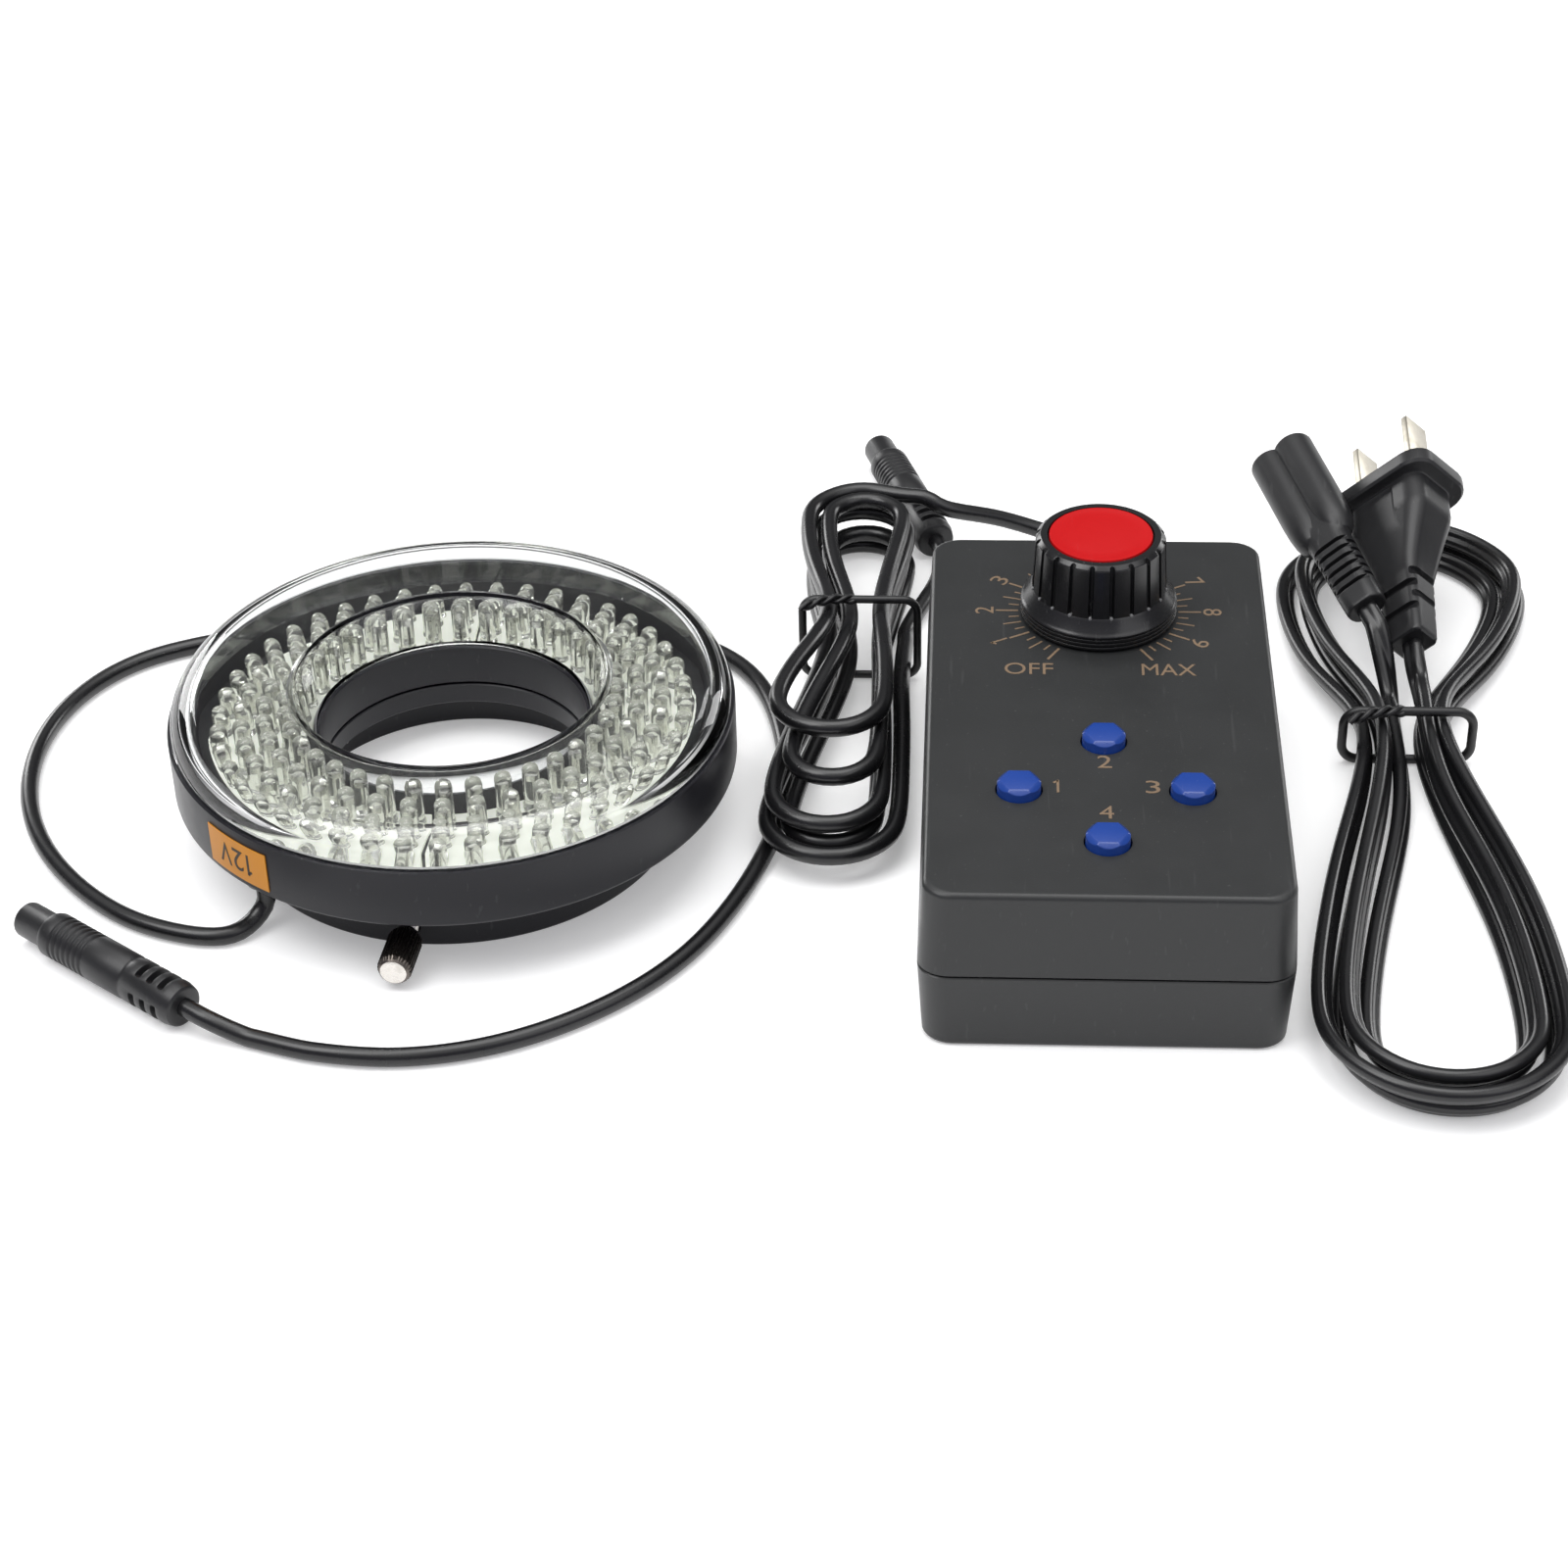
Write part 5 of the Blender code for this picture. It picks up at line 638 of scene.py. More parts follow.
class RINGLIGHT_OT_stage(bpy.types.Operator):
    """Sets the camera, the pale floor and the soft studio light"""

    bl_idname = "ringlight.stage"
    bl_label = "Stage"

    def execute(self, context):
        stage = context.scene.ringlight_stage
        side = Vector((cos(stage.heading), sin(stage.heading), 0))
        ahead = Vector((-sin(stage.heading), cos(stage.heading), 0)) * cos(stage.pitch)
        ahead.z = -sin(stage.pitch)
        above = side.cross(ahead)
        right = side * cos(stage.roll) - above * sin(stage.roll)
        top = above * cos(stage.roll) + side * sin(stage.roll)
        bpy.ops.object.camera_add(location=stage.camera_at)
        camera = context.object
        camera.name = "photo_camera"
        camera.data.lens = stage.lens
        camera.data.sensor_width = 36
        camera.data.clip_start = 0.01
        turn = Matrix((right, top, -ahead)).transposed().to_4x4()
        camera.matrix_world = moved(stage.camera_at) @ turn
        context.scene.camera = camera

        bpy.ops.object.select_all(action="DESELECT")
        bpy.ops.mesh.primitive_plane_add(size=6, location=(0, 0, 0))
        floor = new_piece("floor")
        bpy.ops.mesh.subdivide(number_cuts=4)
        bpy.ops.object.mode_set(mode="OBJECT")
        shade = context.scene.ringlight_finishes.floor
        floor.data.materials.append(
            plastic(
                "Floor white", shade, 0.7, 800, 0.00001, 0.02, 0.0, 0.0,
                Emission_Color=(1, 1, 1, 1), Emission_Strength=0.3, Specular_IOR_Level=0.1,
            )
        )

        world = bpy.data.worlds.new("Studio")
        context.scene.world = world
        world.use_nodes = True
        tree = world.node_tree
        back = tree.nodes["Background"]
        direction = node(tree, "ShaderNodeTexCoord").outputs["Generated"]
        split = node(tree, "ShaderNodeSeparateXYZ")
        tree.links.new(direction, split.inputs[0])
        front = window(tree, maths(tree, "MULTIPLY", split.outputs["Y"], -1), -0.35, 0.6)
        low = mix_colour(tree, front, (0.13, 0.13, 0.135, 1), (0.27, 0.265, 0.315, 1))
        overhead = window(tree, split.outputs["Z"], 0.5, 0.95)
        tree.links.new(mix_colour(tree, overhead, low, (1.35, 1.35, 1.35, 1)), back.inputs["Color"])
        back.inputs["Strength"].default_value = 1.0
        for name, at, size, power in (
            ("key_light", (-0.5, -0.25, 0.95), 0.6, 5.0),
            ("fill_light", (0.75, -0.45, 0.8), 0.8, 1.9),
            ("top_light", (0.05, 0.12, 1.05), 0.7, 4.5),
            ("left_edge_light", (-0.85, 1.05, 0.36), 0.45, 4.0),
            ("right_edge_light", (0.95, 1.0, 0.36), 0.4, 2.5),
        ):
            bpy.ops.object.light_add(type="AREA", location=at)
            light = context.object
            light.name = name
            light.data.size = size
            light.data.energy = power
            aim = LIGHTS_AIM - Vector(at)
            light.rotation_euler = aim.to_track_quat("-Z", "Y").to_euler()
        context.scene.view_settings.view_transform = "Standard"
        return {"FINISHED"}


# Cords and plugs

RING_OUTLET = (0.0462, radians(-131))
RING_DROP = ((0.0014, 0.0018), (0.0046, 0.0003))
RING_ROUTE = (
    (-0.0372, -0.0412), (-0.0480, -0.0398), (-0.0600, -0.0333), (-0.0745, -0.0173),
    (-0.0832, 0.0044), (-0.0828, 0.0277), (-0.0732, 0.0453), (-0.0578, 0.0545),
    (-0.0300, 0.0630), (0.0000, 0.0665), (0.0270, 0.0620), (0.0473, 0.0505),
    (0.0565, 0.0340), (0.0605, 0.0077), (0.0570, -0.0171), (0.0459, -0.0440),
    (0.0303, -0.0610), (0.0143, -0.0702), (-0.0021, -0.0738), (-0.0170, -0.0725),
    (-0.0275, -0.0693),
)
RING_PLUG = ((-0.0395, -0.0643), (-0.0744, -0.0389))
GLAND = (0.0120, 0.0666, 0.0083)
OUTPUT_LEAD = (
    (0.0008, 0.0090, 0.0058), (0, 0.0195, 0.0028), (-0.004, 0.030, 0.0018), (-0.012, 0.038, 0.0018),
    (-0.022, 0.0405, 0.004), (-0.032, 0.0385, 0.0082), (-0.042, 0.0355, 0.0122),
)
OUTPUT_END = ((0.0124, 0.0815), (0.0150, 0.0910))
OUTPUT_SOCKET = ((0.0142, 0.1015), (0.0007, 0.1416))
OUTPUT_HANK = {
    "turns": (-1, 115), "climbs": (30, 54, 78), "top": 0.101, "bottom": -0.006,
    "lean_top": -0.0006, "lean_bottom": -0.0038, "top_lobe": 0.0064, "bottom_lobe": 0.0068,
    "waist": 0.002, "waist_y": 0.056, "step": 0.0041, "rise": 0.00395, "reach": 0.0024,
    "lift": 0.0041, "lift_reach": 0.014, "tie": 0.0008,
}
MAINS_HANK = {
    "turns": (5, 91), "climbs": (54,), "top": 0.098, "bottom": -0.067,
    "lean_top": 0.0047, "lean_bottom": -0.0013, "top_lobe": 0.0146, "bottom_lobe": 0.0118,
    "waist": 0.0011, "waist_y": 0.029, "step": 0.0047, "rise": 0.0045,
    "lift_reach": 0.02, "tie": 0.0009,
}
APPLIANCE_PLUG = ((-0.0055, 0.0592, 0.0154), (-0.0199, 0.1026, 0.0246), radians(-39))
WALL_PLUG = ((0.0029, 0.0525, 0.0116), (0.0026, 0.0941, 0.0210), radians(-45.5))
OUTPUT_HANK_AT = BOX_AT + Vector((-0.04525, 0, 0))
MAINS_HANK_AT = BOX_AT + Vector((0.05885, 0, 0))
CAD_MAINS_RADIUS = 0.002
TIE_LEAN = radians(26)
TIE_CLOSING_SHARE = 0.32
AIR = 0.0003
PLUG_SEAT = 0.0015
TURN_POINTS = 24
CLIMB_POINTS = 7


def smooth_path(points, step, floor):
    """Even points on a smooth curve through given ones. Its two ends stay straight."""
    knots = np.array(points, float)
    gaps = np.sqrt(np.linalg.norm(np.diff(knots, axis=0), axis=1))
    count = len(knots)
    system = np.zeros((count, count))
    right = np.zeros((count, 3))
    slopes = np.diff(knots, axis=0) / gaps[:, None]
    system[0, 0] = 1
    system[-1, -1] = 1
    for i in range(1, count - 1):
        system[i, i - 1] = gaps[i - 1]
        system[i, i] = 2 * (gaps[i - 1] + gaps[i])
        system[i, i + 1] = gaps[i]
        right[i] = 6 * (slopes[i] - slopes[i - 1])
    bends = np.linalg.solve(system, right)
    fine = [knots[1]]
    for i in range(1, count - 2):
        h = gaps[i]
        for share in np.linspace(0, 1, 25)[1:]:
            a = (1 - share) * h
            b = share * h
            curved = (bends[i] * a**3 + bends[i + 1] * b**3) / (6 * h)
            first = (knots[i] / h - bends[i] * h / 6) * a
            second = (knots[i + 1] / h - bends[i + 1] * h / 6) * b
            fine.append(curved + first + second)
    fine = np.array(fine)
    fine[:, 2] = np.maximum(fine[:, 2], floor)
    lengths = run_lengths(fine)
    wanted = np.linspace(0, lengths[-1], max(2, round(lengths[-1] / step)) + 1)
    middle = np.stack([np.interp(wanted, lengths, fine[:, axis]) for axis in range(3)], axis=1)
    return np.concatenate([knots[:1], middle, knots[-1:]])


def eased(share):
    share = min(max(share, 0.0), 1.0)
    return share * share * (3 - 2 * share)


def loop_middle(at, loop):
    """A point on the middle turn of a hank: two round ends, drawn in at the waist."""
    eighth = TURN_POINTS / 8
    at = (at + eighth) % TURN_POINTS - eighth
    top_lobe, bottom_lobe = loop["top_lobe"], loop["bottom_lobe"]
    top = np.array([loop["lean_top"], loop["top"] - top_lobe])
    bottom = np.array([loop["lean_bottom"], loop["bottom"] + bottom_lobe])
    if at < eighth:
        angle = pi / 2 * at / eighth
        return top + top_lobe * np.array([-sin(angle), cos(angle)])
    if 3 * eighth < at < 5 * eighth:
        angle = pi / 2 * (at / eighth - 4)
        return bottom + bottom_lobe * np.array([sin(angle), -cos(angle)])
    side = -1 if at < 4 * eighth else 1
    share = (at / eighth - 1) / 2 if side < 0 else (7 - at / eighth) / 2
    middle = top + (bottom - top) * share
    waist = (top[1] - loop["waist_y"]) / (top[1] - bottom[1])
    draw = eased(share / waist if share < waist else (1 - share) / (1 - waist))
    lobe = top_lobe + (bottom_lobe - top_lobe) * share
    reach = lobe + (loop["waist"] - lobe) * draw
    return np.array([middle[0] * (1 - draw) + side * reach, middle[1]])


def loop_point(at, loop, outward):
    tiny = 1 / TURN_POINTS
    along = loop_middle(at + tiny, loop) - loop_middle(at - tiny, loop)
    along /= np.linalg.norm(along)
    return loop_middle(at, loop) + np.array([along[1], -along[0]]) * outward


def climbed(point, climbs):
    return sum(eased((point - climb) / CLIMB_POINTS + 0.5) for climb in climbs)


def steps_out(point, first, climbs, direction):
    turns = [first] + [climb for climb in climbs if climb < point] + [point]
    out = 0 if direction > 0 else (climbs[0] - first) / TURN_POINTS
    for low, high in zip(turns, turns[1:]):
        out += direction * (high - low) / TURN_POINTS
        direction = -direction
    return out


def output_hank_points(radius, floor_gap):
    hank = OUTPUT_HANK
    first, last = hank["turns"]
    points = []
    for i in range(first, last + 1):
        layer = len(hank["climbs"]) - climbed(i, hank["climbs"])
        loop = dict(hank, bottom=hank["bottom"] + hank["reach"] * layer**2)
        x, y = loop_point(i, loop, hank["step"] * steps_out(i, first, hank["climbs"], -1))
        lift = hank["lift"] * (1 - tanh((y - hank["waist_y"]) / hank["lift_reach"])) / 2
        points.append(Vector((x, y, radius + floor_gap + lift + hank["rise"] * layer)))
    return points


def waist_share(y):
    """How near a place is to the mains hank's tie: 1 at the tie, 0 far from it."""
    return exp(-(((y - MAINS_HANK["waist_y"]) / MAINS_HANK["lift_reach"]) ** 2))


def mains_hank_points(radius, floor_gap):
    """The mains hank's route. Its strands close up where the tie holds them on edge."""
    hank = MAINS_HANK
    first, last = hank["turns"]
    room = 2 * hank["tie"] + AIR
    points = []
    for i in range(first, last + 1):
        out = steps_out(i, first, hank["climbs"], 1)
        near = waist_share(loop_middle(i, hank)[1])
        x, y = loop_point(i, hank, hank["step"] * out * (1 - TIE_CLOSING_SHARE * near))
        layer = climbed(i, hank["climbs"])
        points.append(Vector((x, y, radius + floor_gap + room * near + hank["rise"] * layer)))
    return points


def straight_ends(points, length):
    """The same route with a straight stretch before it and one after it."""
    first = (points[0] - points[1]).normalized() * length
    last = (points[-1] - points[-2]).normalized() * length
    return [points[0] + first, *points, points[-1] + last]


def wound_route(turns, at, radius):
    """A hank's turns in their place, with two straight stretches at each end."""
    wound = [at + point for point in straight_ends(turns, 2 * radius)]
    return straight_ends(wound, 2 * radius + AIR)


def into_plug(tail, along, radius):
    """The last points of a cord: before its plug, and inside it."""
    return [tail - along * (2 * radius + AIR), tail + along * PLUG_SEAT]


def even_path(points, sizes, floor):
    return smooth_path([tuple(point) for point in points], sizes.step, floor)


def waist_reach(points, y):
    reach = 0
    for a, b in zip(points, points[1:]):
        if (a.y - y) * (b.y - y) <= 0 and a.y != b.y:
            reach = max(reach, abs(a.x + (b.x - a.x) * (y - a.y) / (b.y - a.y)))
    return reach


def run_lengths(points):
    """How far each point lies along its path."""
    return np.concatenate([[0], np.cumsum(np.linalg.norm(np.diff(points, axis=0), axis=1))])


def poly_curve(name, points, dimensions, closed=False):
    data = bpy.data.curves.new(name, "CURVE")
    data.dimensions = dimensions
    spline = data.splines.new("POLY")
    spline.points.add(len(points) - 1)
    for knot, point in zip(spline.points, points):
        knot.co = (*point, 1)
    spline.use_cyclic_u = closed
    obj = bpy.data.objects.new(name, data)
    bpy.context.scene.collection.objects.link(obj)
    return obj


def cord_curve(name, points, radius, closed=False, roundness=5):
    obj = poly_curve(name, points, "3D", closed)
    obj.data.bevel_depth = radius
    obj.data.bevel_resolution = roundness
    obj.data.use_fill_caps = True
    return obj


def twin_profile(width, height):
    """The outline of a flat twin cord: two round lobes with a groove between them."""
    lobe = height / 2
    apart = width / 2 - lobe
    outline = []
    for side in (1, -1):
        for step in range(13):
            angle = radians(-122 + 244 * step / 12)
            outline.append((side * (apart + lobe * cos(angle)), side * lobe * sin(angle), 0))
    return poly_curve("twin_profile", outline, "2D", closed=True)


def twin_cord(name, points, width, height, turns):
    """A flat cord that is turned about its own line by an angle at each point."""
    profile = twin_profile(width, height)
    cord = cord_curve(name, points, 0)
    for knot, turn in zip(cord.data.splines[0].points, turns):
        knot.tilt = turn
    cord.data.twist_mode = "Z_UP"
    cord.data.bevel_mode = "OBJECT"
    cord.data.bevel_object = profile
    made_mesh(cord)
    discard(profile)
    return shaded(cord, radians(60))


def tie_loop(name, at, hank, turns, low, strand):
    """A wire tie round a hank's waist, its two ends twisted together on top."""
    radius, y = hank["tie"], hank["waist_y"]
    margin = strand + AIR + radius
    rise = hank["rise"] * len(hank["climbs"])
    width, height = 2 * (waist_reach(turns, y) + margin), rise + 2 * margin
    middle = low + rise / 2
    points = []
    for corner, (x, z) in enumerate(((1, -1), (1, 1), (-1, 1), (-1, -1))):
        centre = (x * (width / 2 - margin), z * (height / 2 - margin))
        for px, pz in arc(centre, margin, -90 + 90 * corner, 90 * corner, 8):
            points.append((px, y, middle + pz))
    loop = made_mesh(cord_curve(name, [at + Vector(point) for point in points], radius, True, 4))
    twist = []
    top = middle + height / 2
    for strand_turn in (0, pi):
        route = []
        for step in range(25):
            share = step / 24
            angle = strand_turn + share * 4 * pi
            lift = 0.0009 * sin(pi * share)
            centre = at + Vector((-0.001 - 0.0105 * share, y - 0.0035 * share, top + lift))
            swing = radius * 0.72
            route.append(centre + Vector((0, swing * cos(angle), swing * sin(angle))))
        twist.append(made_mesh(cord_curve(f"{name}_twist", route, radius * 0.62)))
    return shaded(joined(name, [loop] + twist), radians(50))


def round_plug(prefix, frame_at, ends):
    """A round plug on the floor: slotted relief, ringed grip, stepped nose and pinned insert."""
    (tail, tip), radius = ends, 0.00415
    along = (Vector((*tip, 0)) - Vector((*tail, 0))).normalized()
    lift = radius + AIR * 0.13
    end = frame_at + Vector((*tail, lift))
    place = moved(end) @ along.to_track_quat("Z", "Y").to_matrix().to_4x4()
    profile = [(0.0032, 0), (0.0035, 0.00005), (0.0038, 0.0003), (radius - 0.0002, 0.0009)]
    profile += [(radius, 0.0019), (radius, 0.0122), (radius - 0.00025, 0.0126)]
    profile += [(radius - 0.00025, 0.0132), (radius, 0.0136)]
    for ridge in range(7):
        low = 0.0222 + ridge * 0.00135
        profile += [(radius, low), (radius - 0.0003, low + 0.0002)]
        profile += [(radius - 0.0003, low + 0.0006), (radius, low + 0.0008)]
    profile += [(radius, 0.0332), (0.00395, 0.0338), (0.00345, 0.0343)]
    profile += [(0.0033, 0.0346), (0.0033, 0.0405), (0.00315, 0.04095)]
    profile += [(0.0026, 0.041), (0.0025, 0.0408), (0.0025, 0.0341)]
    body = lathe(f"{prefix}_shell", profile, 48)
    slots = []
    for row in range(3):
        for side in (-1, 1):
            at = (0, side * (radius + 0.0006), 0.0035 + row * 0.0028)
            slot = block(f"{prefix}_slot", (0.02, 0.0064, 0.0014), at, 0.00035)
            slots.append(settled(slot, turned(radians(37))))
    body = shaded(softened(combined(body, slots), 0.00012, 2, radians(50)))
    insert = lathe(f"{prefix}_insert", [(0.0022, 0.0343), (0.0022, 0.0392), (0.00205, 0.0393)], 32)
    places = [polar(0.0012, pi / 4 + i * pi / 2)[:2] for i in range(4)]
    cutters = [bar("pin_hole", 0.00052, 0.0385, 0.04, 16, at) for at in places]
    cutters.append(block("key", (0.0007, 0.001, 0.004), (0, 0.0021, 0.0393)))
    insert = shaded(combined(insert, cutters))
    profile = [(0.0004, 0.0384), (0.0004, 0.0401), (0.0002, 0.0404)]
    pins = shaded(joined(f"{prefix}_pins", [lathe("pin", profile, 16, (*at, 0)) for at in places]))
    for piece in (body, insert, pins):
        settled(piece, place)
    fitted(body, "base", "plug_black", "Plug black", f"{prefix}_body")
    fitted(insert, "base", "contact_insert", "Contact insert", f"{prefix}_contacts")
    fitted(pins, "base", "contact_insert", "Blade metal")
    return end, along, [body, insert, pins]


def plug_place(frame_at, ends):
    """The place of a plug that was modelled along +Z, and its cord end and direction."""
    tail, tip, roll = Vector(ends[0]), Vector(ends[1]), ends[2]
    along = (tip - tail).normalized()
    turn = along.to_track_quat("Y", "Z").to_matrix().to_4x4() @ turned(roll, "Y")
    place = moved(frame_at + tail) @ turn @ turned(-pi / 2, "X")
    return place, frame_at + tail, along


def relief_cutters(name, width, tall, first, pitch, slot, rows):
    """Slots for a flat strain relief: rows at its top and bottom, others between at its sides."""
    slots = []
    for i in range(rows):
        at = first + i * pitch
        for side in (-1, 1):
            place = (0, side * tall / 2, at)
            slots.append(block(name, (2 * width, 0.0026, slot), place, slot * 0.25))
        if i < rows - 1:
            for side in (-1, 1):
                place = (side * (width / 2 + 0.0002), 0, at + pitch / 2)
                slots.append(block(name, (0.0024, 2 * tall, slot * 0.9), place, slot * 0.25))
    return slots


def drawn_plate(name, sections, corner_share, steps):
    """A body through rounded rectangles, each a width, a depth and a height."""
    width, depth, low = sections[0]
    obj = plate_start(name, width, depth, min(width, depth) / 2 * corner_share, steps, (0, 0, low))
    grow(sections)
    return finish_edit(obj)


def appliance_plug(frame_at):
    relief = 0.0195
    reach = relief + 0.0272
    place, tail, along = plug_place(frame_at, APPLIANCE_PLUG)
    body = drawn_plate(
        "appliance_shell",
        [
            (0.0066, 0.0048, 0), (0.0076, 0.0056, 0.0002), (0.0081, 0.0060, 0.0007),
            (0.0083, 0.0061, 0.0030), (0.0084, 0.0061, 0.0045), (0.0088, 0.0062, relief - 0.0006),
            (0.0096, 0.0063, relief + 0.0006), (0.0111, 0.0064, relief + 0.002),
            (0.0118, 0.0064, relief + 0.004), (0.0119, 0.0062, reach - 0.001),
        ],
        0.9,
        6,
    )
    slots = relief_cutters("appliance_slot", 0.0088, 0.0062, 0.0052, 0.0023, 0.001, 6)
    body = combined(body, slots)
    lobes = []
    for side in (-1, 1):
        profile = [(0.0012, relief - 0.0003), (0.0024, relief + 0.0003), (0.0032, relief + 0.0016)]
        profile += [(0.0037, relief + 0.0034), (0.00398, relief + 0.006), (0.0041, relief + 0.0095)]
        profile += [(0.0041, reach - 0.0006), (0.0039, reach - 0.00015), (0.0036, reach)]
        lobes.append(lathe("lobe", profile, 40, (side * 0.0028, 0, 0)))
    body = combined(body, lobes, "UNION")
    holes = []
    for side in (-1, 1):
        at = (side * 0.0043, 0)
        holes.append(bar("socket", 0.0013, reach - 0.011, reach + 0.001, 24, at))
    body = shaded(softened(combined(body, holes), 0.00022, 2, radians(38)), flats=True)
    settled(body, place)
    fitted(body, "base", "plug_black", "Plug black", "appliance_plug")
    return tail, along, [body]


def wall_plug(frame_at):
    relief, blade_reach = 0.0161, 0.00635
    reach = relief + 0.0265
    neck = reach - 0.0042
    place, tail, along = plug_place(frame_at, WALL_PLUG)
    body = drawn_plate(
        "wall_shell",
        [
            (0.0072, 0.0058, 0), (0.0080, 0.0066, 0.0003), (0.0084, 0.0069, 0.001),
            (0.0088, 0.0072, 0.006), (0.0096, 0.0078, relief - 0.0006),
            (0.0100, 0.0082, relief + 0.0006), (0.0113, 0.0093, relief + 0.0032),
            (0.0152, 0.0108, relief + 0.0090), (0.0190, 0.0122, relief + 0.0140),
            (0.0198, 0.0125, relief + 0.0158), (0.0198, 0.0125, neck - 0.0004),
            (0.0206, 0.0132, neck - 0.0002), (0.0250, 0.0157, neck),
            (0.0258, 0.0165, neck + 0.0006), (0.0258, 0.0165, reach - 0.0012),
            (0.0254, 0.0161, reach - 0.0005), (0.0238, 0.0145, reach),
        ],
        0.5,
        6,
    )
    cutters = relief_cutters("wall_slot", 0.0092, 0.0075, 0.0062, 0.0060, 0.0019, 2)
    for side in (-1, 1):
        at = (side * 0.0048, 0, 0.0152)
        cutters.append(block("wall_slot", (0.0024, 0.02, 0.0019), at, 0.0005))
        at = (-0.0012, side * 0.0070, relief + 0.0142)
        cutters.append(block("thumb_hollow", (0.0105, 0.0024, 0.0150), at, 0.0011))
        at = (side * blade_reach, 0, reach)
        cutters.append(block("blade_slot", (0.0021, 0.0068, 0.0106), at))
    body = shaded(softened(combined(body, cutters), 0.0003, 2, radians(35)), flats=True)
    blades = []
    for side in (-1, 1):
        blade = block("blade", (0.0015, 0.0062, 0.0205), (side * blade_reach, 0, reach + 0.00525))
        cutters = []
        for edge in (-1, 1):
            wedge = block("corner_cut", (0.004, 0.003, 0.003))
            tilt = moved((side * blade_reach, edge * 0.0044, reach + 0.0168)) @ turned(pi / 4, "X")
            cutters.append(settled(wedge, tilt))
        blades.append(softened(combined(blade, cutters), 0.0002, 2))
    for piece in (body, *blades):
        settled(piece, place)
    fitted(body, "base", "plug_black", "Plug black", "wall_plug")
    for i, blade in enumerate(blades, 1):
        blade.name = f"blade_{i}"
        fitted(shaded(blade), "base", "blade_metal", "Blade metal", f"wall_blade_{i}")
    return tail, along, [body, *blades]


class RINGLIGHT_OT_cords(bpy.types.Operator):
    """Lays the three cords with their plugs and wire ties"""

    bl_idname = "ringlight.cords"
    bl_label = "Cords and plugs"

    def execute(self, context):
        sizes = context.scene.ringlight_cords
        radius, gap = sizes.round_radius, sizes.floor_gap
        floor = radius + gap
        self.ring_cord(sizes, radius, floor)
        self.output_cord(sizes, radius, gap)
        self.mains_cord(sizes, gap)
        return {"FINISHED"}

    def ring_cord(self, sizes, radius, floor):
        tail, along, pieces = round_plug("ring_plug", RING_AT, RING_PLUG)
        reach, angle = RING_OUTLET
        outlet = RING_AT + polar(reach, angle, 0.009)
        points = [outlet + Vector((0, 0, 0.001)), outlet - Vector((0, 0, 2 * radius))]
        for away, height in RING_DROP:
            points.append(Vector((*(outlet + polar(away, angle))[:2], floor + height)))
        points += [RING_AT + Vector((x, y, floor)) for x, y in RING_ROUTE]
        points += into_plug(tail, along, radius)
        path = even_path(points, sizes, floor)
        cord = cord_curve("ring_lead", path, radius)
        fitted(cord, "base", "cord_black", "Cord black", "ring_cord")

    def output_cord(self, sizes, radius, gap):
        turns = output_hank_points(radius, gap)
        wound = wound_route(turns, OUTPUT_HANK_AT, radius)
        tail, along, pieces = round_plug("output_socket", OUTPUT_HANK_AT, OUTPUT_SOCKET)
        gland = BOX_AT + Vector(GLAND)
        points = [gland - Vector((0, 0.002, 0)), gland + Vector((0, 2 * radius + AIR, 0))]
        points += [Vector((gland.x + x, gland.y + y, z)) for x, y, z in OUTPUT_LEAD]
        points += wound
        points += [OUTPUT_HANK_AT + Vector((x, y, wound[-2].z)) for x, y in OUTPUT_END]
        points += into_plug(tail, along, radius)
        path = even_path(points, sizes, radius + gap)
        cord = cord_curve("output_lead_and_hank", path, radius)
        fitted(cord, "base", "cord_black", "Cord black", "output_lead", "output_hank", "output_end")
        low = radius + gap + OUTPUT_HANK["lift"] / 2
        tie = tie_loop("output_wire_tie", OUTPUT_HANK_AT, OUTPUT_HANK, turns, low, radius)
        fitted(tie, "base", "tie_black", "Tie black", "output_tie")

    def mains_cord(self, sizes, gap):
        radius = CAD_MAINS_RADIUS
        strands = mains_hank_points(radius, gap)
        wound = wound_route(strands, MAINS_HANK_AT, radius)
        first_tail, first_along, first = appliance_plug(MAINS_HANK_AT)
        last_tail, last_along, last = wall_plug(MAINS_HANK_AT)
        points = into_plug(first_tail, first_along, radius)[::-1] + wound
        points += into_plug(last_tail, last_along, radius)
        path = even_path(points, sizes, radius + gap)
        run = run_lengths(path)
        start, end = (
            float(run[np.linalg.norm(path - np.array(place), axis=1).argmin()])
            for place in (wound[1], wound[-2])
        )
        appliance_roll, wall_roll = APPLIANCE_PLUG[2], WALL_PLUG[2]
        turns = []
        for point, along in zip(path, run):
            lying = -sizes.twin_lean - TIE_LEAN * waist_share(point[1] - MAINS_HANK_AT.y)
            turn = (lying + appliance_roll) * eased(along / start) - appliance_roll
            left = (run[-1] - along) / (run[-1] - end)
            turns.append(wall_roll + (turn - wall_roll) * eased(left))
        cord = twin_cord("mains_cord", path, sizes.twin_width, sizes.twin_height, turns)
        nodes = ("mains_lead_a", "mains_hank", "mains_lead_b")
        fitted(cord, "base", "cord_black", "Cord black", *nodes)
        low = radius + gap + 2 * MAINS_HANK["tie"] + AIR
        tie = tie_loop("mains_wire_tie", MAINS_HANK_AT, MAINS_HANK, strands, low, radius)
        fitted(tie, "base", "tie_black", "Tie black", "mains_tie")


# Ring head

BOLT_CIRCLE = 0.0350
BOLT_SINK = 0.0034
BOLT_TURNS = [radians(-35 + 120 * i) for i in range(3)]
THUMBSCREW_TURNS = [radians(-95 + 120 * i) for i in range(3)]


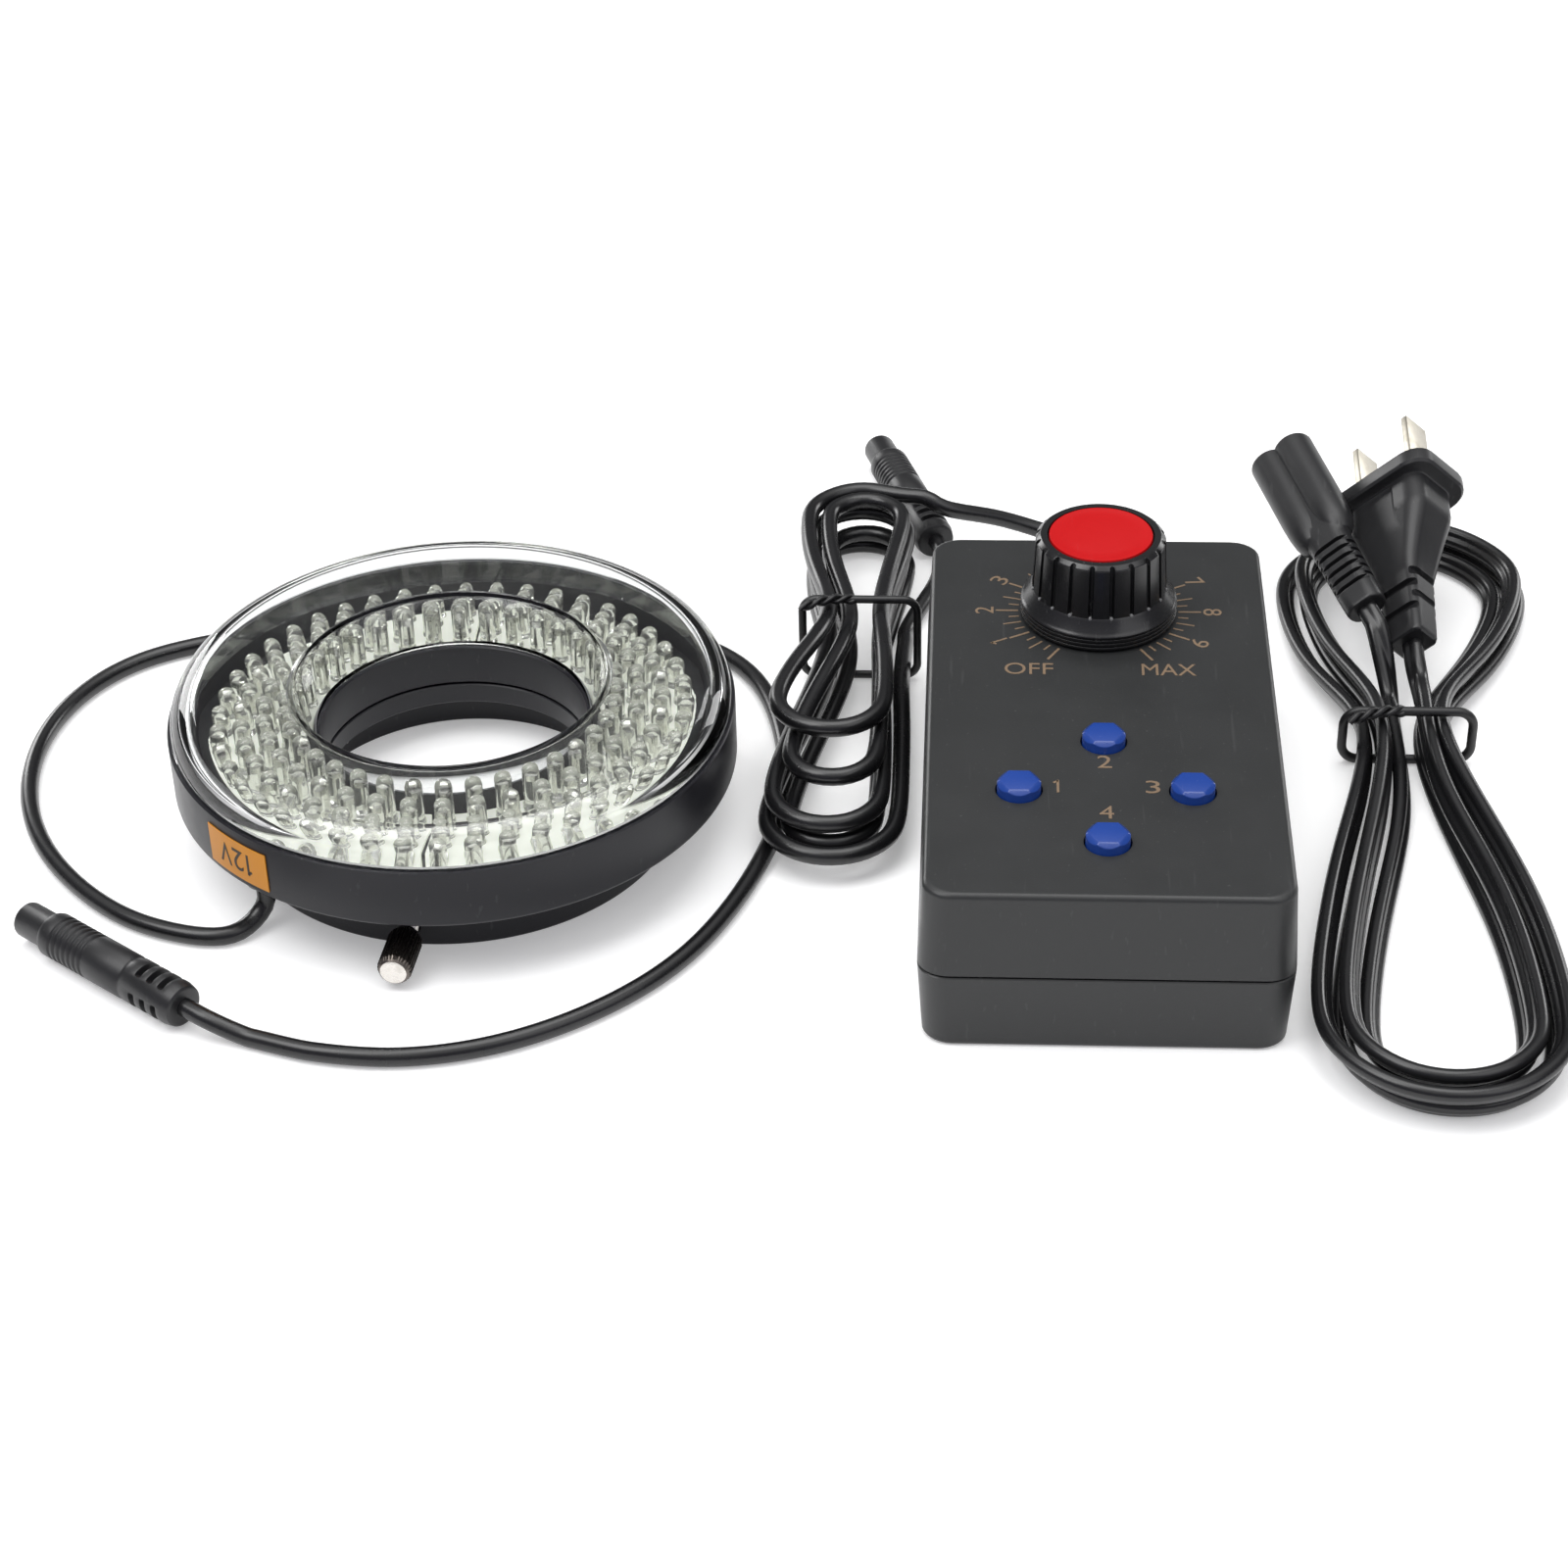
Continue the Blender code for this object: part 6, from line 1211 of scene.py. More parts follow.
def pressed(obj, chosen, ratio, centre):
    """Draws the chosen points in or out about a centre."""
    select_only(obj)
    bpy.ops.object.mode_set(mode="EDIT")
    bpy.ops.mesh.select_mode(type="VERT")
    bpy.ops.mesh.select_all(action="DESELECT")
    mesh = bmesh.from_edit_mesh(obj.data)
    for vertex in mesh.verts:
        vertex.select_set(chosen(vertex.co))
    bmesh.update_edit_mesh(obj.data)
    bpy.ops.transform.resize(value=ratio, center_override=centre)
    bpy.ops.object.mode_set(mode="OBJECT")
    return obj


def sector(name, inner, outer, low, high, sweep, steps):
    """A piece of a flat ring, spun from its upright cross section."""
    obj = plate_start(name, outer - inner, high - low, 0.00002, 1)
    bpy.ops.transform.rotate(value=pi / 2, orient_axis="X", center_override=(0, 0, 0))
    bpy.ops.transform.translate(value=((inner + outer) / 2, 0, (low + high) / 2))
    bpy.ops.mesh.spin(steps=steps, angle=sweep, center=(0, 0, 0), axis=(0, 0, 1))
    return finish_edit(obj)


def spun_way(obj, start, sweep):
    """The turn that brings a spun sector, whichever way it was spun, to start at an angle."""
    middle = sum((vertex.co for vertex in obj.data.vertices), Vector()) / len(obj.data.vertices)
    return start + sweep / 2 - atan2(middle.y, middle.x)


def screw(name, head, head_height, shank, reach):
    """A screw standing on its head, with a cross recess and thread rings."""
    profile = [(head * 0.72, 0), (head * 0.93, head_height * 0.12)]
    profile += [(head, head_height * 0.4), (head, head_height), (shank, head_height)]
    pitch = shank * 0.4
    for turn in range(int((reach - shank) / pitch)):
        low = head_height + turn * pitch
        profile += [(shank * 0.84, low + pitch * 0.35), (shank, low + pitch * 0.85)]
    profile += [(shank * 0.5, head_height + reach)]
    obj = lathe(name, profile, 32)
    cross = []
    for size in ((head * 1.15, head * 0.27, head_height), (head * 0.27, head * 1.15, head_height)):
        cross.append(block("cross", size, (0, 0, 0)))
    return shaded(combined(obj, cross))


def thumbscrew_place(sizes, turn):
    """From a piece that stands on +Z at the origin to one that points out of the collar."""
    return moved(RING_AT + Vector((0, 0, sizes.screw_height))) @ turned(turn) @ turned(pi / 2, "Y")


class RINGLIGHT_OT_ring_head(bpy.types.Operator):
    """Makes the housing, the mount collar with its screws, the label and the cord outlet"""

    bl_idname = "ringlight.ring_head"
    bl_label = "Ring head"

    def execute(self, context):
        sizes = context.scene.ringlight_ring
        self.housing(sizes)
        self.collar(sizes)
        self.label(sizes)
        self.outlet(sizes)
        return {"FINISHED"}

    def housing(self, sizes):
        outer, inner = sizes.housing_radius, sizes.housing_radius - sizes.housing_wall
        low, top, edge, bore = sizes.housing_base, sizes.housing_top, sizes.edge, sizes.bore_radius
        floor, tube = low + sizes.housing_floor, bore + sizes.tube_wall
        tube_top = low + sizes.tube_rise
        profile = [(bore, low + edge / 2), (bore + edge / 2, low)]
        profile += arc((outer - edge, low + edge), edge, -90, 0, 5)
        profile += [(outer, top - edge / 4), (outer - edge / 4, top)]
        profile += [(inner + edge / 4, top), (inner, top - edge / 4)]
        profile += arc((inner - edge, floor + edge), edge, 0, -90, 4)
        profile += arc((tube + edge / 2, floor + edge / 2), edge / 2, -90, -180, 3)
        profile += [(tube, tube_top - edge / 4), (tube - edge / 4, tube_top)]
        profile += [(bore + edge / 4, tube_top), (bore, tube_top - edge / 4)]
        body = lathe("housing_shell", profile, 160, RING_AT, closed=True)
        holes = []
        for turn in BOLT_TURNS:
            place = RING_AT + polar(BOLT_CIRCLE, turn)
            holes.append(bar("screw_hole", 0.00155, low - 0.001, low + 0.0017, 24, place[:2]))
        body = shaded(combined(body, holes))
        fitted(body, "base", "housing_black", "Housing satin black", "ring_housing")

    def collar(self, sizes):
        outer, recess, bore = sizes.collar_radius, sizes.recess_radius, sizes.bore_radius
        high, depth, edge = sizes.collar_height, sizes.recess_depth, sizes.edge
        profile = [(recess, edge / 2), (recess + edge / 2, 0)]
        profile += arc((outer - edge, edge), edge, -90, 0, 5)
        profile += [(outer, high - edge / 2), (outer - edge / 2, high)]
        profile += [(bore + edge / 4, high), (bore, high - edge / 4)]
        profile += [(bore, depth + edge / 2), (bore + edge / 2, depth), (recess, depth)]
        body = lathe("collar_shell", profile, 160, RING_AT, closed=True)
        cutters = []
        for thumbscrew, bolt in zip(THUMBSCREW_TURNS, BOLT_TURNS):
            hole = bar("thumbscrew_hole", 0.0018, recess - 0.002, outer + 0.002, 24)
            cutters.append(settled(hole, thumbscrew_place(sizes, thumbscrew)))
            at = (RING_AT + polar(BOLT_CIRCLE, bolt))[:2]
            cutters.append(bar("sink", 0.0026, -0.001, high - BOLT_SINK, 32, at))
            cutters.append(bar("bolt_hole", 0.00155, high - 0.005, high + 0.001, 24, at))
        body = shaded(softened(combined(body, cutters), 0.0001, 1, radians(60)))
        fitted(body, "base", "housing_black", "Housing satin black", "mount_collar")
        head = 0.0016
        model = screw("collar_bolt", 0.0023, head, 0.00125, 0.0054)
        for i, turn in enumerate(BOLT_TURNS, 1):
            at = RING_AT + polar(BOLT_CIRCLE, turn, high - BOLT_SINK - AIR - head)
            fit = ("base", "screw_steel", "Screw steel", f"collar_screw_{i}")
            placed(model, moved(at) @ turned(turn + 0.4), f"collar_bolt_{i}", *fit)
        discard(model)

    def label(self, sizes):
        low, high = sizes.housing_base + 0.0016, sizes.housing_base + 0.0095
        inner = sizes.housing_radius + 0.00005
        start, sweep = radians(-138.3), radians(17)
        sheet = sector("label_sheet", inner, inner + 0.00018, low, high, sweep, 16)
        settled(sheet, moved(RING_AT) @ turned(spun_way(sheet, start, sweep)))
        fitted(shaded(sheet), "base", "label_orange", "Label orange", "voltage_label")
        words = []
        middle = start + sweep / 2
        letters = (("1", -0.0034, 0.0014), ("2", -0.0006, 0.0027), ("V", 0.0028, 0.0031))
        for letter, away, width in letters:
            piece = written(f"label_{letter}", letter, width, 0.0044, 0.00006, (0, 0, 0))
            turn = middle - away / inner
            face = moved(RING_AT + polar(inner + 0.0002, turn, (low + high) / 2))
            face @= turned(turn + pi / 2) @ turned(pi / 2, "X")
            words.append(settled(piece, face @ turned(pi)))
        fitted(joined("label_letters", words), "base", "label_orange", "Label ink")

    def outlet(self, sizes):
        reach, angle = RING_OUTLET
        top = sizes.housing_base - AIR
        profile = [(0.0019, top - 0.003), (0.0028, top - 0.003)]
        profile += [(0.0031, top - 0.0028), (0.0034, top - 0.0022), (0.0034, top)]
        nub = lathe("outlet_nub", profile, 48, RING_AT + polar(reach, angle))
        fitted(shaded(nub), "base", "housing_black", "Plug black", "ring_cord_outlet")


class RINGLIGHT_OT_thumbscrews(bpy.types.Operator):
    """Makes one thumbscrew and copies it to its three places"""

    bl_idname = "ringlight.thumbscrews"
    bl_label = "Thumbscrews"

    def execute(self, context):
        sizes = context.scene.ringlight_ring
        start = sizes.collar_radius + 0.0026
        end = start + 0.0107
        tip = sizes.recess_radius - 0.001
        thread = [(0.0005, tip), (0.0009, tip + 0.0001), (0.00125, tip + 0.0006)]
        for turn in range(28):
            low = tip + 0.0008 + turn * 0.0005
            thread += [(0.0015, low), (0.00124, low + 0.00025)]
        thread += [(0.0015, start), (0.0015, start + 0.004)]
        stem = shaded(lathe("screw_stem", thread, 32), radians(50))
        radius, knurls = sizes.screw_head, sizes.knurls
        profile = [(0.0018, start + 0.0043), (0.0018, start), (radius - 0.0009, start)]
        profile += [(radius - 0.0007, start + 0.0006), (radius - 0.0004, start + 0.0011)]
        profile += [(radius, start + 0.0016), (radius, start + 0.00161)]
        profile += [(radius, end - 0.00101), (radius, end - 0.001)]
        profile += [(radius - 0.0004, end - 0.0003), (radius - 0.0007, end)]
        head = lathe("screw_head", profile, 4 * knurls)

        def in_groove(point):
            share = atan2(point.y, point.x) / (2 * pi) * knurls % 1
            outside = hypot(point.x, point.y) > radius * 0.9
            return outside and share > 0.45 and start + 0.0015 < point.z < end - 0.0009

        pressed(head, in_groove, (0.935, 0.935, 1), (0, 0, 0))
        head = shaded(head, radians(22))
        profile = [(radius - 0.0007, end - 0.0004), (radius - 0.00075, end + 0.00002)]
        profile += [(radius - 0.0012, end + 0.0001), (0.0004, end + 0.00013)]
        face = shaded(lathe("screw_face", profile, 48))
        for i, turn in enumerate(THUMBSCREW_TURNS, 1):
            place = thumbscrew_place(sizes, turn)
            on_stem, on_head = (f"screw_{i}_stem", "nickel"), (f"screw_{i}_head", "nickel")
            placed(stem, place, f"screw_stem_{i}", *on_stem, "Nickel", f"thumbscrew_stem_{i}")
            placed(head, place, f"screw_grip_{i}", *on_head, "Black nickel", f"thumbscrew_head_{i}")
            placed(face, place, f"screw_face_{i}", *on_head, "Nickel")
        discard(stem, head, face)
        return {"FINISHED"}


class RINGLIGHT_OT_lamps(bpy.types.Operator):
    """Makes the lamp board and its four zones of lamps"""

    bl_idname = "ringlight.lamps"
    bl_label = "Lamps"

    def execute(self, context):
        sizes = context.scene.ringlight_ring
        floor = sizes.housing_base + sizes.housing_floor + AIR
        inner = sizes.bore_radius + sizes.tube_wall + AIR
        outer = sizes.housing_radius - sizes.housing_wall - 0.0008
        edge, top = 0.0001, floor + 0.0016
        profile = [(inner, floor + edge), (inner + edge, floor)]
        profile += [(outer - edge, floor), (outer, floor + edge)]
        profile += [(outer, top - edge), (outer - edge, top)]
        profile += [(inner + edge, top), (inner, top - edge)]
        board = lathe("lamp_carrier", profile, 128, RING_AT, closed=True)
        fitted(shaded(board), "base", "board_green", "Lamp board black", "lamp_board")
        split = radians(0.6)
        sweep = pi / 2 - 2 * split
        inner, outer = sizes.inner_row - 0.0024, sizes.outer_row + 0.0024
        holder = sector("holder", inner, outer, top + AIR, sizes.holder_top, sweep, 40)
        settled(holder, turned(spun_way(holder, split, sweep)))
        holder = shaded(softened(holder, 0.00015, 2))
        lamps, frames = [], []
        for row, count in enumerate(LAMPS_IN_ROW):
            share = row / (len(LAMPS_IN_ROW) - 1)
            reach = sizes.inner_row + (sizes.outer_row - sizes.inner_row) * share
            tip = sizes.inner_tip + (sizes.outer_tip - sizes.inner_tip) * share
            model, lead = self.lamp(sizes.lamp_radius, sizes.holder_top, tip)
            for i in range(count // 4):
                angle = 2 * pi * (i + 0.5) / count
                at = moved(polar(reach, angle)) @ turned(angle + i * 2.4 + row)
                lamps.append(copied(model, at))
                frames.append(copied(lead, at))
            discard(model, lead)
        lamps, frames = joined("lamps", lamps), joined("frames", frames)
        for zone in range(1, 5):
            turn = moved(RING_AT) @ turned((zone - 1) * pi / 2)
            fit = ("base", "lamp_clear")
            placed(lamps, turn, f"bulbs_{zone}", *fit, "Lamp clear", f"lamp_zone_{zone}")
            placed(frames, turn, f"lamp_leads_{zone}", *fit, "Lead frame")
            # The holders carry a painted glow from their emission, not light from a lamp.
            placed(holder, turn, f"lamp_holder_{zone}", *fit, "Holder white")
        discard(lamps, frames, holder)
        return {"FINISHED"}

    def lamp(self, radius, low, tip):
        """A clear bullet with a foot ring, and the lead frame inside it."""
        foot = low + 0.00005
        shoulder = tip - radius * 0.95
        rings = [(radius * 1.12, foot), (radius * 1.12, foot + 0.0006), (radius, foot + 0.0007)]
        rings += [(radius, shoulder), (radius * 0.87, shoulder + radius * 0.5)]
        rings += [(radius * 0.55, shoulder + radius * 0.82), (0, tip)]
        bullet = circle_start("bullet", rings[0][0], 12, (0, 0, foot))
        grow([(reach, reach, height) for reach, height in rings])
        bullet = shaded(finish_edit(bullet), radians(50))
        size = (radius * 0.9, radius * 0.55, radius * 0.75)
        cup = block("cup", size, (radius * 0.12, 0, shoulder - radius * 0.9))
        size = (radius * 0.3, radius * 0.4, radius * 1.1)
        post = block("post", size, (-radius * 0.6, 0, shoulder - radius * 0.8))
        neck = shoulder - radius * 1.2
        size, middle = (radius * 0.2, radius * 0.2, neck - foot), (neck + foot) / 2
        legs = [block("leg", size, (x, 0, middle)) for x in (radius * 0.2, -radius * 0.6)]
        return bullet, joined("lead", [cup, post, *legs])


class RINGLIGHT_OT_cover(bpy.types.Operator):
    """Makes the clear cover over the lamps"""

    bl_idname = "ringlight.cover"
    bl_label = "Clear cover"

    def execute(self, context):
        sizes = context.scene.ringlight_ring
        top, wall, hole = sizes.cover_top, sizes.cover_wall, sizes.cover_hole
        low, base = sizes.housing_base + sizes.tube_rise + AIR, sizes.housing_top + AIR
        foot = sizes.bore_radius + 0.0005
        under = top - 0.0016
        outer, roundness = sizes.cover_radius, sizes.cover_round
        spigot = sizes.housing_radius - sizes.housing_wall - AIR
        under_hole = foot + (hole - foot) * (under - low) / (top - low) + wall
        profile = [(foot, low), (foot + 0.0002, low - 0.00005), (foot + wall, low)]
        profile += [(under_hole - 0.0002, under - 0.0006), (under_hole + 0.0005, under)]
        profile += arc((spigot - wall - 0.003, under - 0.003), 0.003, 90, 0, 8)
        profile += [(spigot - wall, base - 0.0029), (spigot, base - 0.0029), (spigot, base)]
        profile += [(outer - 0.0002, base), (outer, base + 0.0002)]
        profile += arc((outer - roundness, top - roundness), roundness, 0, 90, 14)
        profile += arc((hole + 0.0005, top - 0.0005), 0.0005, 90, 170, 4)
        cover = shaded(lathe("cover_glass", profile, 180, RING_AT, closed=True), radians(30))
        fitted(cover, "base", "clear_plastic", "Clear cover", "clear_cover")
        return {"FINISHED"}


# Control box

CASE_SINK = 0.006
INLET = (-0.014, 0.0083)
DIAL_START = 240


def corner_plate(name, sections, corner, steps):
    """A body through rounded rectangles that share one corner radius."""
    width, depth, low = sections[0]
    obj = plate_start(name, width, depth, corner, steps, (*BOX_AT[:2], low))
    grow(sections, BOX_AT)
    return finish_edit(obj)


def box_bar(name, radius, low, high, place, sides=32):
    return bar(name, radius, low, high, sides, (BOX_AT.x + place[0], BOX_AT.y + place[1]))


class RINGLIGHT_OT_case(bpy.types.Operator):
    """Makes the two shells of the box and their screws"""

    bl_idname = "ringlight.case"
    bl_label = "Upper and lower halves"

    def execute(self, context):
        sizes = context.scene.ringlight_box
        self.top(sizes)
        self.bottom(sizes)
        head = 0.0018
        model = screw("case_bolt", 0.0025, head, 0.0013, 0.01595)
        for i, (x, y) in enumerate(post_places(sizes), 1):
            at = BOX_AT + Vector((x, y, CASE_SINK - AIR - head))
            fit = ("base", "screw_steel", "Screw steel", f"case_screw_{i}")
            placed(model, moved(at) @ turned(0.3 + 0.8 * (i - 1)), f"case_bolt_{i}", *fit)
        discard(model)
        return {"FINISHED"}

    def shell(self, name, sizes, seam, outside, inside):
        """A shell from its inner face, round the seam, to its closed outer face."""
        up = 1 if outside > seam else -1
        draft, wall, edge = sizes.draft, sizes.wall, sizes.edge
        steps = [(draft + wall + 0.001, inside), (draft + wall, inside - up * 0.001), (wall, seam)]
        steps += [(0.0002, seam), (0, seam + up * 0.0002)]
        steps += arc((draft + edge, outside - up * edge), edge, 180, 180 - up * 90, 6)
        width, depth = sizes.width, sizes.depth
        sections = [(width - 2 * inset, depth - 2 * inset, height) for inset, height in steps]
        return corner_plate(name, sections, sizes.corner, 8)

    def top(self, sizes):
        seam, high = sizes.seam + AIR / 2, sizes.height
        shell = self.shell("case_lid", sizes, seam, high, high - sizes.wall)
        cutters = [box_bar("bushing_hole", 0.0037, high - 0.004, high + 0.001, (0, sizes.knob_y))]
        radius = sizes.button_radius + AIR
        for place in button_places(sizes):
            cutters.append(box_bar("button_hole", radius, high - 0.004, high + 0.001, place, 48))
        shell = softened(combined(shell, cutters), 0.00018, 2, radians(60))
        posts = []
        for place in post_places(sizes):
            post = box_bar("post", 0.0034, seam, high - sizes.wall + 0.0005, place)
            pilot = box_bar("pilot", 0.0016, seam - 0.001, seam + 0.0068, place, 24)
            posts.append(combined(post, [pilot]))
        shell = shaded(joined("case_lid", [shell, *posts]), radians(30), flats=True)
        fitted(shell, "base", "case_charcoal", "Charcoal grain", "case_top")

    def bottom(self, sizes):
        seam = sizes.seam - AIR / 2
        shell = self.shell("case_tub", sizes, seam, 0, sizes.wall)
        foot = sizes.wall - 0.0005
        posts = [box_bar("post", 0.0034, foot, seam, place) for place in post_places(sizes)]
        shell = combined(shell, posts, "UNION")
        cutters = []
        for place in post_places(sizes):
            cutters.append(box_bar("sink", 0.0028, -0.001, CASE_SINK, place))
            cutters.append(box_bar("bolt_hole", 0.0016, 0.005, seam + 0.001, place, 24))
        back = BOX_AT.y + sizes.depth / 2
        at = (BOX_AT.x + INLET[0], back, INLET[1])
        cutters.append(block("inlet_hole", (0.0184, 0.01, 0.012), at, 0.0006))
        neck = bar("gland_hole", 0.004, -0.005, 0.005, 32)
        turn = moved((BOX_AT.x + GLAND[0], back, GLAND[2])) @ turned(pi / 2, "X")
        cutters.append(settled(neck, turn))
        shell = softened(combined(shell, cutters), 0.00015, 2, radians(60))
        shell = shaded(shell, radians(30), flats=True)
        fitted(shell, "base", "case_charcoal", "Charcoal grain", "case_bottom")


def post_places(sizes):
    x, y = sizes.width / 2 - sizes.post_inset, sizes.depth / 2 - sizes.post_inset
    return [(-x, -y), (x, -y), (x, y), (-x, y)]


def button_places(sizes):
    pitch, y = sizes.button_pitch, sizes.button_y
    return [(-pitch, y), (0, y + pitch), (pitch, y), (0, y - pitch)]


class RINGLIGHT_OT_dial(bpy.types.Operator):
    """Prints the dial, its numbers and the button numbers on the lid"""

    bl_idname = "ringlight.dial"
    bl_label = "Dial print"

    def execute(self, context):
        sizes = context.scene.ringlight_box
        centre = BOX_AT + Vector((0, sizes.knob_y, 0))
        thick = sizes.print_height
        level = sizes.height + thick / 2
        start, end = sizes.knob_skirt + 0.0004, sizes.dial_radius
        marks = []
        for step in range(41):
            reach = (end, start + 0.0019, end - 0.0008, start + 0.0019)[step % 4]
            width = 0.00046 if step % 4 == 0 else 0.00036
            mark = block("tick", (reach - start, width, thick), ((start + reach) / 2, 0, level))
            marks.append(settled(mark, moved(centre) @ turned(radians(DIAL_START - 7.5 * step))))
        for number in range(1, 10):
            angle = radians(DIAL_START - 30 * number)
            width = 0.0013 if number == 1 else 0.0023
            at = centre + polar(sizes.numeral_radius, angle, level)
            marks.append(written("number", str(number), width, 0.0034, thick, at, angle - pi / 2))
        for words, x, y, width in (
            ("OFF", -0.01295, 0.0114, 0.0088), ("MAX", 0.0123, 0.0115, 0.0098),
            ("2", 0, -0.0178, 0.0025), ("1", -0.0084, -0.0253, 0.0014),
            ("3", 0.0081, -0.0252, 0.0025), ("4", 0, -0.0328, 0.0025),
        ):
            at = BOX_AT + Vector((x, y, level))
            marks.append(written("words", words, width, 0.0037, thick, at))
        fitted(joined("dial_print", marks), "base", "case_charcoal", "Copper print")
        return {"FINISHED"}


class RINGLIGHT_OT_knob(bpy.types.Operator):
    """Makes the fluted knob, its painted highlight dots at the groove feet, and its red cap"""

    bl_idname = "ringlight.knob"
    bl_label = "Knob"

    def execute(self, context):
        sizes = context.scene.ringlight_box
        base = sizes.height + 0.0004
        top = base + 0.0162
        skirt, cap = sizes.knob_skirt, sizes.cap_radius
        grip, foot, foot_height = sizes.knob_radius, sizes.knob_foot, base + 0.0057
        axis = BOX_AT + Vector((0, sizes.knob_y, 0))
        profile = [(skirt - 0.0003, base), (skirt, base + 0.0003)]
        for ridge in range(3):
            low = base + 0.0007 + ridge * 0.0008
            profile += [(skirt, low), (skirt - 0.0003, low + 0.0001)]
            profile += [(skirt - 0.0003, low + 0.0003), (skirt, low + 0.0004)]
        profile += [(skirt, base + 0.0029), (skirt - 0.0002, base + 0.0032)]
        profile += [(skirt - 0.0006, base + 0.0035), (foot + 0.0003, base + 0.0053)]
        profile += [(foot, foot_height)]
        profile += [(grip, top - 0.0009), (grip - 0.0002, top - 0.0006), (grip - 0.0009, top)]
        body = lathe("knob_grip", profile, 160)
        profile = [(0.0085, base - 0.001), (0.0085, base + 0.0048)]
        hollow = lathe("hollow", profile + [(0.0031, base + 0.00481), (0.0031, base + 0.0131)], 48)
        recess = bar("recess", cap + AIR, top - 0.0015, top + 0.001, 96)
        slope = atan2(foot - grip, top - base - 0.0066)
        flute = block("flute", (0.0024, 0.00095, 0.0124), (0, 0, 0.0062), 0.0003, 1)
        lean = moved((foot + 0.00045, 0, base + 0.0056)) @ turned(-slope, "Y")
        flutes = self.ring_of(flute, "flutes", lean, sizes.knob_flutes)
        body = combined(body, [hollow, recess, flutes])
        body = shaded(softened(body, 0.00022, 2, radians(50)), radians(32), flats=True)
        settled(body, moved(axis))
        fitted(body, "knob", "knob_black", "Knob black", "dimmer_knob")
        # Pale grey dots at the groove feet are painted highlights, standing in for glints where the
        # grooves meet the skirt.
        dot = softened(bar("dot", 0.0003, -0.0003, 0.0002, 12), 0.0001)
        outward = moved((foot, 0, foot_height)) @ turned(pi / 2, "Y")
        glint_dots = settled(self.ring_of(dot, "groove_dots", outward, sizes.knob_flutes), moved(axis))
        fitted(glint_dots, "knob", "knob_black", "Painted glint grey")
        dome = [(cap - 0.0003, top - 0.0012), (cap, top - 0.001)]
        dome += [(cap, top - 0.0001), (cap - 0.00012, top + 0.00012)]
        dome += [(cap - 0.0005, top + 0.00016), (cap - 0.0008, top + 0.00008)]
        dome += [(cap * 0.7, top + 0.00022), (cap * 0.35, top + 0.00036)]
        dome += [(cap * 0.02, top + 0.0004)]
        disc = settled(shaded(lathe("red_cap", dome, 96), radians(40)), moved(axis))
        fitted(disc, "knob", "cap_red", "Cap red", "knob_cap")
        return {"FINISHED"}

    def ring_of(self, model, name, place, count):
        """Copies of a model between the ribs of the grip, as one piece."""
        copies = [copied(model, turned(2 * pi * (i + 0.5) / count) @ place) for i in range(count)]
        discard(model)
        return joined(name, copies)


class RINGLIGHT_OT_buttons(bpy.types.Operator):
    """Makes one zone button and copies it to its four places"""

    bl_idname = "ringlight.buttons"
    bl_label = "Zone buttons"

    def execute(self, context):
        sizes = context.scene.ringlight_box
        radius = sizes.button_radius
        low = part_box("zone_button_1")[0].z
        flange = sizes.height - sizes.wall - AIR
        edge, top = sizes.height + 0.0013, sizes.height + 0.002
        profile = [(0.0017, low), (0.0017, flange - 0.0014), (0.0048, flange - 0.0014)]
        profile += [(0.0048, flange), (radius, flange), (radius, top)]
        model = lathe("button_body", profile, 48)
        select_only(model)
        bpy.ops.object.mode_set(mode="EDIT")
        flat, rise = radius * 0.75, top - edge
        for side in range(6):
            angle = radians(30 + 60 * side)
            normal = Vector((rise * cos(angle), rise * sin(angle), radius - flat)).normalized()
            bpy.ops.mesh.select_all(action="SELECT")
            bpy.ops.mesh.bisect(
                plane_co=polar(flat, angle, top), plane_no=normal,
                use_fill=True, clear_outer=True, threshold=MERGE,
            )
        finish_edit(model)
        model = shaded(softened(model, 0.00012, 2, radians(12)), radians(28))
        for i, (x, y) in enumerate(button_places(sizes), 1):
            fit = (f"button_{i}", "button_blue", "Button blue", f"zone_button_{i}")
            placed(model, moved(BOX_AT + Vector((x, y, 0))), f"button_{i}_blue", *fit)
        discard(model)
        return {"FINISHED"}


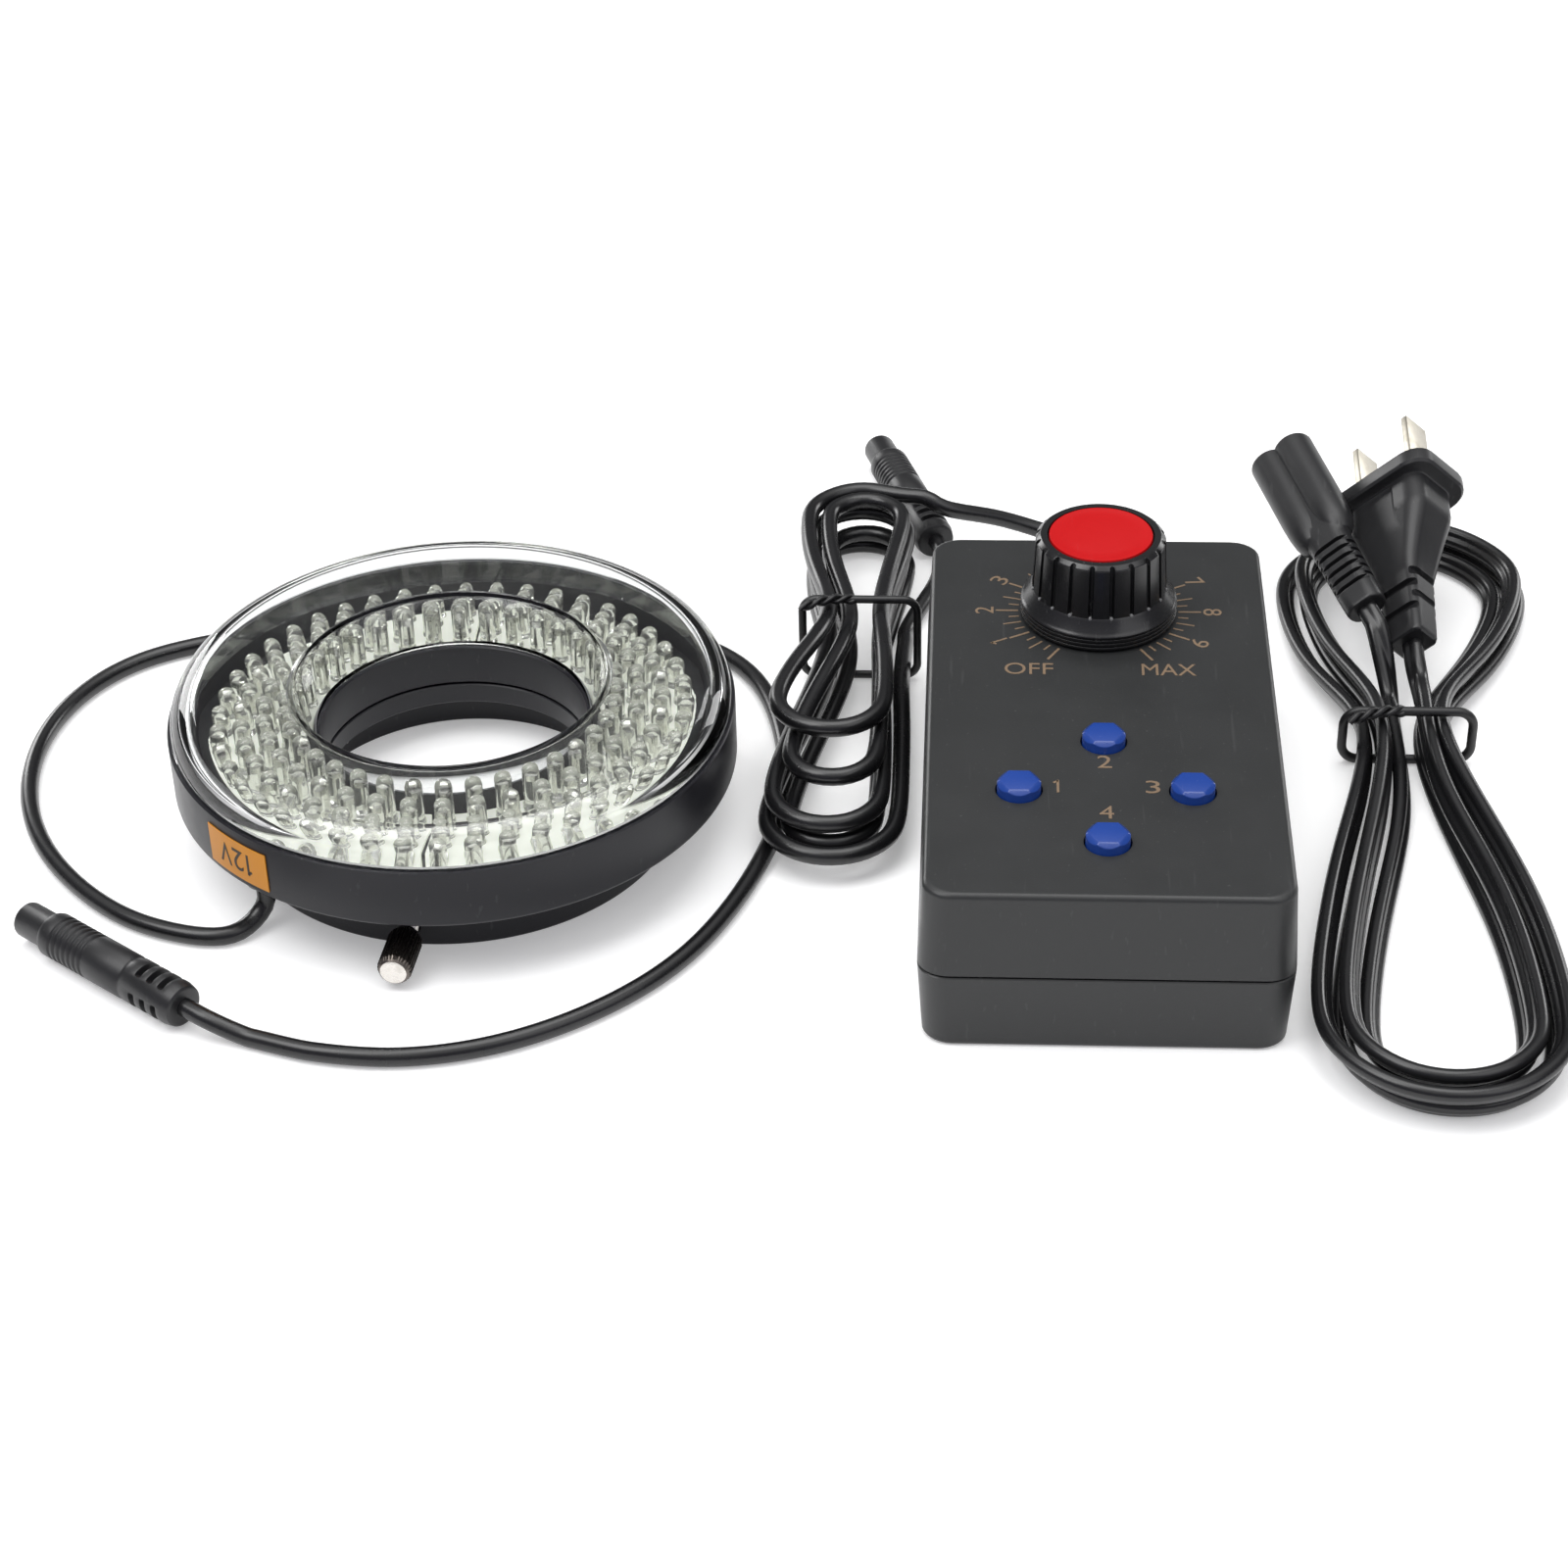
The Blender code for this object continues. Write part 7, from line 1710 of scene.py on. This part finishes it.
class RINGLIGHT_OT_back_panel(bpy.types.Operator):
    """Makes the mains inlet and the gland in the back wall"""

    bl_idname = "ringlight.back_panel"
    bl_label = "Inlet and gland"

    def execute(self, context):
        sizes = context.scene.ringlight_box
        x, z = BOX_AT.x + INLET[0], INLET[1]
        wall = BOX_AT.y + sizes.depth / 2
        face = wall + AIR + 0.0014
        flange = block("inlet_flange", (0.0202, 0.0014, 0.0138), (x, face - 0.0007, z), 0.0004, 3)
        body = block("inlet_body", (0.0178, 0.0150, 0.0114), (x, face - 0.0086, z), 0.0003)
        body = combined(flange, [body], "UNION")
        middle = face - 0.00525
        sockets = [block("socket", (0.0058, 0.0145, 0.0089), (x, middle, z))]
        turn = turned(pi / 2, "X")
        for side in (-1, 1):
            lobe = bar("lobe", 0.00445, -0.00725, 0.00725, 40)
            sockets.append(settled(lobe, moved((x + side * 0.0029, middle, z)) @ turn))
        body = shaded(softened(combined(body, sockets), 0.00015, 2, radians(50)))
        fitted(body, "base", "case_charcoal", "Inlet black", "mains_inlet")
        pins = []
        profile = [(0.0012, 0), (0.0012, 0.0085), (0.001, 0.009), (0.0006, 0.0093)]
        for side in (-1, 1):
            pin = lathe("inlet_pin", profile, 24)
            place = moved((x + side * 0.0043, face - 0.0128, z)) @ turned(-pi / 2, "X")
            pins.append(settled(pin, place))
        fitted(shaded(joined("inlet_pins", pins)), "base", "blade_metal", "Blade metal")
        inner = wall - sizes.wall - sizes.draft - AIR - BOX_AT.y
        outer = wall + AIR - BOX_AT.y
        end = GLAND[1]
        profile = [(0.0048, inner - 0.0016), (0.0048, inner), (0.0037, inner)]
        profile += [(0.0037, outer), (0.0046, outer)]
        profile += [(0.0048, outer + 0.0003), (0.0048, outer + 0.0012)]
        profile += [(0.0045, outer + 0.0016), (0.0034, outer + 0.0017)]
        for ring in range(4):
            low = outer + 0.0022 + ring * 0.0016
            size = 0.0033 - ring * 0.00018
            profile += [(size, low), (size - 0.0005, low + 0.0002)]
            profile += [(size - 0.00052, low + 0.0007), (size - 0.00008, low + 0.0009)]
        profile += [(0.0026, end - 0.0003), (0.0024, end)]
        gland = lathe("gland_body", profile, 40)
        settled(gland, moved(BOX_AT + Vector((GLAND[0], 0, GLAND[2]))) @ turned(-pi / 2, "X"))
        fitted(shaded(gland), "base", "cord_black", "Plug black", "output_gland")
        return {"FINISHED"}


class RINGLIGHT_OT_inner_parts(bpy.types.Operator):
    """Gives the parts inside the box their finishes"""

    bl_idname = "ringlight.inner_parts"
    bl_label = "Inner parts"

    def execute(self, context):
        finishes = {"main_board": "Board green", "power_transformer": "Transformer core"}
        finishes |= {"filter_capacitor": "Capacitor sleeve"}
        finishes |= {name: "Nickel" for name in ("dimmer_body", "dimmer_nut", "dimmer_shaft")}
        finishes |= {f"zone_switch_{i}": "Switch black" for i in range(1, 5)}
        for name, made_of in finishes.items():
            for slot in bpy.data.objects[name].material_slots:
                slot.material = finish(made_of)
        return {"FINISHED"}


class RINGLIGHT_PT_panel(bpy.types.Panel):
    """Lists the pieces of the ring light"""

    bl_idname = "RINGLIGHT_PT_panel"
    bl_label = "Ring light"
    bl_space_type = "VIEW_3D"
    bl_region_type = "UI"
    bl_category = "Ring light"

    def draw(self, context):
        for name in STEPS:
            self.layout.operator(f"ringlight.{name}")
        for name, _ in SETTINGS:
            group = getattr(context.scene, f"ringlight_{name}")
            box = self.layout.box()
            for key in group.__annotations__:
                box.prop(group, key)


STEPS = (
    "finishes", "stage", "cords", "ring_head", "thumbscrews", "lamps", "cover",
    "case", "dial", "knob", "buttons", "back_panel", "inner_parts",
)
SETTINGS = (
    ("ring", RingSizes), ("box", BoxSizes), ("cords", CordSizes),
    ("finishes", Finishes), ("stage", StageSettings),
)
CLASSES = (
    RINGLIGHT_OT_finishes, RINGLIGHT_OT_stage, RINGLIGHT_OT_cords, RINGLIGHT_OT_ring_head,
    RINGLIGHT_OT_thumbscrews, RINGLIGHT_OT_lamps, RINGLIGHT_OT_cover, RINGLIGHT_OT_case,
    RINGLIGHT_OT_dial, RINGLIGHT_OT_knob, RINGLIGHT_OT_buttons, RINGLIGHT_OT_back_panel,
    RINGLIGHT_OT_inner_parts, RINGLIGHT_PT_panel,
)


def register():
    for name, group in SETTINGS:
        bpy.utils.register_class(group)
        setattr(bpy.types.Scene, f"ringlight_{name}", PointerProperty(type=group))
    for item in CLASSES:
        bpy.utils.register_class(item)


def unregister():
    for item in reversed(CLASSES):
        bpy.utils.unregister_class(item)
    for name, group in reversed(SETTINGS):
        delattr(bpy.types.Scene, f"ringlight_{name}")
        bpy.utils.unregister_class(group)


def main():
    register()
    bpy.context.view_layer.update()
    for name in STEPS:
        getattr(bpy.ops.ringlight, name)()


if __name__ == "__main__":
    main()
